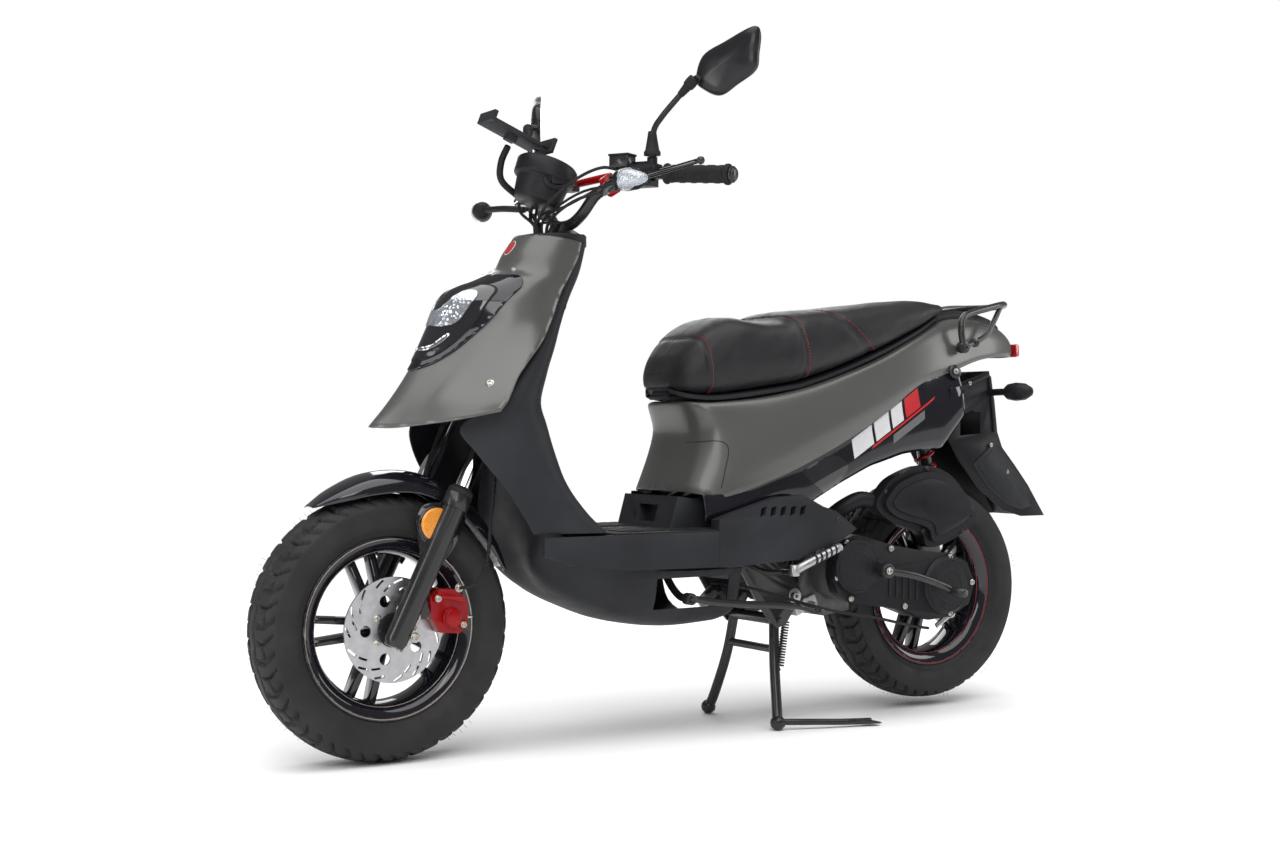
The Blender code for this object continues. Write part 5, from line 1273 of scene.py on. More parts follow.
def grip(name, hand):
    """A grip with spiral ribs, flanges at both ends and a bar-end weight."""
    start = GRIP_START + (BAR_END - GRIP_START) * 0.05
    end = BAR_END + (BAR_END - GRIP_START).normalized() * 0.006
    way = (end - start).normalized()
    length = (end - start).length
    side, up = across(way)
    verts, faces = [], []
    steps, around = GRIP_STEPS, GRIP_SIDES
    for i in range(steps + 1):
        at = length * i / steps
        collar = max(0.0, 1 - abs(at - 0.003) / 0.004) + max(0.0, 1 - abs(at - length + 0.006) / 0.006)
        for k in range(around):
            a = FULL_TURN * k / around
            twist = math.sin(3 * a + at * 260)
            ribbed = 0.0 if collar > 0 else 0.0007 * max(-0.3, min(1.0, 2.2 * twist))
            r = 0.0163 + ribbed + 0.0032 * min(1.0, 1.6 * collar)
            verts.append(on_circle(start + way * at, side, up, r, a))
    for i in range(steps):
        for k in range(around):
            n = (k + 1) % around
            faces.append((i * around + k, i * around + n, (i + 1) * around + n, (i + 1) * around + k))
    faces += [tuple(range(around)), tuple(range(steps * around, (steps + 1) * around))]
    made = node(name, "rubber", [handed(solid(verts, faces), hand)], round_by=0, crease=50)
    weight = [
        (0, 0), (0, 0.0125), (0.002, 0.015), (0.006, 0.0155), (0.0075, 0.0125), (0.01, 0.012),
        (0.0115, 0.0085), (0.0115, 0),
    ]
    tail = handed(lathe(weight, end - way * 0.001, way), hand)
    trim(name + "_weight", "black_paint", [tail], name, round_by=0.0005)
    return made


def switchgear(name, hand):
    """Switch housing round the bar with the lever's perch, the mirror boss and one button's bore."""
    shapes = [block(bar_frame(-0.004, 0), (0.044, 0.042, 0.044), BAR_OUT, Z)]
    shapes.append(block(bar_frame(0.012, 0.035, 0.0055), (0.074, 0.034, 0.015), BAR_OUT, Z))
    root = MIRROR_ROOT - Z * 0.0015
    shapes.append(rod(root - Z * 0.022, root, 0.0095, 36))
    cuts = [rod(bar_frame(-0.05, 0), bar_frame(0.05, 0), 0.0126, 36)]
    cuts.append(rod(bar_frame(-0.006, -0.03, -0.012), bar_frame(-0.006, -0.0135, -0.012), 0.0058, 36))
    shapes = all_handed(shapes, hand)
    cuts = all_handed(cuts, hand)
    made = node(name, "satin_black", shapes, cuts, round_by=0.0032, crease=30)
    extra = [block(bar_frame(-0.004, -0.0215, 0.007), (0.016, 0.004, 0.01), BAR_OUT, Z)]
    extra.append(block(bar_frame(0.01, -0.0215, -0.004), (0.01, 0.004, 0.016), BAR_OUT, Z))
    extra.append(block(bar_frame(-0.024, 0.04, 0.02), (0.04, 0.03, 0.022), BAR_OUT, Z))
    trim(name + "_keys", "black_paint", all_handed(extra, hand), name, round_by=0.0012)
    cap = block(bar_frame(-0.024, 0.04, 0.0325), (0.043, 0.033, 0.004), BAR_OUT, Z)
    heads = [bolt(bar_frame(-0.024 + b, 0.04, 0.0345), Z, 0.0022, 0.0015) for b in (-0.015, 0.015)]
    heads.append(bolt(bar_frame(0.0, 0.0215, 0.012), BAR_FRONT, 0.0028, 0.002))
    trim(name + "_cap", "satin_black", [handed(cap, hand)], name, round_by=0.001)
    trim(name + "_screws", "zinc", all_handed(heads, hand), name, round_by=0.0002)
    return made


def bar_button(name, hand):
    """The red button on the rider's side of a housing."""
    shape = rod(bar_frame(-0.006, -0.025, -0.012), bar_frame(-0.006, -0.0175, -0.012), 0.005, 36)
    return node(name, "red_metal", [handed(shape, hand)])


def brake_lever(name, hand):
    """A tapering blade with a ball end, on its pivot."""
    pivot = bar_frame(-0.008, 0.05, -0.0125)
    blade = [
        bar_frame(-0.008, 0.05, -0.0125), bar_frame(0.02, 0.059, -0.0135), bar_frame(0.05, 0.062, -0.01),
        bar_frame(0.1, 0.06, 0.0), bar_frame(0.15, 0.06, 0.01),
    ]
    shapes = [tube(blade, [0.0052, 0.006, 0.0058, 0.0052, 0.0048])]
    tip = bar_frame(0.152, 0.06, 0.01)
    ball = [(-0.008, 0), (-0.0057, 0.0057), (0, 0.008), (0.0057, 0.0057), (0.008, 0)]
    shapes.append(lathe(ball, tip, Z, 30))
    shapes.append(rod(pivot - Z * 0.007, pivot + Z * 0.01, 0.0085, 36))
    shapes = all_handed(shapes, hand)
    return node(name, "gloss_black", shapes)


def mirror_stem(name, hand):
    """The bent stem with a rubber boot at each end."""
    route = [MIRROR_ROOT, (0.232, 0.24, 1.146), (0.222, 0.252, 1.172), (0.207, 0.285, 1.205)]
    route.append(MIRROR_BALL + FACING * 0.0165)
    shapes = [tube(route, 0.0055), rod(MIRROR_ROOT - Z * 0.001, MIRROR_ROOT + Z * 0.014, 0.0085, 6)]
    shapes = all_handed(shapes, hand)
    made = node(name, "mirror_black", shapes, round_by=0.0004)
    boot = lathe(
        [(0, 0), (0, 0.0155), (0.006, 0.0155), (0.01, 0.013), (0.03, 0.0095), (0.044, 0.0075), (0.044, 0)],
        MIRROR_ROOT + Z * 0.002, Z, 60,
    )
    sleeve_way = (Vector(route[-2]) - Vector(route[-1])).normalized()
    collar = lathe(
        [
            (0.0, 0), (0.0, 0.0105), (0.01, 0.0112), (0.018, 0.0105), (0.02, 0.0085), (0.04, 0.0065),
            (0.04, 0),
        ],
        Vector(route[-1]) + sleeve_way * 0.001, sleeve_way,
    )
    trim(name + "_boots", "rubber", all_handed((boot, collar), hand), name, round_by=0.0006)
    return made


def mirror_head(name, hand):
    """A smooth angular shell with a crease over its front, a rim and the glass that faces the rider."""
    outline = [
        (0.004, 0.0), (0.018, 0.043), (0.065, 0.066), (0.118, 0.087), (0.131, 0.074), (0.128, 0.04),
        (0.122, 0.009), (0.085, -0.014), (0.052, -0.031), (0.022, -0.02),
    ]
    outline = smooth_ring(outline, 6)
    corner = MIRROR_BALL - SIDEWAYS * 0.011
    middle = Vector((0.074, 0.029))

    def ring_at(depth, size, lean=0.0):
        ring = []
        for a, b in outline:
            p = middle + (Vector((a, b)) - middle) * size
            ridge = lean * max(0.0, 1 - abs((p.y - 0.029) - 0.55 * (p.x - 0.074)) / 0.05)
            ring.append(corner + SIDEWAYS * p.x + Z * p.y + FACING * (depth + ridge))
        return ring

    rings = [
        ring_at(*r)
        for r in (
            (-0.01, 0.955), (-0.0095, 0.985), (-0.007, 1.0), (-0.0015, 0.995), (0.0025, 0.96),
            (0.0055, 0.88, 0.0012), (0.0075, 0.74, 0.0022), (0.0085, 0.55, 0.003), (0.009, 0.32, 0.0034),
            (0.0092, 0.1, 0.0036),
        )
    ]
    socket = rod(MIRROR_BALL - FACING * 0.004, MIRROR_BALL + FACING * 0.009, 0.008)
    shapes = all_handed((loft(rings), socket), hand)
    made = node(name, "mirror_black", shapes, round_by=0)
    glass = handed(loft([ring_at(-0.0106, 0.925), ring_at(-0.0095, 0.925)]), hand)
    trim(name + "_glass", "mirror_glass", [glass], name, round_by=0)
    return made


def signal_head(centre, along, length, height):
    """A blunt teardrop lens along one direction."""
    half = height / 2
    profile = [
        (-length / 2, 0), (-length / 2, half * 0.55), (-length * 0.38, half * 0.86), (-length * 0.12, half),
    ]
    profile += [(length * 0.18, half * 0.9), (length * 0.4, half * 0.5), (length / 2, 0)]
    return lathe(profile, centre, along, 30)


def front_signal(name, hand):
    """A black teardrop housing on a stalk, with a clear faceted window towards the front."""
    centre = Vector((0.312, 0.292, 1.047))
    shapes = [signal_head(centre, SIDEWAYS, 0.07, 0.042)]
    stalk = [(0.286, 0.155, 1.04), (0.31, 0.2, 1.045), (0.322, 0.25, 1.047), (0.322, 0.275, 1.047)]
    shapes.append(tube(stalk, 0.0065))
    window = []
    for depth, size in ((0.004, 1.04), (0.0125, 0.93), (0.0185, 0.7), (0.0215, 0.4), (0.0222, 0.08)):
        ring = []
        for k in range(32):
            a = FULL_TURN * k / 32
            along = 0.0345 * math.cos(a) * (1.0 if math.cos(a) > 0 else 0.86)
            rise = 0.019 * math.sin(a) * (1 - 0.3 * math.cos(a))
            ring.append(centre + SIDEWAYS * (along * size) + Z * (rise * size) + FACING * depth)
        window.append(ring)
    made = node(name, "satin_black", all_handed(shapes, hand), round_by=0.0006)
    trim(name + "_window", "signal_lens", [handed(loft(window), hand)], name, round_by=0)
    near = bar_frame(-0.034, 0.0)
    arm = [
        near + BAR_FRONT * 0.012, near + BAR_FRONT * 0.03 - Z * 0.012, Vector((0.276, 0.153, 1.044)),
        Vector((0.292, 0.166, 1.041)),
    ]
    clamp = sleeve(near - BAR_OUT * 0.006, near + BAR_OUT * 0.006, 0.015, 0.0112, 60)
    trim(
        name + "_bracket", "black_paint", [handed(tube(arm, 0.0052, 20, 4), hand), handed(clamp, hand)],
        name, round_by=0.0004,
    )
    return made


def control_cables():
    """Brake and throttle lines from both housings, tied together where they enter the neck."""
    left = [
        bar_frame(-0.0295, 0.04, 0.006), (0.292, 0.15, 1.086), (0.322, 0.105, 1.066), (0.352, 0.055, 1.024),
        (0.348, 0.012, 0.996), (0.343, 0.0, 0.981),
    ]
    right = [flip(p) for p in left]
    throttle = [
        bar_frame(-0.03, 0.0225, 0.017, -1), (0.262, -0.125, 1.096), (0.305, -0.085, 1.05),
        (0.342, -0.03, 1.008), (0.343, -0.004, 0.987),
    ]
    shapes = [tube(route, 0.003, 12) for route in (left, right, throttle)]
    shapes.append(rod((0.343, 0, 0.9745), (0.3445, 0, 0.996), 0.0075, 24))
    made = node("control_cables", "rubber", shapes, round_by=0)
    more = []
    for hand in (1, -1):
        for k, (start, sag) in enumerate((
            (bar_frame(-0.024, 0.006, -0.018), 0.006), (bar_frame(-0.026, -0.01, -0.014), -0.01),
            (bar_frame(-0.028, 0.02, 0.004), 0.016),
        )):
            near = Vector((0.3 + sag, 0.098 - 0.012 * k, 1.04 - sag))
            low = Vector((0.33 + 0.006 * k, 0.03 - 0.01 * k, 1.0 + 0.004 * k))
            foot = Vector((0.332 + 0.004 * k, 0.012 - 0.006 * k, 0.965))
            more.append(handed(tube([start, near, low, foot], 0.0026 + 0.0005 * (k == 0), 12), hand))
    trim("bar_wiring", "rubber", more, "control_cables", round_by=0)
    ties = [rod((0.336, -0.002, 0.993), (0.3365, -0.002, 0.9965), 0.0165, 48)]
    trim("cable_tie", "satin_black", ties, "control_cables", round_by=0.0006)
    return made


def steering():
    """Everything that turns with the fork or the handlebar."""
    fork_lower()
    fork_crown()
    front_fender()
    brake_caliper()
    brake_hose()
    handlebar()
    handlebar_brace()
    instrument_pod()
    phone_holder()
    grip("left_grip", 1)
    grip("throttle_grip", -1)
    bar_button("horn_button", 1)
    bar_button("starter_button", -1)
    for side, hand in (("left", 1), ("right", -1)):
        switchgear(side + "_switchgear", hand)
        brake_lever("brake_lever_" + side, hand)
        mirror_stem(side + "_mirror_stem", hand)
        mirror_head(side + "_mirror", hand)
        front_signal("front_signal_" + side, hand)
    control_cables()


# Frame and body panels: rows and outlines from the CAD, as (x, y, z) or flat pairs

COVER_ROWS = [
    [
        (0.383, 0, 0.97), (0.378, 0.03, 0.969), (0.362, 0.055, 0.967), (0.33, 0.074, 0.962),
        (0.288, 0.076, 0.955),
    ],
    [
        (0.408, 0, 0.935), (0.402, 0.032, 0.935), (0.382, 0.06, 0.933), (0.345, 0.079, 0.93),
        (0.298, 0.08, 0.925),
    ],
    [
        (0.428, 0, 0.903), (0.42, 0.034, 0.903), (0.4, 0.064, 0.9), (0.362, 0.084, 0.895),
        (0.32, 0.085, 0.888),
    ],
    [
        (0.47, 0, 0.884), (0.455, 0.04, 0.883), (0.425, 0.08, 0.877), (0.39, 0.094, 0.868),
        (0.343, 0.093, 0.855),
    ],
    [(0.535, 0, 0.85), (0.51, 0.05, 0.848), (0.455, 0.09, 0.84), (0.41, 0.105, 0.83), (0.368, 0.108, 0.81)],
    [
        (0.567, 0, 0.79), (0.535, 0.045, 0.79), (0.495, 0.08, 0.785), (0.445, 0.113, 0.78),
        (0.4, 0.128, 0.765),
    ],
    [
        (0.592, 0, 0.74), (0.565, 0.04, 0.738), (0.525, 0.085, 0.733), (0.485, 0.125, 0.73),
        (0.441, 0.15, 0.727),
    ],
    [
        (0.622, 0, 0.69), (0.595, 0.045, 0.69), (0.555, 0.092, 0.69), (0.515, 0.135, 0.69),
        (0.473, 0.166, 0.695),
    ],
    [
        (0.655, 0, 0.645), (0.628, 0.045, 0.648), (0.588, 0.095, 0.65), (0.545, 0.145, 0.652),
        (0.498, 0.179, 0.655),
    ],
    [
        (0.69, 0, 0.606), (0.664, 0.036, 0.604), (0.622, 0.085, 0.61), (0.572, 0.14, 0.62),
        (0.515, 0.178, 0.633),
    ],
]
BEZEL_HALF = [
    (0, 0.708), (0.03, 0.716), (0.055, 0.74), (0.073, 0.775), (0.086, 0.812), (0.0915, 0.843),
    (0.0895, 0.866), (0.075, 0.8835), (0.045, 0.8875), (0, 0.8885),
]
SHIELD_ROWS = [
    [(0.288, 0.064, 0.955), (0.272, 0.06, 0.955), (0.255, 0.035, 0.955), (0.248, 0, 0.955)],
    [(0.312, 0.07, 0.9), (0.292, 0.068, 0.9), (0.272, 0.04, 0.9), (0.265, 0, 0.9)],
    [(0.338, 0.08, 0.85), (0.318, 0.078, 0.85), (0.298, 0.045, 0.85), (0.292, 0, 0.85)],
    [(0.362, 0.096, 0.8), (0.345, 0.093, 0.8), (0.325, 0.06, 0.8), (0.32, 0, 0.8)],
    [(0.398, 0.124, 0.75), (0.378, 0.12, 0.75), (0.352, 0.088, 0.75), (0.345, 0, 0.75)],
    [(0.44, 0.15, 0.7), (0.415, 0.148, 0.7), (0.382, 0.118, 0.7), (0.362, 0, 0.7)],
    [(0.478, 0.168, 0.65), (0.445, 0.168, 0.65), (0.4, 0.132, 0.65), (0.374, 0, 0.65)],
    [
        (0.56, 0.108, 0.606), (0.525, 0.14, 0.607), (0.48, 0.168, 0.61), (0.44, 0.172, 0.61),
        (0.395, 0.13, 0.61), (0.372, 0, 0.61),
    ],
    [
        (0.542, 0.135, 0.56), (0.51, 0.155, 0.56), (0.47, 0.17, 0.56), (0.42, 0.172, 0.56),
        (0.378, 0.128, 0.56), (0.354, 0, 0.56),
    ],
    [
        (0.5, 0.16, 0.5), (0.47, 0.168, 0.5), (0.43, 0.174, 0.5), (0.385, 0.174, 0.5), (0.35, 0.12, 0.5),
        (0.335, 0, 0.5),
    ],
    [
        (0.465, 0.165, 0.45), (0.435, 0.17, 0.45), (0.4, 0.175, 0.45), (0.345, 0.175, 0.45),
        (0.312, 0.12, 0.45), (0.298, 0, 0.45),
    ],
    [
        (0.44, 0.165, 0.4105), (0.4, 0.17, 0.4105), (0.36, 0.176, 0.4105), (0.3, 0.176, 0.4105),
        (0.272, 0.12, 0.4105), (0.265, 0, 0.4105),
    ],
]
COWL_ROWS = [
    [(0.432, 0, 0.6), (0.42, 0.045, 0.6), (0.399, 0.096, 0.595)],
    [(0.43, 0, 0.54), (0.415, 0.06, 0.54), (0.398, 0.116, 0.54)],
    [(0.414, 0, 0.46), (0.405, 0.08, 0.46), (0.395, 0.148, 0.465)],
    [(0.396, 0, 0.39), (0.405, 0.085, 0.395), (0.392, 0.145, 0.425)],
    [(0.374, 0, 0.33), (0.398, 0.085, 0.345), (0.372, 0.15, 0.405)],
    [(0.338, 0, 0.285), (0.342, 0.1, 0.305), (0.325, 0.156, 0.378)],
    [(0.27, 0, 0.252), (0.27, 0.12, 0.275), (0.27, 0.16, 0.358)],
    [(0.2, 0, 0.228), (0.2, 0.128, 0.252), (0.2, 0.161, 0.338)],
    [(0.1, 0, 0.213), (0.1, 0.125, 0.238), (0.1, 0.16, 0.331)],
    [(0.0, 0, 0.215), (0.0, 0.12, 0.24), (0.0, 0.155, 0.331)],
    [(-0.03, 0, 0.22), (-0.03, 0.115, 0.245), (-0.03, 0.15, 0.331)],
]
BODY_ROWS = [
    [(0.08, 0, 0.48), (0.05, 0, 0.547), (0.04, 0, 0.6), (0.055, 0, 0.652), (0.03, 0, 0.654)],
    [
        (0.075, 0.06, 0.48), (0.046, 0.06, 0.547), (0.037, 0.06, 0.6), (0.052, 0.055, 0.652),
        (0.026, 0.05, 0.654),
    ],
    [
        (0.055, 0.105, 0.476), (0.03, 0.1, 0.547), (0.02, 0.095, 0.6), (0.035, 0.088, 0.65),
        (0.012, 0.074, 0.652),
    ],
    [
        (0.0, 0.135, 0.468), (-0.01, 0.13, 0.53), (-0.01, 0.118, 0.6), (0.0, 0.106, 0.65),
        (-0.015, 0.084, 0.652),
    ],
    [
        (-0.1, 0.15, 0.498), (-0.1, 0.151, 0.55), (-0.1, 0.138, 0.62), (-0.1, 0.122, 0.66),
        (-0.1, 0.1, 0.663),
    ],
    [
        (-0.2, 0.152, 0.537), (-0.2, 0.155, 0.59), (-0.2, 0.142, 0.65), (-0.2, 0.128, 0.68),
        (-0.2, 0.106, 0.683),
    ],
    [
        (-0.3, 0.15, 0.582), (-0.3, 0.155, 0.63), (-0.3, 0.142, 0.685), (-0.3, 0.13, 0.71),
        (-0.3, 0.108, 0.713),
    ],
    [
        (-0.4, 0.145, 0.633), (-0.4, 0.15, 0.67), (-0.4, 0.138, 0.72), (-0.4, 0.127, 0.745),
        (-0.4, 0.106, 0.748),
    ],
    [
        (-0.5, 0.135, 0.685), (-0.5, 0.14, 0.715), (-0.5, 0.13, 0.76), (-0.5, 0.118, 0.788),
        (-0.5, 0.098, 0.792),
    ],
    [
        (-0.6, 0.118, 0.702), (-0.6, 0.123, 0.74), (-0.6, 0.112, 0.795), (-0.6, 0.095, 0.828),
        (-0.6, 0.075, 0.832),
    ],
    [
        (-0.7, 0.095, 0.735), (-0.7, 0.098, 0.762), (-0.7, 0.091, 0.803), (-0.7, 0.073, 0.836),
        (-0.7, 0.053, 0.841),
    ],
    [
        (-0.79, 0.07, 0.753), (-0.79, 0.072, 0.772), (-0.79, 0.068, 0.8), (-0.79, 0.053, 0.823),
        (-0.79, 0.035, 0.827),
    ],
    [
        (-0.846, 0.038, 0.76), (-0.851, 0.038, 0.772), (-0.849, 0.036, 0.79), (-0.842, 0.028, 0.806),
        (-0.832, 0.018, 0.81),
    ],
    [(-0.85, 0, 0.76), (-0.855, 0, 0.772), (-0.853, 0, 0.79), (-0.846, 0, 0.806), (-0.836, 0, 0.81)],
]
TRIM_TOP = [
    (0.05, 0.455), (-0.05, 0.466), (-0.15, 0.505), (-0.25, 0.545), (-0.35, 0.594), (-0.45, 0.648),
    (-0.53, 0.68), (-0.615, 0.694),
]
TRIM_LOW = [
    (-0.62, 0.64), (-0.56, 0.575), (-0.45, 0.56), (-0.36, 0.535), (-0.28, 0.5), (-0.2, 0.46), (-0.13, 0.47),
    (-0.05, 0.45), (0.05, 0.43),
]
WING = [
    (0.043, 0.427), (0.0, 0.44), (-0.1, 0.467), (-0.16, 0.47), (-0.207, 0.447), (-0.24, 0.437),
    (-0.293, 0.4), (-0.25, 0.375), (-0.167, 0.353), (-0.147, 0.343), (0.0, 0.336), (0.043, 0.336),
]
SEAT_RINGS = [
    (0.072, 0.05, 0.684, 0.712), (0.05, 0.082, 0.675, 0.752), (0.005, 0.105, 0.67, 0.8),
    (-0.05, 0.12, 0.674, 0.826), (-0.12, 0.133, 0.684, 0.82), (-0.17, 0.139, 0.692, 0.823),
    (-0.205, 0.142, 0.699, 0.842), (-0.3, 0.144, 0.728, 0.852), (-0.42, 0.138, 0.772, 0.866),
    (-0.52, 0.124, 0.815, 0.876), (-0.59, 0.1, 0.848, 0.87),
]
SEAT_SECTION = [
    (0, 0), (0.62, 0.0), (0.9, 0.1), (1.0, 0.34), (0.97, 0.62), (0.84, 0.86), (0.55, 0.97), (0, 1.0),
]


def closed_outline(half):
    """A left half outline (y, z) from the middle line, completed to both sides."""
    return list(half) + [(-y, z) for y, z in reversed(half) if y > 0]


def inset(outline, amount):
    """The same outline with every side moved inwards."""
    n = len(outline)
    out = []
    area = sum(
        outline[i][0] * outline[(i + 1) % n][1] - outline[(i + 1) % n][0] * outline[i][1] for i in range(n)
    )
    turn = 1 if area > 0 else -1
    for i in range(n):
        before, here, after = (Vector(outline[(i + d) % n]) for d in (-1, 0, 1))
        a, b = (here - before).normalized(), (after - here).normalized()
        normal = Vector((-(a.y + b.y), a.x + b.x)) * turn
        if normal.length < 1e-6:
            normal = Vector((-a.y, a.x)) * turn
        normal.normalize()
        scale = max(0.5, normal.dot(Vector((-a.y, a.x)) * turn))
        out.append(tuple(here + normal * (amount / scale)))
    return out


RIDGES = [((0.425, 0.835), (0.61, 0.632), 0.005, 0.016), ((0.384, 0.803), (0.52, 0.64), 0.0055, 0.018)]


def cover_sheet(thickness):
    """The nose cover, with two soft ridges that sweep down each flank."""
    shape = sheet([both_sides(row) for row in COVER_ROWS], thickness, inside=(0.42, 0, 0.76))
    for vertex in shape.data.vertices:
        at = vertex.co
        flank = min(1.0, max(0.0, (abs(at.y) - 0.055) / 0.03))
        for (x0, z0), (x1, z1), height, width in RIDGES:
            run = Vector((x1 - x0, z1 - z0))
            share = (at.x - x0) * run.x + (at.z - z0) * run.y
            share /= run.length_squared
            away = abs((at.x - x0) * run.y - (at.z - z0) * run.x) / run.length
            fade = max(0.0, min(1.0, share * 4)) * max(0.0, min(1.0, (1.05 - share) * 5))
            swell = height * fade * flank * math.exp(-((away / width) ** 2))
            at.x += 0.45 * swell
            at.y += math.copysign(0.85 * swell, at.y)
    return shape


CLEAR_HALF = [
    (0, 0.7895), (0.026, 0.788), (0.043, 0.795), (0.052, 0.812), (0.06, 0.842), (0.055, 0.8515),
    (0.044, 0.8525), (0.031, 0.845), (0.021, 0.83), (0.011, 0.8195), (0, 0.8175),
]
WINDOW_HALF = [
    (0, 0.727), (0.022, 0.729), (0.042, 0.746), (0.056, 0.772), (0.066, 0.803), (0.0745, 0.844),
    (0.068, 0.859), (0.05, 0.8635), (0.032, 0.858), (0.016, 0.845), (0, 0.84),
]
CRESCENT = [
    (0.003, 0.743), (0.02, 0.745), (0.034, 0.758), (0.041, 0.772), (0.036, 0.774), (0.026, 0.76),
    (0.016, 0.7505), (0.003, 0.749),
]


def whole(half, steps=5):
    """A left half outline mirrored to a closed, rounded one."""
    return smooth_ring(closed_outline(half), steps)


def front_panels():
    """The nose cover, the gloss mask with its clear and smoked windows, the badge and the bolts."""
    ground = lookup(cover_sheet(PANEL))
    mask = whole(BEZEL_HALF)
    node("front_cover", "grey_panel", [cover_sheet(PANEL)])
    node("headlight_bezel", "gloss_black", [skin(mask, ground, -X, 0.003, 0.007, 0.005)], round_by=0.0016)
    rim = skin(whole(widened(WINDOW_HALF)), ground, -X, 0.0044, 0.003, 0.005)
    trim("lamp_surround", "satin_black", [rim], "headlight_bezel", round_by=0.001)
    window = skin(whole(WINDOW_HALF), ground, -X, 0.0052, 0.003, 0.004, dome=0.001)
    trim("lamp_window", "smoked", [window], "headlight_bezel", round_by=0)
    bowl = skin(whole(CLEAR_HALF), ground, -X, 0.0062, 0.002, 0.004)
    trim("lamp_reflector", "reflector", [bowl], "headlight_bezel", round_by=0)
    glass = skin(whole(CLEAR_HALF), ground, -X, 0.0078, 0.0012, 0.004, dome=0.002)
    node("headlight_lens", "clear_cover", [glass], round_by=0)
    bars = []
    for hand in (1, -1):
        fin = [(0.02, 0.796), (0.0235, 0.796), (0.0375, 0.842), (0.033, 0.842)]
        for outline in (fin, CRESCENT):
            shape = smooth_ring([(hand * y, z) for y, z in outline], 3)
            bars.append(skin(shape if hand > 0 else shape[::-1], ground, -X, 0.0068, 0.0022, 0.003))
    trim("lamp_inner_bars", "chrome", bars, "headlight_bezel", round_by=0.0003)
    ring = [
        (0.014 * math.cos(a), 0.944 + 0.014 * math.sin(a)) for a in (math.pi * k / 16 for k in range(32))
    ]
    disc = [(0.0125 * y / 0.014, 0.944 + (z - 0.944) * 0.0125 / 0.014) for y, z in ring]
    trim(
        "badge_rim", "decal_white", [skin(ring, ground, -X, 0.0009, 0.0012, 0.004)], "front_cover",
        round_by=0,
    )
    trim("badge", "decal_red", [skin(disc, ground, -X, 0.0014, 0.0012, 0.004)], "front_cover", round_by=0)
    heads = []
    for y, z in ((0.045, 0.899), (0.1405, 0.684)):
        for hand in (1, -1):
            place, normal, _, _ = ground.ray_cast(Vector((FAR, hand * y, z)), -X)
            heads.append(bolt(
                place, normal if normal.x > 0 else -normal, 0.0062 if z < 0.8 else 0.0042, 0.0035,
            ))
    trim("front_bolts", "zinc", heads, "front_cover", round_by=0.0002)


def widened(half):
    """The outline moved outwards by 2.6 mm from its middle."""
    middle = Vector((0, sum(z for _, z in half) / len(half)))
    out = []
    for y, z in half:
        away = (Vector((y, z)) - middle).normalized() * 0.0026
        out.append((y + away.x if y > 0 else 0, z + away.y))
    return out


def leg_shield():
    """The rider's side of the front: shield, and the collar round the steering neck."""
    rows = []
    for row in SHIELD_ROWS:
        tuck = [(row[0][0] + 0.03, row[0][1] - 0.012, row[0][2])] if row[0][2] > 0.62 else []
        rows.append(both_sides(reversed(spread(tuck + row, 6))))
    shapes = [sheet(rows, PANEL, inside=(0.5, 0, 0.66))]
    ring = [
        (0.2475, 0), (0.2545, 0.0345), (0.274, 0.0595), (0.31, 0.064), (0.345, 0.055), (0.366, 0.028),
        (0.37, 0),
    ]
    outline = ring + [(x, -y) for x, y in reversed(ring) if y > 0]
    collar = prism(outline, 0.95, 0.972, "z")
    hole = prism(inset(outline, 0.0035), 0.94, 0.99, "z")
    shapes.append(combine(collar, [hole], "DIFFERENCE"))
    ground = lookup(sheet(rows, PANEL, inside=(0.5, 0, 0.66)))
    made = node("leg_shield", "charcoal", shapes, round_by=0.001)

    def behind(y, z, out=0.0):
        place = ground.ray_cast(Vector((0.0, y, z)), X)[0]
        return place - X * out

    away = Vector((-0.96, 0, 0.28))
    seat_ring = lathe(
        [(-0.002, 0.0125), (-0.002, 0.0215), (0.0035, 0.0195), (0.0055, 0.015), (0.0055, 0.0125)],
        behind(-0.048, 0.89), away, 96,
    )
    trim("ignition_ring", "satin_black", [seat_ring], "leg_shield", round_by=0.0005)
    barrel = lathe(
        [(-0.002, 0), (-0.002, 0.0128), (0.0045, 0.012), (0.0052, 0)], behind(-0.048, 0.89), away, 72,
    )
    trim("ignition_barrel", "steel", [barrel], "leg_shield", round_by=0.0003)
    slot = block(behind(-0.048, 0.89) + away * 0.0052, (0.0012, 0.009, 0.0016), away, Y)
    trim("ignition_slot", "smoked", [slot], "leg_shield", round_by=0)
    hook = [
        behind(0, 0.765, -0.001), behind(0, 0.765, 0.016), behind(0, 0.752, 0.026), behind(0, 0.738, 0.024),
        behind(0, 0.734, 0.012),
    ]
    hook_shapes = [
        tube(hook, 0.0042, 20, 4),
        lathe([(0, 0), (0, 0.013), (0.003, 0.011), (0.003, 0)], behind(0, 0.765), away, 60),
    ]
    trim("bag_hook", "black_paint", hook_shapes, "leg_shield", round_by=0.0004)
    seams = []
    for low, high in (((-0.075, 0.835), (0.075, 0.835)), ((-0.115, 0.6), (0.115, 0.6))):
        line = [
            behind(low[0] + (high[0] - low[0]) * k / 24, low[1] - 0.016 * math.sin(math.pi * k / 24))
            for k in range(25)
        ]
        seams.append(tube(line, 0.0009, 12))
    for hand in (1, -1):
        line = [behind(hand * (0.075 + 0.04 * k / 20), 0.835 - 0.235 * k / 20) for k in range(21)]
        seams.append(tube(line, 0.0009, 12))
    trim("shield_seams", "satin_black", seams, "leg_shield", round_by=0)
    return made


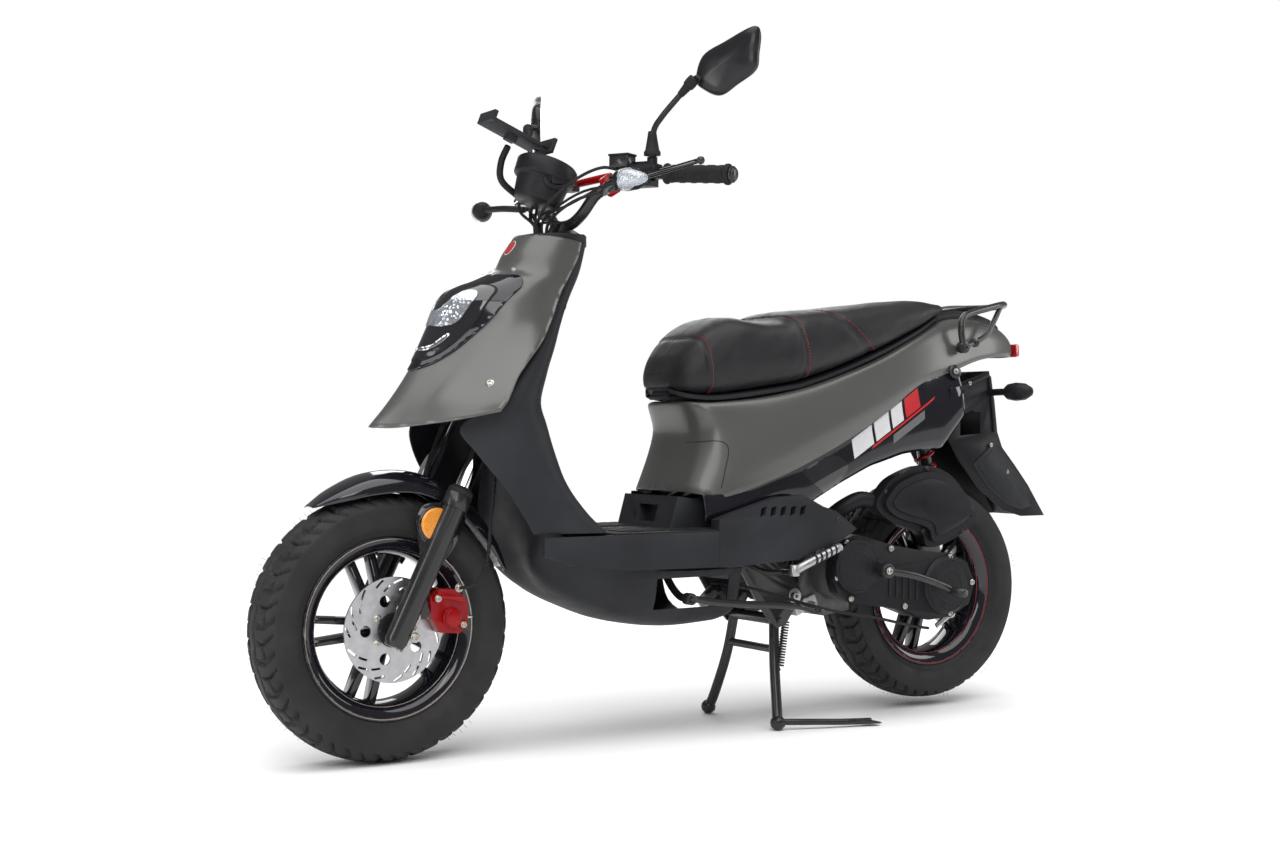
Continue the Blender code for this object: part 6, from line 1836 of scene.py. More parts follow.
def under_cowl():
    """The lower cowl behind the front wheel, running back under the foot plate."""
    rows = [both_sides(row) for row in COWL_ROWS]
    window = box((0.0, 0.112, 0.258), (0.17, 0.2, 0.318))
    shapes = [sheet(rows, PANEL, inside=(0.3, 0, 0.55))]
    return node("under_cowl", "charcoal", shapes, [window])


def floorboard():
    """The foot plate, its side skirts, the column's base block and the vented rear wings."""
    plate_outline = [(0.272, -0.172), (0.272, 0.172), (-0.03, 0.172), (-0.03, -0.172)]
    shapes = [prism(plate_outline, 0.4015, 0.408, "z")]
    skirt = [(0.425, 0.405), (0.425, 0.372), (0.36, 0.35), (0.24, 0.338), (0.02, 0.336), (0.02, 0.405)]
    base = [(0.105, 0.404), (0.086, 0.4705), (0.0, 0.458), (-0.05, 0.455), (-0.05, 0.404)]
    shapes.append(prism(base, -0.098, 0.098))
    cuts = [box((0.076, -0.035, 0.418), (0.12, 0.035, 0.452))]
    for hand in (1, -1):
        shapes.append(handed(prism(skirt, 0.168, 0.178), hand))
        shapes.append(handed(prism(WING, 0.15, 0.1785), hand))
        for k in range(5):
            x = -0.052 - 0.024 * k
            slot = [(x, 0.429), (x - 0.004, 0.447), (x - 0.017, 0.451), (x - 0.013, 0.434)]
            cuts.append(handed(prism(slot, 0.158, 0.19), hand))
    made = node("floorboard", "charcoal", shapes, cuts, round_by=0.0035, crease=30)
    mats = []
    for hand in (1, -1):
        for k in range(9):
            x = 0.236 - 0.024 * k
            pad = [(x, 0.022), (x, 0.15), (x - 0.017, 0.15), (x - 0.017, 0.022)]
            mats.append(handed(prism(pad, 0.4075, 0.4098, "z"), hand))
    trim("floor_mats", "rubber", mats, "floorboard", round_by=0.0009)
    heads = [bolt(Vector((-0.245, hand * 0.1785, 0.42)), Y * hand, 0.0038, 0.003) for hand in (1, -1)]
    trim("wing_bolts", "black_paint", heads, "floorboard", round_by=0.0002)
    return made


def raised_edge(row):
    """A row of the body cover whose lower edge stands a little higher towards the tail."""
    first, second = Vector(row[0]), Vector(row[1])
    lift = 0.55 * max(0.0, min(1.0, (-0.38 - first.x) / 0.2)) * max(0.0, min(1.0, (0.86 + first.x) / 0.1))
    return [tuple(first + (second - first) * lift), *row[1:]]


def cover_edge(x):
    """Where the body cover's lower edge is at x, on the left."""
    rows = [Vector(raised_edge(row)[0]) for row in BODY_ROWS[3:12]]
    for a, b in zip(rows, rows[1:]):
        if a.x >= x >= b.x:
            return a + (b - a) * ((a.x - x) / (a.x - b.x))
    return rows[0] if x > rows[0].x else rows[-1]


def body_cover():
    """The cover under the seat: the band, the deck at the tail, the door's seam and the lip inside."""
    left = [raised_edge(row) for row in BODY_ROWS[1:-1]]
    rows = [BODY_ROWS[0], *left, BODY_ROWS[-1]]
    loop = [[Vector(p) for p in row] for row in rows]
    loop += [[flip(p) for p in row] for row in reversed(left)]
    band = sheet(loop, PANEL, closed=True, inside=(-0.38, 0, 0.6))
    deck = []
    for i in range(9, 14):
        edge = Vector(BODY_ROWS[i][4])
        deck.append([
            Vector((edge.x, y, edge.z - 0.0012 + 0.002 * (1 - abs(k - 2) / 2)))
            for k, y in enumerate((-edge.y - 0.004, -edge.y / 2, 0, edge.y / 2, edge.y + 0.004))
        ])
    deck = [row for row in deck if row[-1].y > 0.01]
    deck.append([p - X * 0.012 for p in deck[-1]])
    top = sheet(deck, 0.0026, inside=(-0.7, 0, 0.6))
    made = node("body_cover", "grey_panel", [band, top], round_by=0.0009)
    ground = lookup(sheet(loop, PANEL, closed=True, inside=(-0.38, 0, 0.6)))
    door = []
    for hand in (1, -1):
        corners = [
            (0.055, 0.572), (0.01, 0.578), (-0.01, 0.572), (-0.0135, 0.555), (-0.004, 0.52), (0.006, 0.486),
        ]
        line = []
        for p in smooth_path([Vector((x, 0, z)) for x, z in corners], 6):
            place = ground.ray_cast(Vector((p.x, hand * 0.4, p.z)), Vector((0, -hand, 0)))[0]
            if place is not None:
                line.append(place)
        door.append(tube(line, 0.0008, 12))
    trim("door_seam", "satin_black", door, "body_cover", round_by=0)
    rim = []
    for row in loop:
        edge = row[-1]
        at = Vector((edge.x * 0.995 - 0.002, edge.y * 0.965, edge.z - 0.01))
        rim.append([at, at + Z * 0.016, at + Z * 0.028 - Y * (0.1 * edge.y)])
    lip = sheet(rim, 0.002, closed=True, inside=(-0.38, 0, 0.7))
    trim("seat_well_lip", "satin_black", [lip], "body_cover", round_by=0)
    return made


def side_trim():
    """The gloss panels that carry on below the body cover, with their darker windows and slanted stripes."""
    walls = []
    lower_line = TRIM_LOW[::-1]
    for hand in (1, -1):
        rows = []
        for k in range(25):
            x = 0.05 - 0.665 * k / 24
            edge = cover_edge(x)
            high = max(edge.z + 0.006, height_on(TRIM_TOP, x))
            low = height_on(lower_line, x) - 0.012
            out_top = min(0.1395, edge.y - 0.0025) if high < edge.z + 0.007 else 0.139
            row = []
            for t, y in ((0, out_top), (0.25, 0.1385), (0.6, 0.1405), (0.9, 0.1395), (1.0, 0.133)):
                row.append(Vector((
                    x, hand * (out_top + (y - out_top) * min(1, t * 2.5)), high + (low - high) * t,
                )))
            rows.append(row)
        walls.append(sheet(rows, 0.003, inside=(-0.3, 0, 0.55)))
    narrow = prism([(-0.62, 0.644), (-0.615, 0.694), (-0.58, 0.687), (-0.58, 0.61)], -0.1385, 0.1385)
    hollow = prism([(-0.63, 0.6), (-0.63, 0.67), (-0.57, 0.67), (-0.57, 0.6)], -0.13, 0.13)
    above = prism([(-0.63, 0.674), (-0.63, 0.72), (-0.57, 0.72), (-0.57, 0.674)], -0.13, 0.13)
    strap = combine(narrow, [hollow, above], "DIFFERENCE")
    ground = {
        hand: BVHTree.FromPolygons(
            [v.co.copy() for v in wall.data.vertices], [tuple(f.vertices) for f in wall.data.polygons],
        )
        for hand, wall in zip((1, -1), walls)
    }
    made = node("side_trim", "gloss_black", [*walls, strap], round_by=0.0008)
    for hand in (1, -1):
        side = "left" if hand > 0 else "right"
        way = Vector((0, -hand, 0))
        window = [
            (-0.205, 0.497), (-0.19, 0.52), (-0.262, 0.548), (-0.3, 0.528), (-0.285, 0.5), (-0.25, 0.47),
        ]
        trim(
            "trim_window_" + side, "smoked",
            [skin(smooth_ring(window, 4), ground[hand], way, 0.001, 0.001)], "side_trim", round_by=0,
        )
        run = Vector((-0.222, 0.134)).normalized()
        rise = Vector((0.3, 0.95)).normalized()
        for finish, start, length, low, high in (
            ("decal_white", 0.0, 0.06, 0.004, 0.042), ("decal_white", 0.068, 0.044, 0.004, 0.042),
            ("decal_white", 0.12, 0.034, 0.004, 0.042), ("decal_red", 0.162, 0.046, 0.004, 0.042),
            ("decal_red", 0.05, 0.2, -0.003, 0.001), ("decal_grey", 0.11, 0.1, -0.024, -0.008),
        ):
            base = Vector((-0.318, 0.536)) + run * start
            outline = [
                base + rise * low, base + run * length + rise * low,
                base + run * (length + 0.006) + rise * high, base + run * 0.006 + rise * high,
            ]
            name = "stripe_%s_%s_%d" % (finish[6:], side, round(start * 1000))
            patch = skin([tuple(p) for p in outline], ground[hand], way, 0.0012, 0.001, 0.006)
            trim(name, finish, [patch], "side_trim", round_by=0)
    return made


def height_on(line, x):
    """The height of a side outline at x, where the line runs from front to back."""
    for (ax, az), (bx, bz) in zip(line, line[1:]):
        if ax >= x >= bx:
            return az + (bz - az) * ((ax - x) / (ax - bx))
    return line[0][1] if x > line[0][0] else line[-1][1]


def seat_row(x, half, low, high):
    """The cushion's left half at x, from the middle of its underside round to the middle of its top."""
    return [Vector((x, half * y, low + (high - low) * z)) for y, z in SEAT_SECTION]


def seat_shape(share_x, share_y):
    """A point on the cushion's skin, by its shares along it and round from one low edge to the other."""
    rings = SEAT_FINE
    t = share_x * (len(rings) - 1)
    k = min(int(t), len(rings) - 2)
    ring = [a + (b - a) * (t - k) for a, b in zip(rings[k], rings[k + 1])]
    u = share_y * (len(ring) - 1)
    m = min(int(u), len(ring) - 2)
    return ring[m] + (ring[m + 1] - ring[m]) * (u - m)


SEAT_FINE = []


def seat():
    """The cushion in stitched panels, sculpted on a fine grid, and the base plate that carries its hinge."""
    rings = [seat_row(*ring) for ring in SEAT_RINGS]
    rings = [[flip(p) for p in reversed(ring[1:])] + ring for ring in rings]
    half = len(SEAT_SECTION) - 1
    lines = [smooth_path([ring[k] for ring in rings], SEAT_STEPS) for k in range(len(rings[0]))]
    SEAT_FINE.extend([smooth_path([line[i] for line in lines], SEAT_ROUND) for i in range(len(lines[0]))])
    rows, cols = len(SEAT_FINE), len(SEAT_FINE[0])
    seams = ((0.205, 0.16), (0.615, 0.545), (0.8, 0.64))
    points = []
    for i, ring in enumerate(SEAT_FINE):
        along = i / (rows - 1)
        for j, p in enumerate(ring):
            top = 1 - abs(j / (cols - 1) - 0.5) * 2
            dip = 0.0
            for high, low in seams:
                shift = along - low - (high - low) * top
                dip += 0.003 * math.exp(-((shift / 0.007) ** 2))
            wrinkle = 0.0005 * math.sin(61 * along + 9 * top) * math.sin(23 * top + 5 * along)
            inward = (
                Vector((p.x, 0, (SEAT_FINE[i][half * SEAT_ROUND].z + SEAT_FINE[i][0].z) / 2)) - p
            ).normalized()
            points.append(p + inward * (dip + wrinkle))
    faces = []
    for i in range(rows - 1):
        for j in range(cols - 1):
            a = i * cols + j
            faces.append((a, a + 1, a + cols + 1, a + cols))
        faces.append((i * cols + cols - 1, i * cols, (i + 1) * cols, (i + 1) * cols + cols - 1))
    faces += [tuple(range(cols)), tuple(range((rows - 1) * cols, rows * cols))]
    cushion = node("seat_cushion", "leather", [solid(points, faces)], round_by=0.004, crease=50)
    threads = []
    for high, low in seams:
        for k in range(STITCHES):
            ends = []
            for part in (0, 0.55):
                a = 0.06 + 0.88 * (k + part) / STITCHES
                ends.append(seat_shape(low + (high - low) * (1 - abs(a - 0.5) * 2) + 0.011, a))
            threads.append(tube(ends, 0.00062, 12))
    trim("seat_stitching", "red_thread", threads, "seat_cushion", round_by=0)
    rows = []
    for x, wide, low, _ in SEAT_RINGS:
        rows.append([
            Vector((x, y * wide * 0.86, low - 0.0015 - 0.01 * (abs(y) == 1))) for y in (-1, -0.9, 0, 0.9, 1)
        ])
    base = sheet(rows, 0.004, inside=(-0.2, 0, 0.3))
    knuckle = rod(SEAT_HINGE - Y * 0.032, SEAT_HINGE + Y * 0.032, 0.005)
    lug = block(SEAT_HINGE + Vector((-0.004, 0, 0.006)), (0.01, 0.05, 0.013))
    node("seat_base", "charcoal", [base, knuckle, lug])


def seat_lock():
    """The lock beside the seat, with its barrel and slit."""
    out = Vector((0.1, 0.97, 0.2)).normalized()
    at = LOCK_AT
    profile = [(0, 0), (0, 0.015), (0.004, 0.015), (0.006, 0.012), (0.006, 0)]
    made = node("seat_lock", "black_paint", [lathe(profile, at, out)])
    heart = lathe([(0.0045, 0), (0.0045, 0.0062), (0.0072, 0.0058), (0.0072, 0)], at, out)
    slit = block(at + out * 0.0072, (0.0012, 0.0072, 0.0012), out, X)
    trim("lock_barrel", "steel", [heart], "seat_lock", round_by=0.0003)
    trim("lock_slit", "smoked", [slit], "seat_lock", round_by=0)
    return made


def tail_light():
    """The red lens at the very end of the tail."""
    rings = []
    for x, half, low, high in (
        (-0.8565, 0.046, 0.761, 0.791), (-0.868, 0.044, 0.763, 0.79), (-0.876, 0.034, 0.768, 0.786),
    ):
        rings.append([
            Vector((x, -half, low)), Vector((x, half, low)), Vector((x, half, high)),
            Vector((x, -half, high)),
        ])
    return node("tail_light", "red_lens", [loft(rings)], round_by=0.003, crease=30)


def rear_rack():
    """The grab rail round the tail with its two lower struts."""
    half = [
        (-0.622, 0.1315, 0.775), (-0.617, 0.13, 0.81), (-0.628, 0.124, 0.838), (-0.655, 0.118, 0.85),
        (-0.72, 0.106, 0.864), (-0.775, 0.088, 0.874), (-0.805, 0.055, 0.874), (-0.812, 0.0, 0.873),
    ]
    path = [Vector(p) for p in half] + [flip(p) for p in reversed(half[:-1])]
    shapes = [tube(path, 0.0075, 12)]
    for hand in (1, -1):
        strut = [
            (-0.768, 0.091, 0.872), (-0.735, 0.1035, 0.835), (-0.705, 0.115, 0.806), (-0.66, 0.1235, 0.786),
            (-0.62, 0.1315, 0.776),
        ]
        shapes.append(handed(tube(strut, 0.006, 12), hand))
    shapes.append(rod((-0.745, -0.099, 0.8675), (-0.745, 0.099, 0.8675), 0.0055, 24))
    for hand in (1, -1):
        shapes.append(handed(rod((-0.622, 0.1215, 0.775), (-0.622, 0.1375, 0.775), 0.0125, 48), hand))
        shapes.append(handed(rod((-0.66, 0.118, 0.786), (-0.66, 0.13, 0.786), 0.0095, 48), hand))
    made = node("rear_rack", "black_paint", shapes, round_by=0.0008)
    heads = []
    for hand in (1, -1):
        heads.append(handed(bolt((-0.622, 0.137, 0.775), Y, 0.006, 0.004), hand))
        heads.append(handed(bolt((-0.66, 0.1298, 0.786), Y, 0.0045, 0.004), hand))
    trim("rack_bolts", "black_paint", heads, "rear_rack", round_by=0.0003)
    return made


def rear_mudguard():
    """The undertray and mudguard behind the wheel, with the two rear signals on it."""
    outline = [
        (-0.602, 0.606), (-0.6, 0.655), (-0.66, 0.7), (-0.748, 0.728), (-0.764, 0.665), (-0.773, 0.593),
        (-0.787, 0.56), (-0.825, 0.52), (-0.865, 0.475), (-0.9147, 0.406), (-0.845, 0.406), (-0.791, 0.42),
        (-0.736, 0.456), (-0.714, 0.47), (-0.661, 0.531), (-0.636, 0.57),
    ]
    inner = [
        (-0.5, 0.596), (-0.594, 0.65), (-0.657, 0.694), (-0.742, 0.72), (-0.757, 0.664), (-0.766, 0.59),
        (-0.781, 0.555), (-0.819, 0.514), (-0.858, 0.469), (-0.908, 0.393), (-0.8, 0.3), (-0.5, 0.4),
    ]
    shapes = [prism(outline, -0.0745, 0.0745)]
    window = [(-0.664, 0.586), (-0.664, 0.634), (-0.723, 0.638), (-0.723, 0.59)]
    cuts = [prism(inner, -0.0715, 0.0715), prism(window, -0.09, 0.09)]
    shell = combine(shapes[0], cuts, "DIFFERENCE")
    parts = [shell]
    for hand in (1, -1):
        stalk = tube([(-0.748, 0.0725, 0.68), (-0.75, 0.105, 0.681), (-0.752, 0.135, 0.681)], 0.0075)
        head = signal_head((-0.754, 0.163, 0.681), Vector((-0.12, 0.99, 0)).normalized(), 0.074, 0.04)
        parts += [handed(stalk, hand), handed(head, hand)]
    hole = [
        (-0.676, 0.632), (-0.704, 0.64), (-0.716, 0.618), (-0.712, 0.594), (-0.688, 0.598), (-0.676, 0.612),
    ]
    made = node(
        "rear_mudguard", "satin_black", parts, [prism(smooth_ring(hole, 4), -0.2, 0.2)], round_by=0.0022,
    )
    panels = []
    for hand in (1, -1):
        lower = [
            (-0.7, 0.522), (-0.754, 0.566), (-0.812, 0.51), (-0.842, 0.476), (-0.874, 0.428),
            (-0.842, 0.42), (-0.792, 0.436), (-0.742, 0.472),
        ]
        panels.append(handed(prism(lower, 0.0735, 0.0775), hand))
        panels.append(handed(prism(inset(lower, 0.009), 0.0735, 0.0795), hand))
        rib = [
            (-0.606, 0.64), (-0.612, 0.656), (-0.664, 0.694), (-0.744, 0.722), (-0.75, 0.716),
            (-0.668, 0.684), (-0.616, 0.648),
        ]
        panels.append(handed(prism(rib, 0.0735, 0.0785), hand))
        edge = [
            (-0.744, 0.72), (-0.752, 0.716), (-0.764, 0.64), (-0.768, 0.596), (-0.76, 0.592),
            (-0.756, 0.64),
        ]
        panels.append(handed(prism(edge, 0.0735, 0.0785), hand))
    trim("mudguard_panels", "charcoal", panels, "rear_mudguard", round_by=0.002)
    heads = [
        bolt(Vector((x, hand * 0.0775, z)), Y * hand, 0.0036, 0.0025) for hand in (1, -1)
        for x, z in ((-0.69, 0.7), (-0.752, 0.565), (-0.8, 0.505))
    ]
    trim("mudguard_bolts", "zinc", heads, "rear_mudguard", round_by=0.0002)
    return made


def storage_box():
    """The open box under the seat."""
    outline = [
        (0.018, 0.638), (0.012, 0.53), (-0.05, 0.508), (-0.22, 0.508), (-0.335, 0.6), (-0.355, 0.722),
    ]
    outline += [(-0.3, 0.704), (-0.2, 0.674), (-0.1, 0.656), (-0.04, 0.642)]
    inner = [(0.014, 0.7), (0.008, 0.533), (-0.05, 0.512), (-0.218, 0.512), (-0.331, 0.602), (-0.353, 0.8)]
    return node("storage_box", "charcoal", [prism(outline, -0.072, 0.072)], [prism(inner, -0.068, 0.068)])


def frame():
    """Head tube, down tube, floor rails rising to the tail, cross members, hanger plates and lugs."""
    rail = [
        (0.288, 0.012, 0.362), (0.245, 0.04, 0.34), (0.18, 0.074, 0.326), (-0.02, 0.085, 0.325),
        (-0.1, 0.098, 0.36), (-0.155, 0.098, 0.45), (-0.24, 0.094, 0.545), (-0.36, 0.092, 0.618),
        (-0.46, 0.08, 0.667), (-0.62, 0.06, 0.738), (-0.7, 0.05, 0.765),
    ]
    shapes = [rod(stem_at(0.485), stem_at(0.76), 0.027, 48)]
    shapes.append(tube(
        [
            (0.416, 0, 0.705), (0.4, 0, 0.64), (0.375, 0, 0.52), (0.327, 0, 0.405), (0.29, 0, 0.362),
            (0.235, 0, 0.335),
        ],
        0.0165,
    ))
    for hand in (1, -1):
        shapes.append(handed(tube(rail, 0.0115, 12), hand))
        hanger = [
            (-0.06, 0.335), (-0.115, 0.372), (-0.15, 0.372), (-0.222, 0.27), (-0.212, 0.247),
            (-0.182, 0.205), (-0.158, 0.198), (-0.12, 0.24),
        ]
        shapes.append(handed(prism(hanger, 0.0835, 0.0885), hand))
        arm = [
            (-0.065, 0.09, 0.342), (-0.1, 0.125, 0.3185), (-0.125, 0.15, 0.3175), (-0.131, 0.1742, 0.3185),
        ]
        shapes.append(handed(tube(arm, 0.0062, 12), hand))
    for x, z, half in (
        (0.18, 0.326, 0.076), (-0.02, 0.325, 0.087), (-0.155, 0.45, 0.098), (-0.42, 0.648, 0.085),
        (-0.56, 0.711, 0.067), (-0.695, 0.764, 0.051),
    ):
        shapes.append(rod((x, -half, z), (x, half, z), 0.01, 6))
    shapes.append(rod(ENGINE_PIVOT - Y * 0.092, ENGINE_PIVOT + Y * 0.092, 0.007))
    shapes.append(rod(STAND_PIVOT - Y * 0.092, STAND_PIVOT + Y * 0.092, 0.006))
    ear = [(-0.5, 0.675), (-0.506, 0.65), (-0.535, 0.65), (-0.548, 0.705)]
    shapes.append(prism(ear, 0.0745, 0.0795))
    shapes.append(rod(SHOCK_TOP - Y * 0.018, SHOCK_TOP + Y * 0.013, 0.005))
    lug = [(0.108, 0.084, 0.322), (0.104, 0.105, 0.296), (0.1, 0.125, 0.28), (0.1, 0.1485, 0.277)]
    shapes.append(tube(lug, 0.0075))
    shapes.append(rod(SIDE_STAND_PIVOT - Y * 0.014, SIDE_STAND_PIVOT + Y * 0.011, 0.0045))
    bore = rod(stem_at(0.47), stem_at(0.8), 0.019, 48)
    return node("frame", "black_paint", shapes, [bore])


def rear_brake_cable():
    """The cable along the left side to the brake arm."""
    route = [
        (0.02, 0.105, 0.3), (-0.03, 0.118, 0.295), (-0.08, 0.135, 0.283), (-0.16, 0.158, 0.258),
        (-0.24, 0.178, 0.236), (-0.33, 0.18, 0.22), (-0.4, 0.165, 0.205), (-0.47, 0.14, 0.19),
        (-0.535, 0.118, 0.179),
    ]
    return node("rear_brake_cable", "rubber", [tube(route, 0.003, 12)])


def chassis():
    """The frame, the covers, the seat and what is fixed to them."""
    frame()
    front_panels()
    leg_shield()
    under_cowl()
    floorboard()
    body_cover()
    side_trim()
    seat()
    seat_lock()
    tail_light()
    rear_rack()
    rear_mudguard()
    storage_box()
    rear_brake_cable()


# Engine unit, suspension, stands


CASE = [
    (-0.25, 0.3), (-0.252, 0.345), (-0.278, 0.377), (-0.315, 0.386), (-0.4, 0.362), (-0.473, 0.349),
    (-0.56, 0.339), (-0.608, 0.318), (-0.628, 0.276), (-0.612, 0.23), (-0.56, 0.206), (-0.5, 0.202),
    (-0.433, 0.227), (-0.36, 0.238), (-0.29, 0.25), (-0.26, 0.27),
]


def engine_case():
    """Crankcase with its cylinder and hanger lug, and the arm beside the wheel that holds the axle."""
    crank = [
        (-0.222, 0.246), (-0.222, 0.3), (-0.25, 0.365), (-0.33, 0.392), (-0.352, 0.36), (-0.352, 0.225),
        (-0.285, 0.216),
    ]
    shapes = [prism(crank, -0.08, 0.078)]
    shapes.append(prism(inset(CASE, 0.002), 0.0765, 0.13))
    shapes.append(lathe(
        [(0, 0), (0, 0.05), (0.1, 0.05), (0.1, 0.044), (0.175, 0.044), (0.175, 0)], (-0.235, -0.01, 0.322),
        (0.993, 0, 0.118), 42,
    ))
    shapes.append(rod(ENGINE_PIVOT - Y * 0.05, ENGINE_PIVOT + Y * 0.05, 0.019, 42))
    shapes.append(block(ENGINE_PIVOT + Vector((-0.02, 0, 0.012)), (0.03, 0.09, 0.022)))
    shapes.append(rod(REAR_AXLE + Y * 0.08, REAR_AXLE - Y * 0.062, 0.01, 36))
    shapes.append(rod(REAR_AXLE - Y * 0.048, REAR_AXLE - Y * 0.064, 0.017, 6))
    foot = [
        (-0.605, 0.325), (-0.596, 0.372), (-0.588, 0.389), (-0.562, 0.389), (-0.552, 0.372), (-0.548, 0.33),
    ]
    shapes.append(prism(foot, 0.0765, 0.08))
    shapes.append(rod(SHOCK_FOOT - Y * 0.018, SHOCK_FOOT + Y * 0.013, 0.005))
    shapes.append(box((-0.628, 0.078, 0.196), (-0.598, 0.0965, 0.245)))
    shapes.append(rod(BRAKE_ARM_PIVOT - Y * 0.01, BRAKE_ARM_PIVOT + Y * 0.006, 0.004))
    shapes.append(rod(KICK_PIVOT - Y * 0.06, KICK_PIVOT, 0.0065))
    bore = rod(ENGINE_PIVOT - Y * 0.06, ENGINE_PIVOT + Y * 0.06, 0.0082)
    made = node("engine_case", "engine_alloy", shapes, [bore], round_by=0.0022)
    fins = []
    for k in range(7):
        at = Vector((-0.228 + 0.014 * k, -0.01, 0.3228 + 0.00165 * k))
        fins.append(lathe(
            [(0, 0.04), (0, 0.062), (0.003, 0.062), (0.003, 0.04)], at, (0.993, 0, 0.118), 72,
        ))
    trim("cylinder_fins", "engine_alloy", fins, "engine_case", round_by=0.0006)
    cast = [
        block((-0.205, 0.062, 0.262), (0.07, 0.03, 0.04), (0.98, 0, -0.2), Z),
        block((-0.236, 0.07, 0.242), (0.06, 0.03, 0.026), (0.9, 0, -0.35), Z),
    ]
    cast.append(rod((-0.205, 0.07, 0.262), (-0.205, 0.089, 0.262), 0.017, 60))
    cast.append(rod((-0.25, 0.072, 0.236), (-0.25, 0.092, 0.236), 0.012, 60))
    cast.append(block((-0.262, 0.1, 0.345), (0.046, 0.03, 0.022), (0.9, 0, 0.4), Z))
    trim("engine_hanger", "aluminium", cast, "engine_case", round_by=0.0028, crease=30)
    heads = [
        bolt((-0.205, 0.0885, 0.262), Y, 0.0072, 0.006), bolt((-0.25, 0.0915, 0.236), Y, 0.0055, 0.005),
        bolt((-0.232, 0.087, 0.252), Y, 0.0045, 0.004),
    ]
    trim("hanger_bolts", "zinc", heads, "engine_case", round_by=0.0003)
    return made


def transmission_cover():
    """The outer cover with its two round bosses."""
    shapes = [prism(CASE, 0.1306, 0.158)]
    shapes.append(lathe(
        [(0, 0), (0, 0.055), (0.016, 0.055), (0.022, 0.047), (0.022, 0)], (-0.305, 0.15, 0.322), Y, 60,
    ))
    shapes.append(lathe(
        [(0, 0), (0, 0.062), (0.01, 0.062), (0.018, 0.052), (0.018, 0)], (-0.549, 0.15, 0.273), Y, 60,
    ))
    bore = rod(KICK_PIVOT - Y * 0.06, KICK_PIVOT + Y * 0.01, 0.0078)
    made = node("transmission_cover", "satin_black", shapes, [bore], round_by=0.004, crease=30)
    rings, heads = [], []
    for x, z, r, out in ((-0.305, 0.322, 0.05, 0.1715), (-0.549, 0.273, 0.055, 0.1675)):
        for k in (1.0, 0.62):
            band = [
                (-0.001, r * k - 0.003), (0.0012, r * k - 0.002), (0.0012, r * k), (-0.001, r * k + 0.001),
            ]
            rings.append(lathe(band, (x, out, z), Y, 96))
    rim_line = inset(CASE, 0.0075)
    for k in range(0, len(rim_line), 2):
        x, z = rim_line[k]
        rings.append(rod((x, 0.15, z), (x, 0.16, z), 0.0085, 48))
        heads.append(bolt((x, 0.1598, z), Y, 0.0046, 0.004))
    for k in range(5):
        x = -0.395 - 0.018 * k
        rings.append(block((x, 0.1585, 0.286 - 0.003 * k), (0.005, 0.003, 0.06), X, Z))
    boss = lathe(
        [(0, 0.0085), (0, 0.023), (0.004, 0.021), (0.004, 0.0085)], (KICK_PIVOT.x, 0.158, KICK_PIVOT.z), Y,
        72,
    )
    rings.append(boss)
    trim("cover_ribs", "satin_black", rings, "transmission_cover", round_by=0.001)
    trim("cover_bolts", "zinc", heads, "transmission_cover", round_by=0.0003)
    return made


def airbox():
    """The air filter box with its raised lid, screws and snout."""
    outline = [
        (-0.367, 0.44), (-0.385, 0.475), (-0.42, 0.503), (-0.5, 0.524), (-0.575, 0.498), (-0.63, 0.433),
        (-0.64, 0.407), (-0.6, 0.38), (-0.54, 0.356), (-0.5, 0.356), (-0.485, 0.385), (-0.41, 0.407),
    ]
    body = prism(smooth_ring(outline, 4), 0.122, 0.152)
    raised = prism(smooth_ring(inset(outline, 0.012), 4), 0.15, 0.164)
    made = node("airbox", "satin_black", [body, raised], round_by=0.005, crease=30)
    heads, seats = [], []
    corners = inset(outline, 0.006)
    for k in (1, 3, 5, 7, 10):
        x, z = corners[k]
        seats.append(rod((x, 0.148, z), (x, 0.1535, z), 0.0065, 48))
        heads.append(bolt((x, 0.1532, z), Y, 0.0034, 0.003))
    snout = [(-0.372, 0.128, 0.452), (-0.345, 0.12, 0.455), (-0.318, 0.105, 0.44), (-0.3, 0.085, 0.42)]
    seats.append(tube(snout, 0.017, 24))
    seats.append(prism(smooth_ring(inset(outline, 0.026), 4), 0.16, 0.1662))
    trim("airbox_details", "satin_black", seats, "airbox", round_by=0.0018)
    trim("airbox_screws", "black_paint", heads, "airbox", round_by=0.0002)
    return made


def exhaust():
    """Header from the cylinder, back along the right side into the silencer."""
    header = [
        (-0.095, -0.03, 0.276), (-0.092, -0.06, 0.256), (-0.11, -0.098, 0.236), (-0.18, -0.116, 0.218),
        (-0.29, -0.122, 0.226), (-0.39, -0.132, 0.262), (-0.43, -0.138, 0.28),
    ]
    shapes = [tube(header, 0.0125)]
    way = Vector((-0.3, -0.02, 0.085))
    silencer = [(0, 0), (0, 0.02), (0.035, 0.042), (0.25, 0.046), (0.285, 0.038), (0.285, 0)]
    shapes.append(lathe(silencer, (-0.4, -0.135, 0.268), way))
    made = node("exhaust", "black_paint", shapes, round_by=0.002)
    unit = way.normalized()
    guard = lathe(
        [(0.055, 0.0465), (0.055, 0.05), (0.225, 0.052), (0.225, 0.048)], (-0.4, -0.135, 0.268), unit, 96,
    )
    tip = lathe(
        [(0.28, 0.01), (0.28, 0.0135), (0.302, 0.0135), (0.302, 0.01)], (-0.4, -0.137, 0.268), unit, 72,
    )
    trim("silencer_guard", "satin_black", [guard], "exhaust", round_by=0.0008)
    trim("silencer_tip", "steel", [tip], "exhaust", round_by=0.0005)
    return made


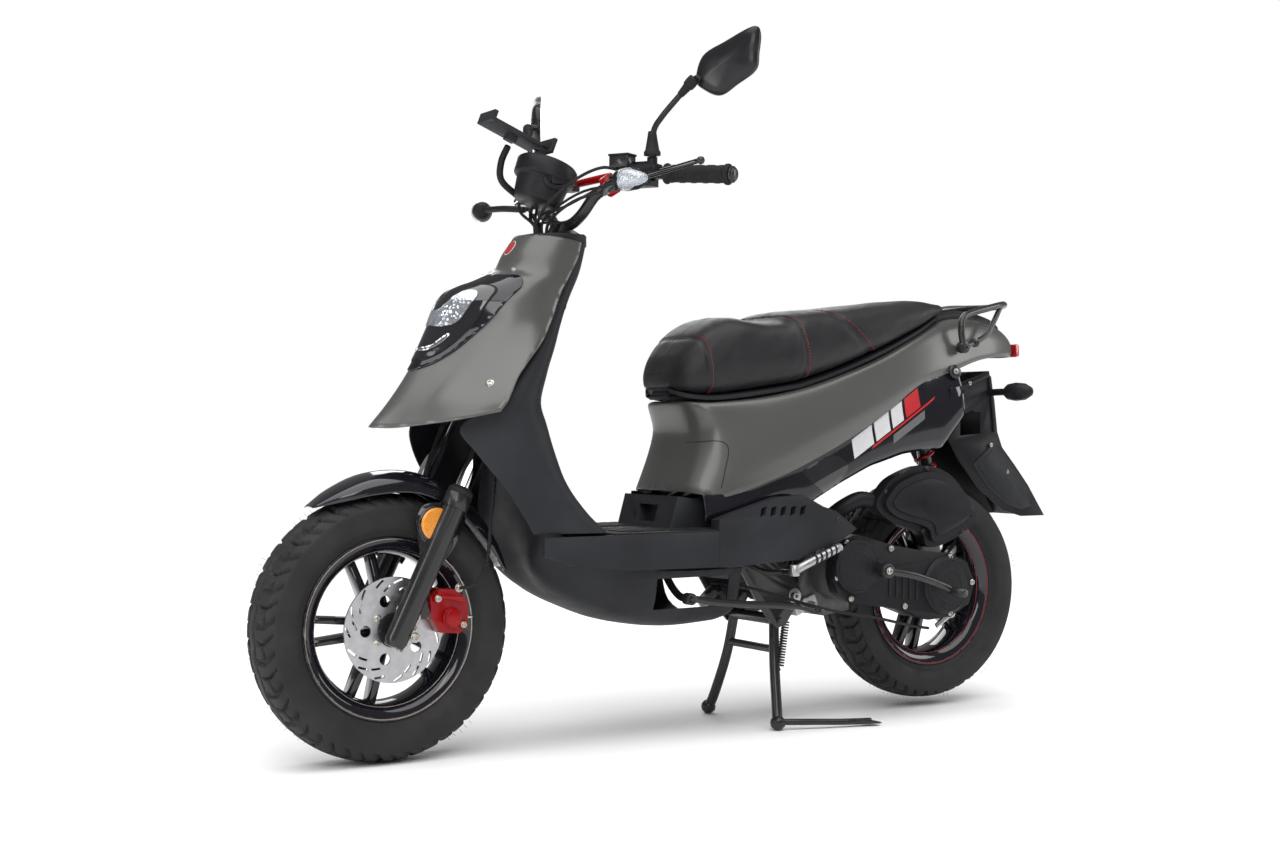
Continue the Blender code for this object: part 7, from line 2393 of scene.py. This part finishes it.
def shock():
    """The rear shock: body, sliding rod and spring, all on one line between the two eyes."""
    way = (SHOCK_FOOT - SHOCK_TOP).normalized()
    length = (SHOCK_FOOT - SHOCK_TOP).length
    ring = [(-0.009, 0.0062), (-0.009, 0.0135), (0.009, 0.0135), (0.009, 0.0062)]
    tube_profile = [
        (0.011, 0), (0.011, 0.01), (0.028, 0.012), (0.03, 0.0235), (0.036, 0.0235), (0.037, 0.0145),
        (0.15, 0.0145), (0.15, 0),
    ]
    bore_top = rod(SHOCK_TOP - Y * 0.02, SHOCK_TOP + Y * 0.02, 0.0062, 36)
    bore = rod(SHOCK_TOP + way * 0.06, SHOCK_TOP + way * 0.16, 0.0074, 36)
    shapes = [lathe(ring, SHOCK_TOP, Y), lathe(tube_profile, SHOCK_TOP, way)]
    node("shock_body", "black_paint", shapes, [bore_top, bore])
    rod_profile = [
        (0.105, 0), (0.105, 0.006), (length - 0.062, 0.006), (length - 0.061, 0.0235),
        (length - 0.055, 0.0235), (length - 0.05, 0.012), (length - 0.01, 0.01), (length - 0.01, 0),
    ]
    eye = lathe([(-0.009, 0.0066), (-0.009, 0.0135), (0.009, 0.0135), (0.009, 0.0066)], SHOCK_FOOT, Y)
    bore_low = rod(SHOCK_FOOT - Y * 0.02, SHOCK_FOOT + Y * 0.02, 0.0066, 36)
    node("shock_rod", "steel", [eye, lathe(rod_profile, SHOCK_TOP, way)], [bore_low])
    side, up = across(way)
    low, high, turns, steps = 0.0405, length - 0.0655, 6.5, 9
    count = int(turns * steps)
    coil = []
    for k in range(count + 1):
        at = SHOCK_TOP + way * (low + (high - low) * k / count)
        coil.append(on_circle(at, side, up, 0.0198, FULL_TURN * k / steps))
    ends = ("shock_upper", "shock_lower", SHOCK_TOP + way * low, SHOCK_TOP + way * high)
    node("shock_spring", "red_metal", [tube(coil, 0.0032, 12)], round_by=0, between=ends)


def centre_stand():
    """The stand's two legs with ball feet, its pedal and its spring."""
    shapes = [sleeve(STAND_PIVOT - Y * 0.08, STAND_PIVOT + Y * 0.08, 0.0115, 0.0068)]
    for hand in (1, -1):
        leg = [(-0.165, 0.07, 0.212), (-0.156, 0.084, 0.13), (-0.143, 0.11, 0.045), (-0.136, 0.122, 0.014)]
        shapes.append(handed(tube(leg, 0.0105), hand))
        ball = [
            (-0.0145, 0), (-0.013, 0.0085), (-0.007, 0.014), (0.0, 0.0155), (0.007, 0.014), (0.013, 0.0085),
            (0.0145, 0),
        ]
        shapes.append(handed(lathe(ball, (-0.136, 0.123, 0.0145), Z, 60), hand))
    shapes.append(rod((-0.1595, -0.08, 0.155), (-0.1595, 0.08, 0.155), 0.008, 24))
    tang = [(-0.14, 0.124, 0.016), (-0.2, 0.145, 0.014), (-0.27, 0.166, 0.011), (-0.33, 0.176, 0.009)]
    shapes.append(tube(tang, 0.0065))
    pedal = []
    for x, y, half, low, high in (
        (-0.175, 0.1365, 0.0055, 0.009, 0.02), (-0.235, 0.1555, 0.006, 0.0075, 0.0165),
        (-0.29, 0.169, 0.0065, 0.006, 0.014), (-0.322, 0.176, 0.011, 0.005, 0.0105),
        (-0.342, 0.178, 0.0135, 0.0045, 0.0085), (-0.348, 0.178, 0.011, 0.0045, 0.007),
    ):
        pedal.append([
            Vector((x, y - half, low)), Vector((x, y + half, low)), Vector((x, y + half, high)),
            Vector((x, y - half, high)),
        ])
    shapes.append(loft(pedal))
    bore = rod(STAND_PIVOT - Y * 0.09, STAND_PIVOT + Y * 0.09, 0.0068, 36)
    made = node("centre_stand", "black_paint", shapes, [bore], round_by=0.0025, crease=30)
    top, foot = Vector((-0.188, 0.08, 0.212)), Vector((-0.164, 0.0925, 0.122))
    side, up = across((foot - top).normalized())
    turns, steps = 17, 16
    coil = [top - X * 0.004 + Z * 0.004]
    for k in range(turns * steps):
        at = top + (foot - top) * (k / (turns * steps))
        coil.append(on_circle(at, side, up, 0.0066, FULL_TURN * k / steps))
    coil.append(foot - Z * 0.008)
    ends = ("chassis", "stand_centre", top, foot)
    trim("stand_spring", "black_paint", [tube(coil, 0.0019, 12)], "centre_stand", round_by=0, between=ends)
    return made


def side_stand():
    """The side stand, folded up beside the machine."""
    at = SIDE_STAND_PIVOT
    rail = [at - X * 0.009, (0.04, 0.163, 0.268), (-0.05, 0.168, 0.259), (-0.15, 0.171, 0.251)]
    shapes = [sleeve(at - Y * 0.0105, at + Y * 0.009, 0.0115, 0.0056, 42), tube(rail, 0.0068)]
    shapes.append(tube([(-0.146, 0.17, 0.2515), (-0.16, 0.178, 0.248), (-0.172, 0.198, 0.243)], 0.0062))
    shapes.append(block((-0.174, 0.203, 0.242), (0.02, 0.022, 0.009)))
    bore = rod(at - Y * 0.03, at + Y * 0.03, 0.0056, 42)
    return node("side_stand", "black_paint", shapes, [bore])


def kick_lever():
    """The kick lever with its pedal."""
    at = KICK_PIVOT
    shapes = [lathe([(0.0015, 0), (0.0015, 0.0155), (0.02, 0.0145), (0.02, 0)], at, Y)]
    shapes.append(tube(
        [at + Y * 0.011, (-0.43, 0.196, 0.3), (-0.505, 0.199, 0.276), (-0.528, 0.199, 0.266)],
        [0.0085, 0.0065],
    ))
    shapes.append(rod((-0.527, 0.194, 0.2665), (-0.532, 0.236, 0.262), 0.009))
    made = node("kick_lever", "black_paint", shapes, round_by=0.0015)
    trim("kick_bolt", "zinc", [bolt(at + Y * 0.0198, Y, 0.0055, 0.005)], "kick_lever", round_by=0.0003)
    return made


def foot_peg(name, hand):
    """A passenger's peg with rubber rings."""
    at = PEG_PIVOT
    shapes = [rod(at - Z * 0.012, at + Z * 0.01, 0.0098, 36)]
    shapes.append(tube([at - X * 0.004, (-0.165, 0.188, 0.337), (-0.242, 0.19, 0.366)], 0.0088))
    shapes = all_handed(shapes, hand)
    made = node(name, "aluminium", shapes, round_by=0.0012)
    pads = [
        sleeve(Vector((x, 0.1885, z)) - X * 0.0022, Vector((x, 0.1885, z)) + X * 0.0022, 0.0104, 0.008)
        for x, z in ((-0.178, 0.342), (-0.19, 0.3465), (-0.202, 0.351), (-0.214, 0.3555), (-0.226, 0.36))
    ]
    trim(name + "_rings", "rubber", all_handed(pads, hand), name, round_by=0.0004)
    return made


def brake_arm():
    """The arm that the rear brake cable pulls."""
    at = BRAKE_ARM_PIVOT
    tip = Vector((-0.573, 0.1015, 0.181))
    way = (tip - at).normalized()
    up = Y.cross(way)
    shapes = [plate(
        [(0, -0.006), (0.048, -0.0045), (0.048, 0.0045), (0, 0.006)], at, way, up, -0.003, 0.003,
    )]
    shapes.append(rod(at - Y * 0.003, at + Y * 0.004, 0.0095, 36))
    bore = rod(at - Y * 0.02, at + Y * 0.02, 0.0048, 36)
    return node("brake_arm", "steel", shapes, [bore])


def running_gear():
    """The engine, the suspension, the stands and the pegs."""
    engine_case()
    transmission_cover()
    airbox()
    exhaust()
    shock()
    centre_stand()
    side_stand()
    kick_lever()
    foot_peg("left_foot_peg", 1)
    foot_peg("right_foot_peg", -1)
    brake_arm()


# Making

make_materials()
studio()
wheels()
steering()
chassis()
running_gear()
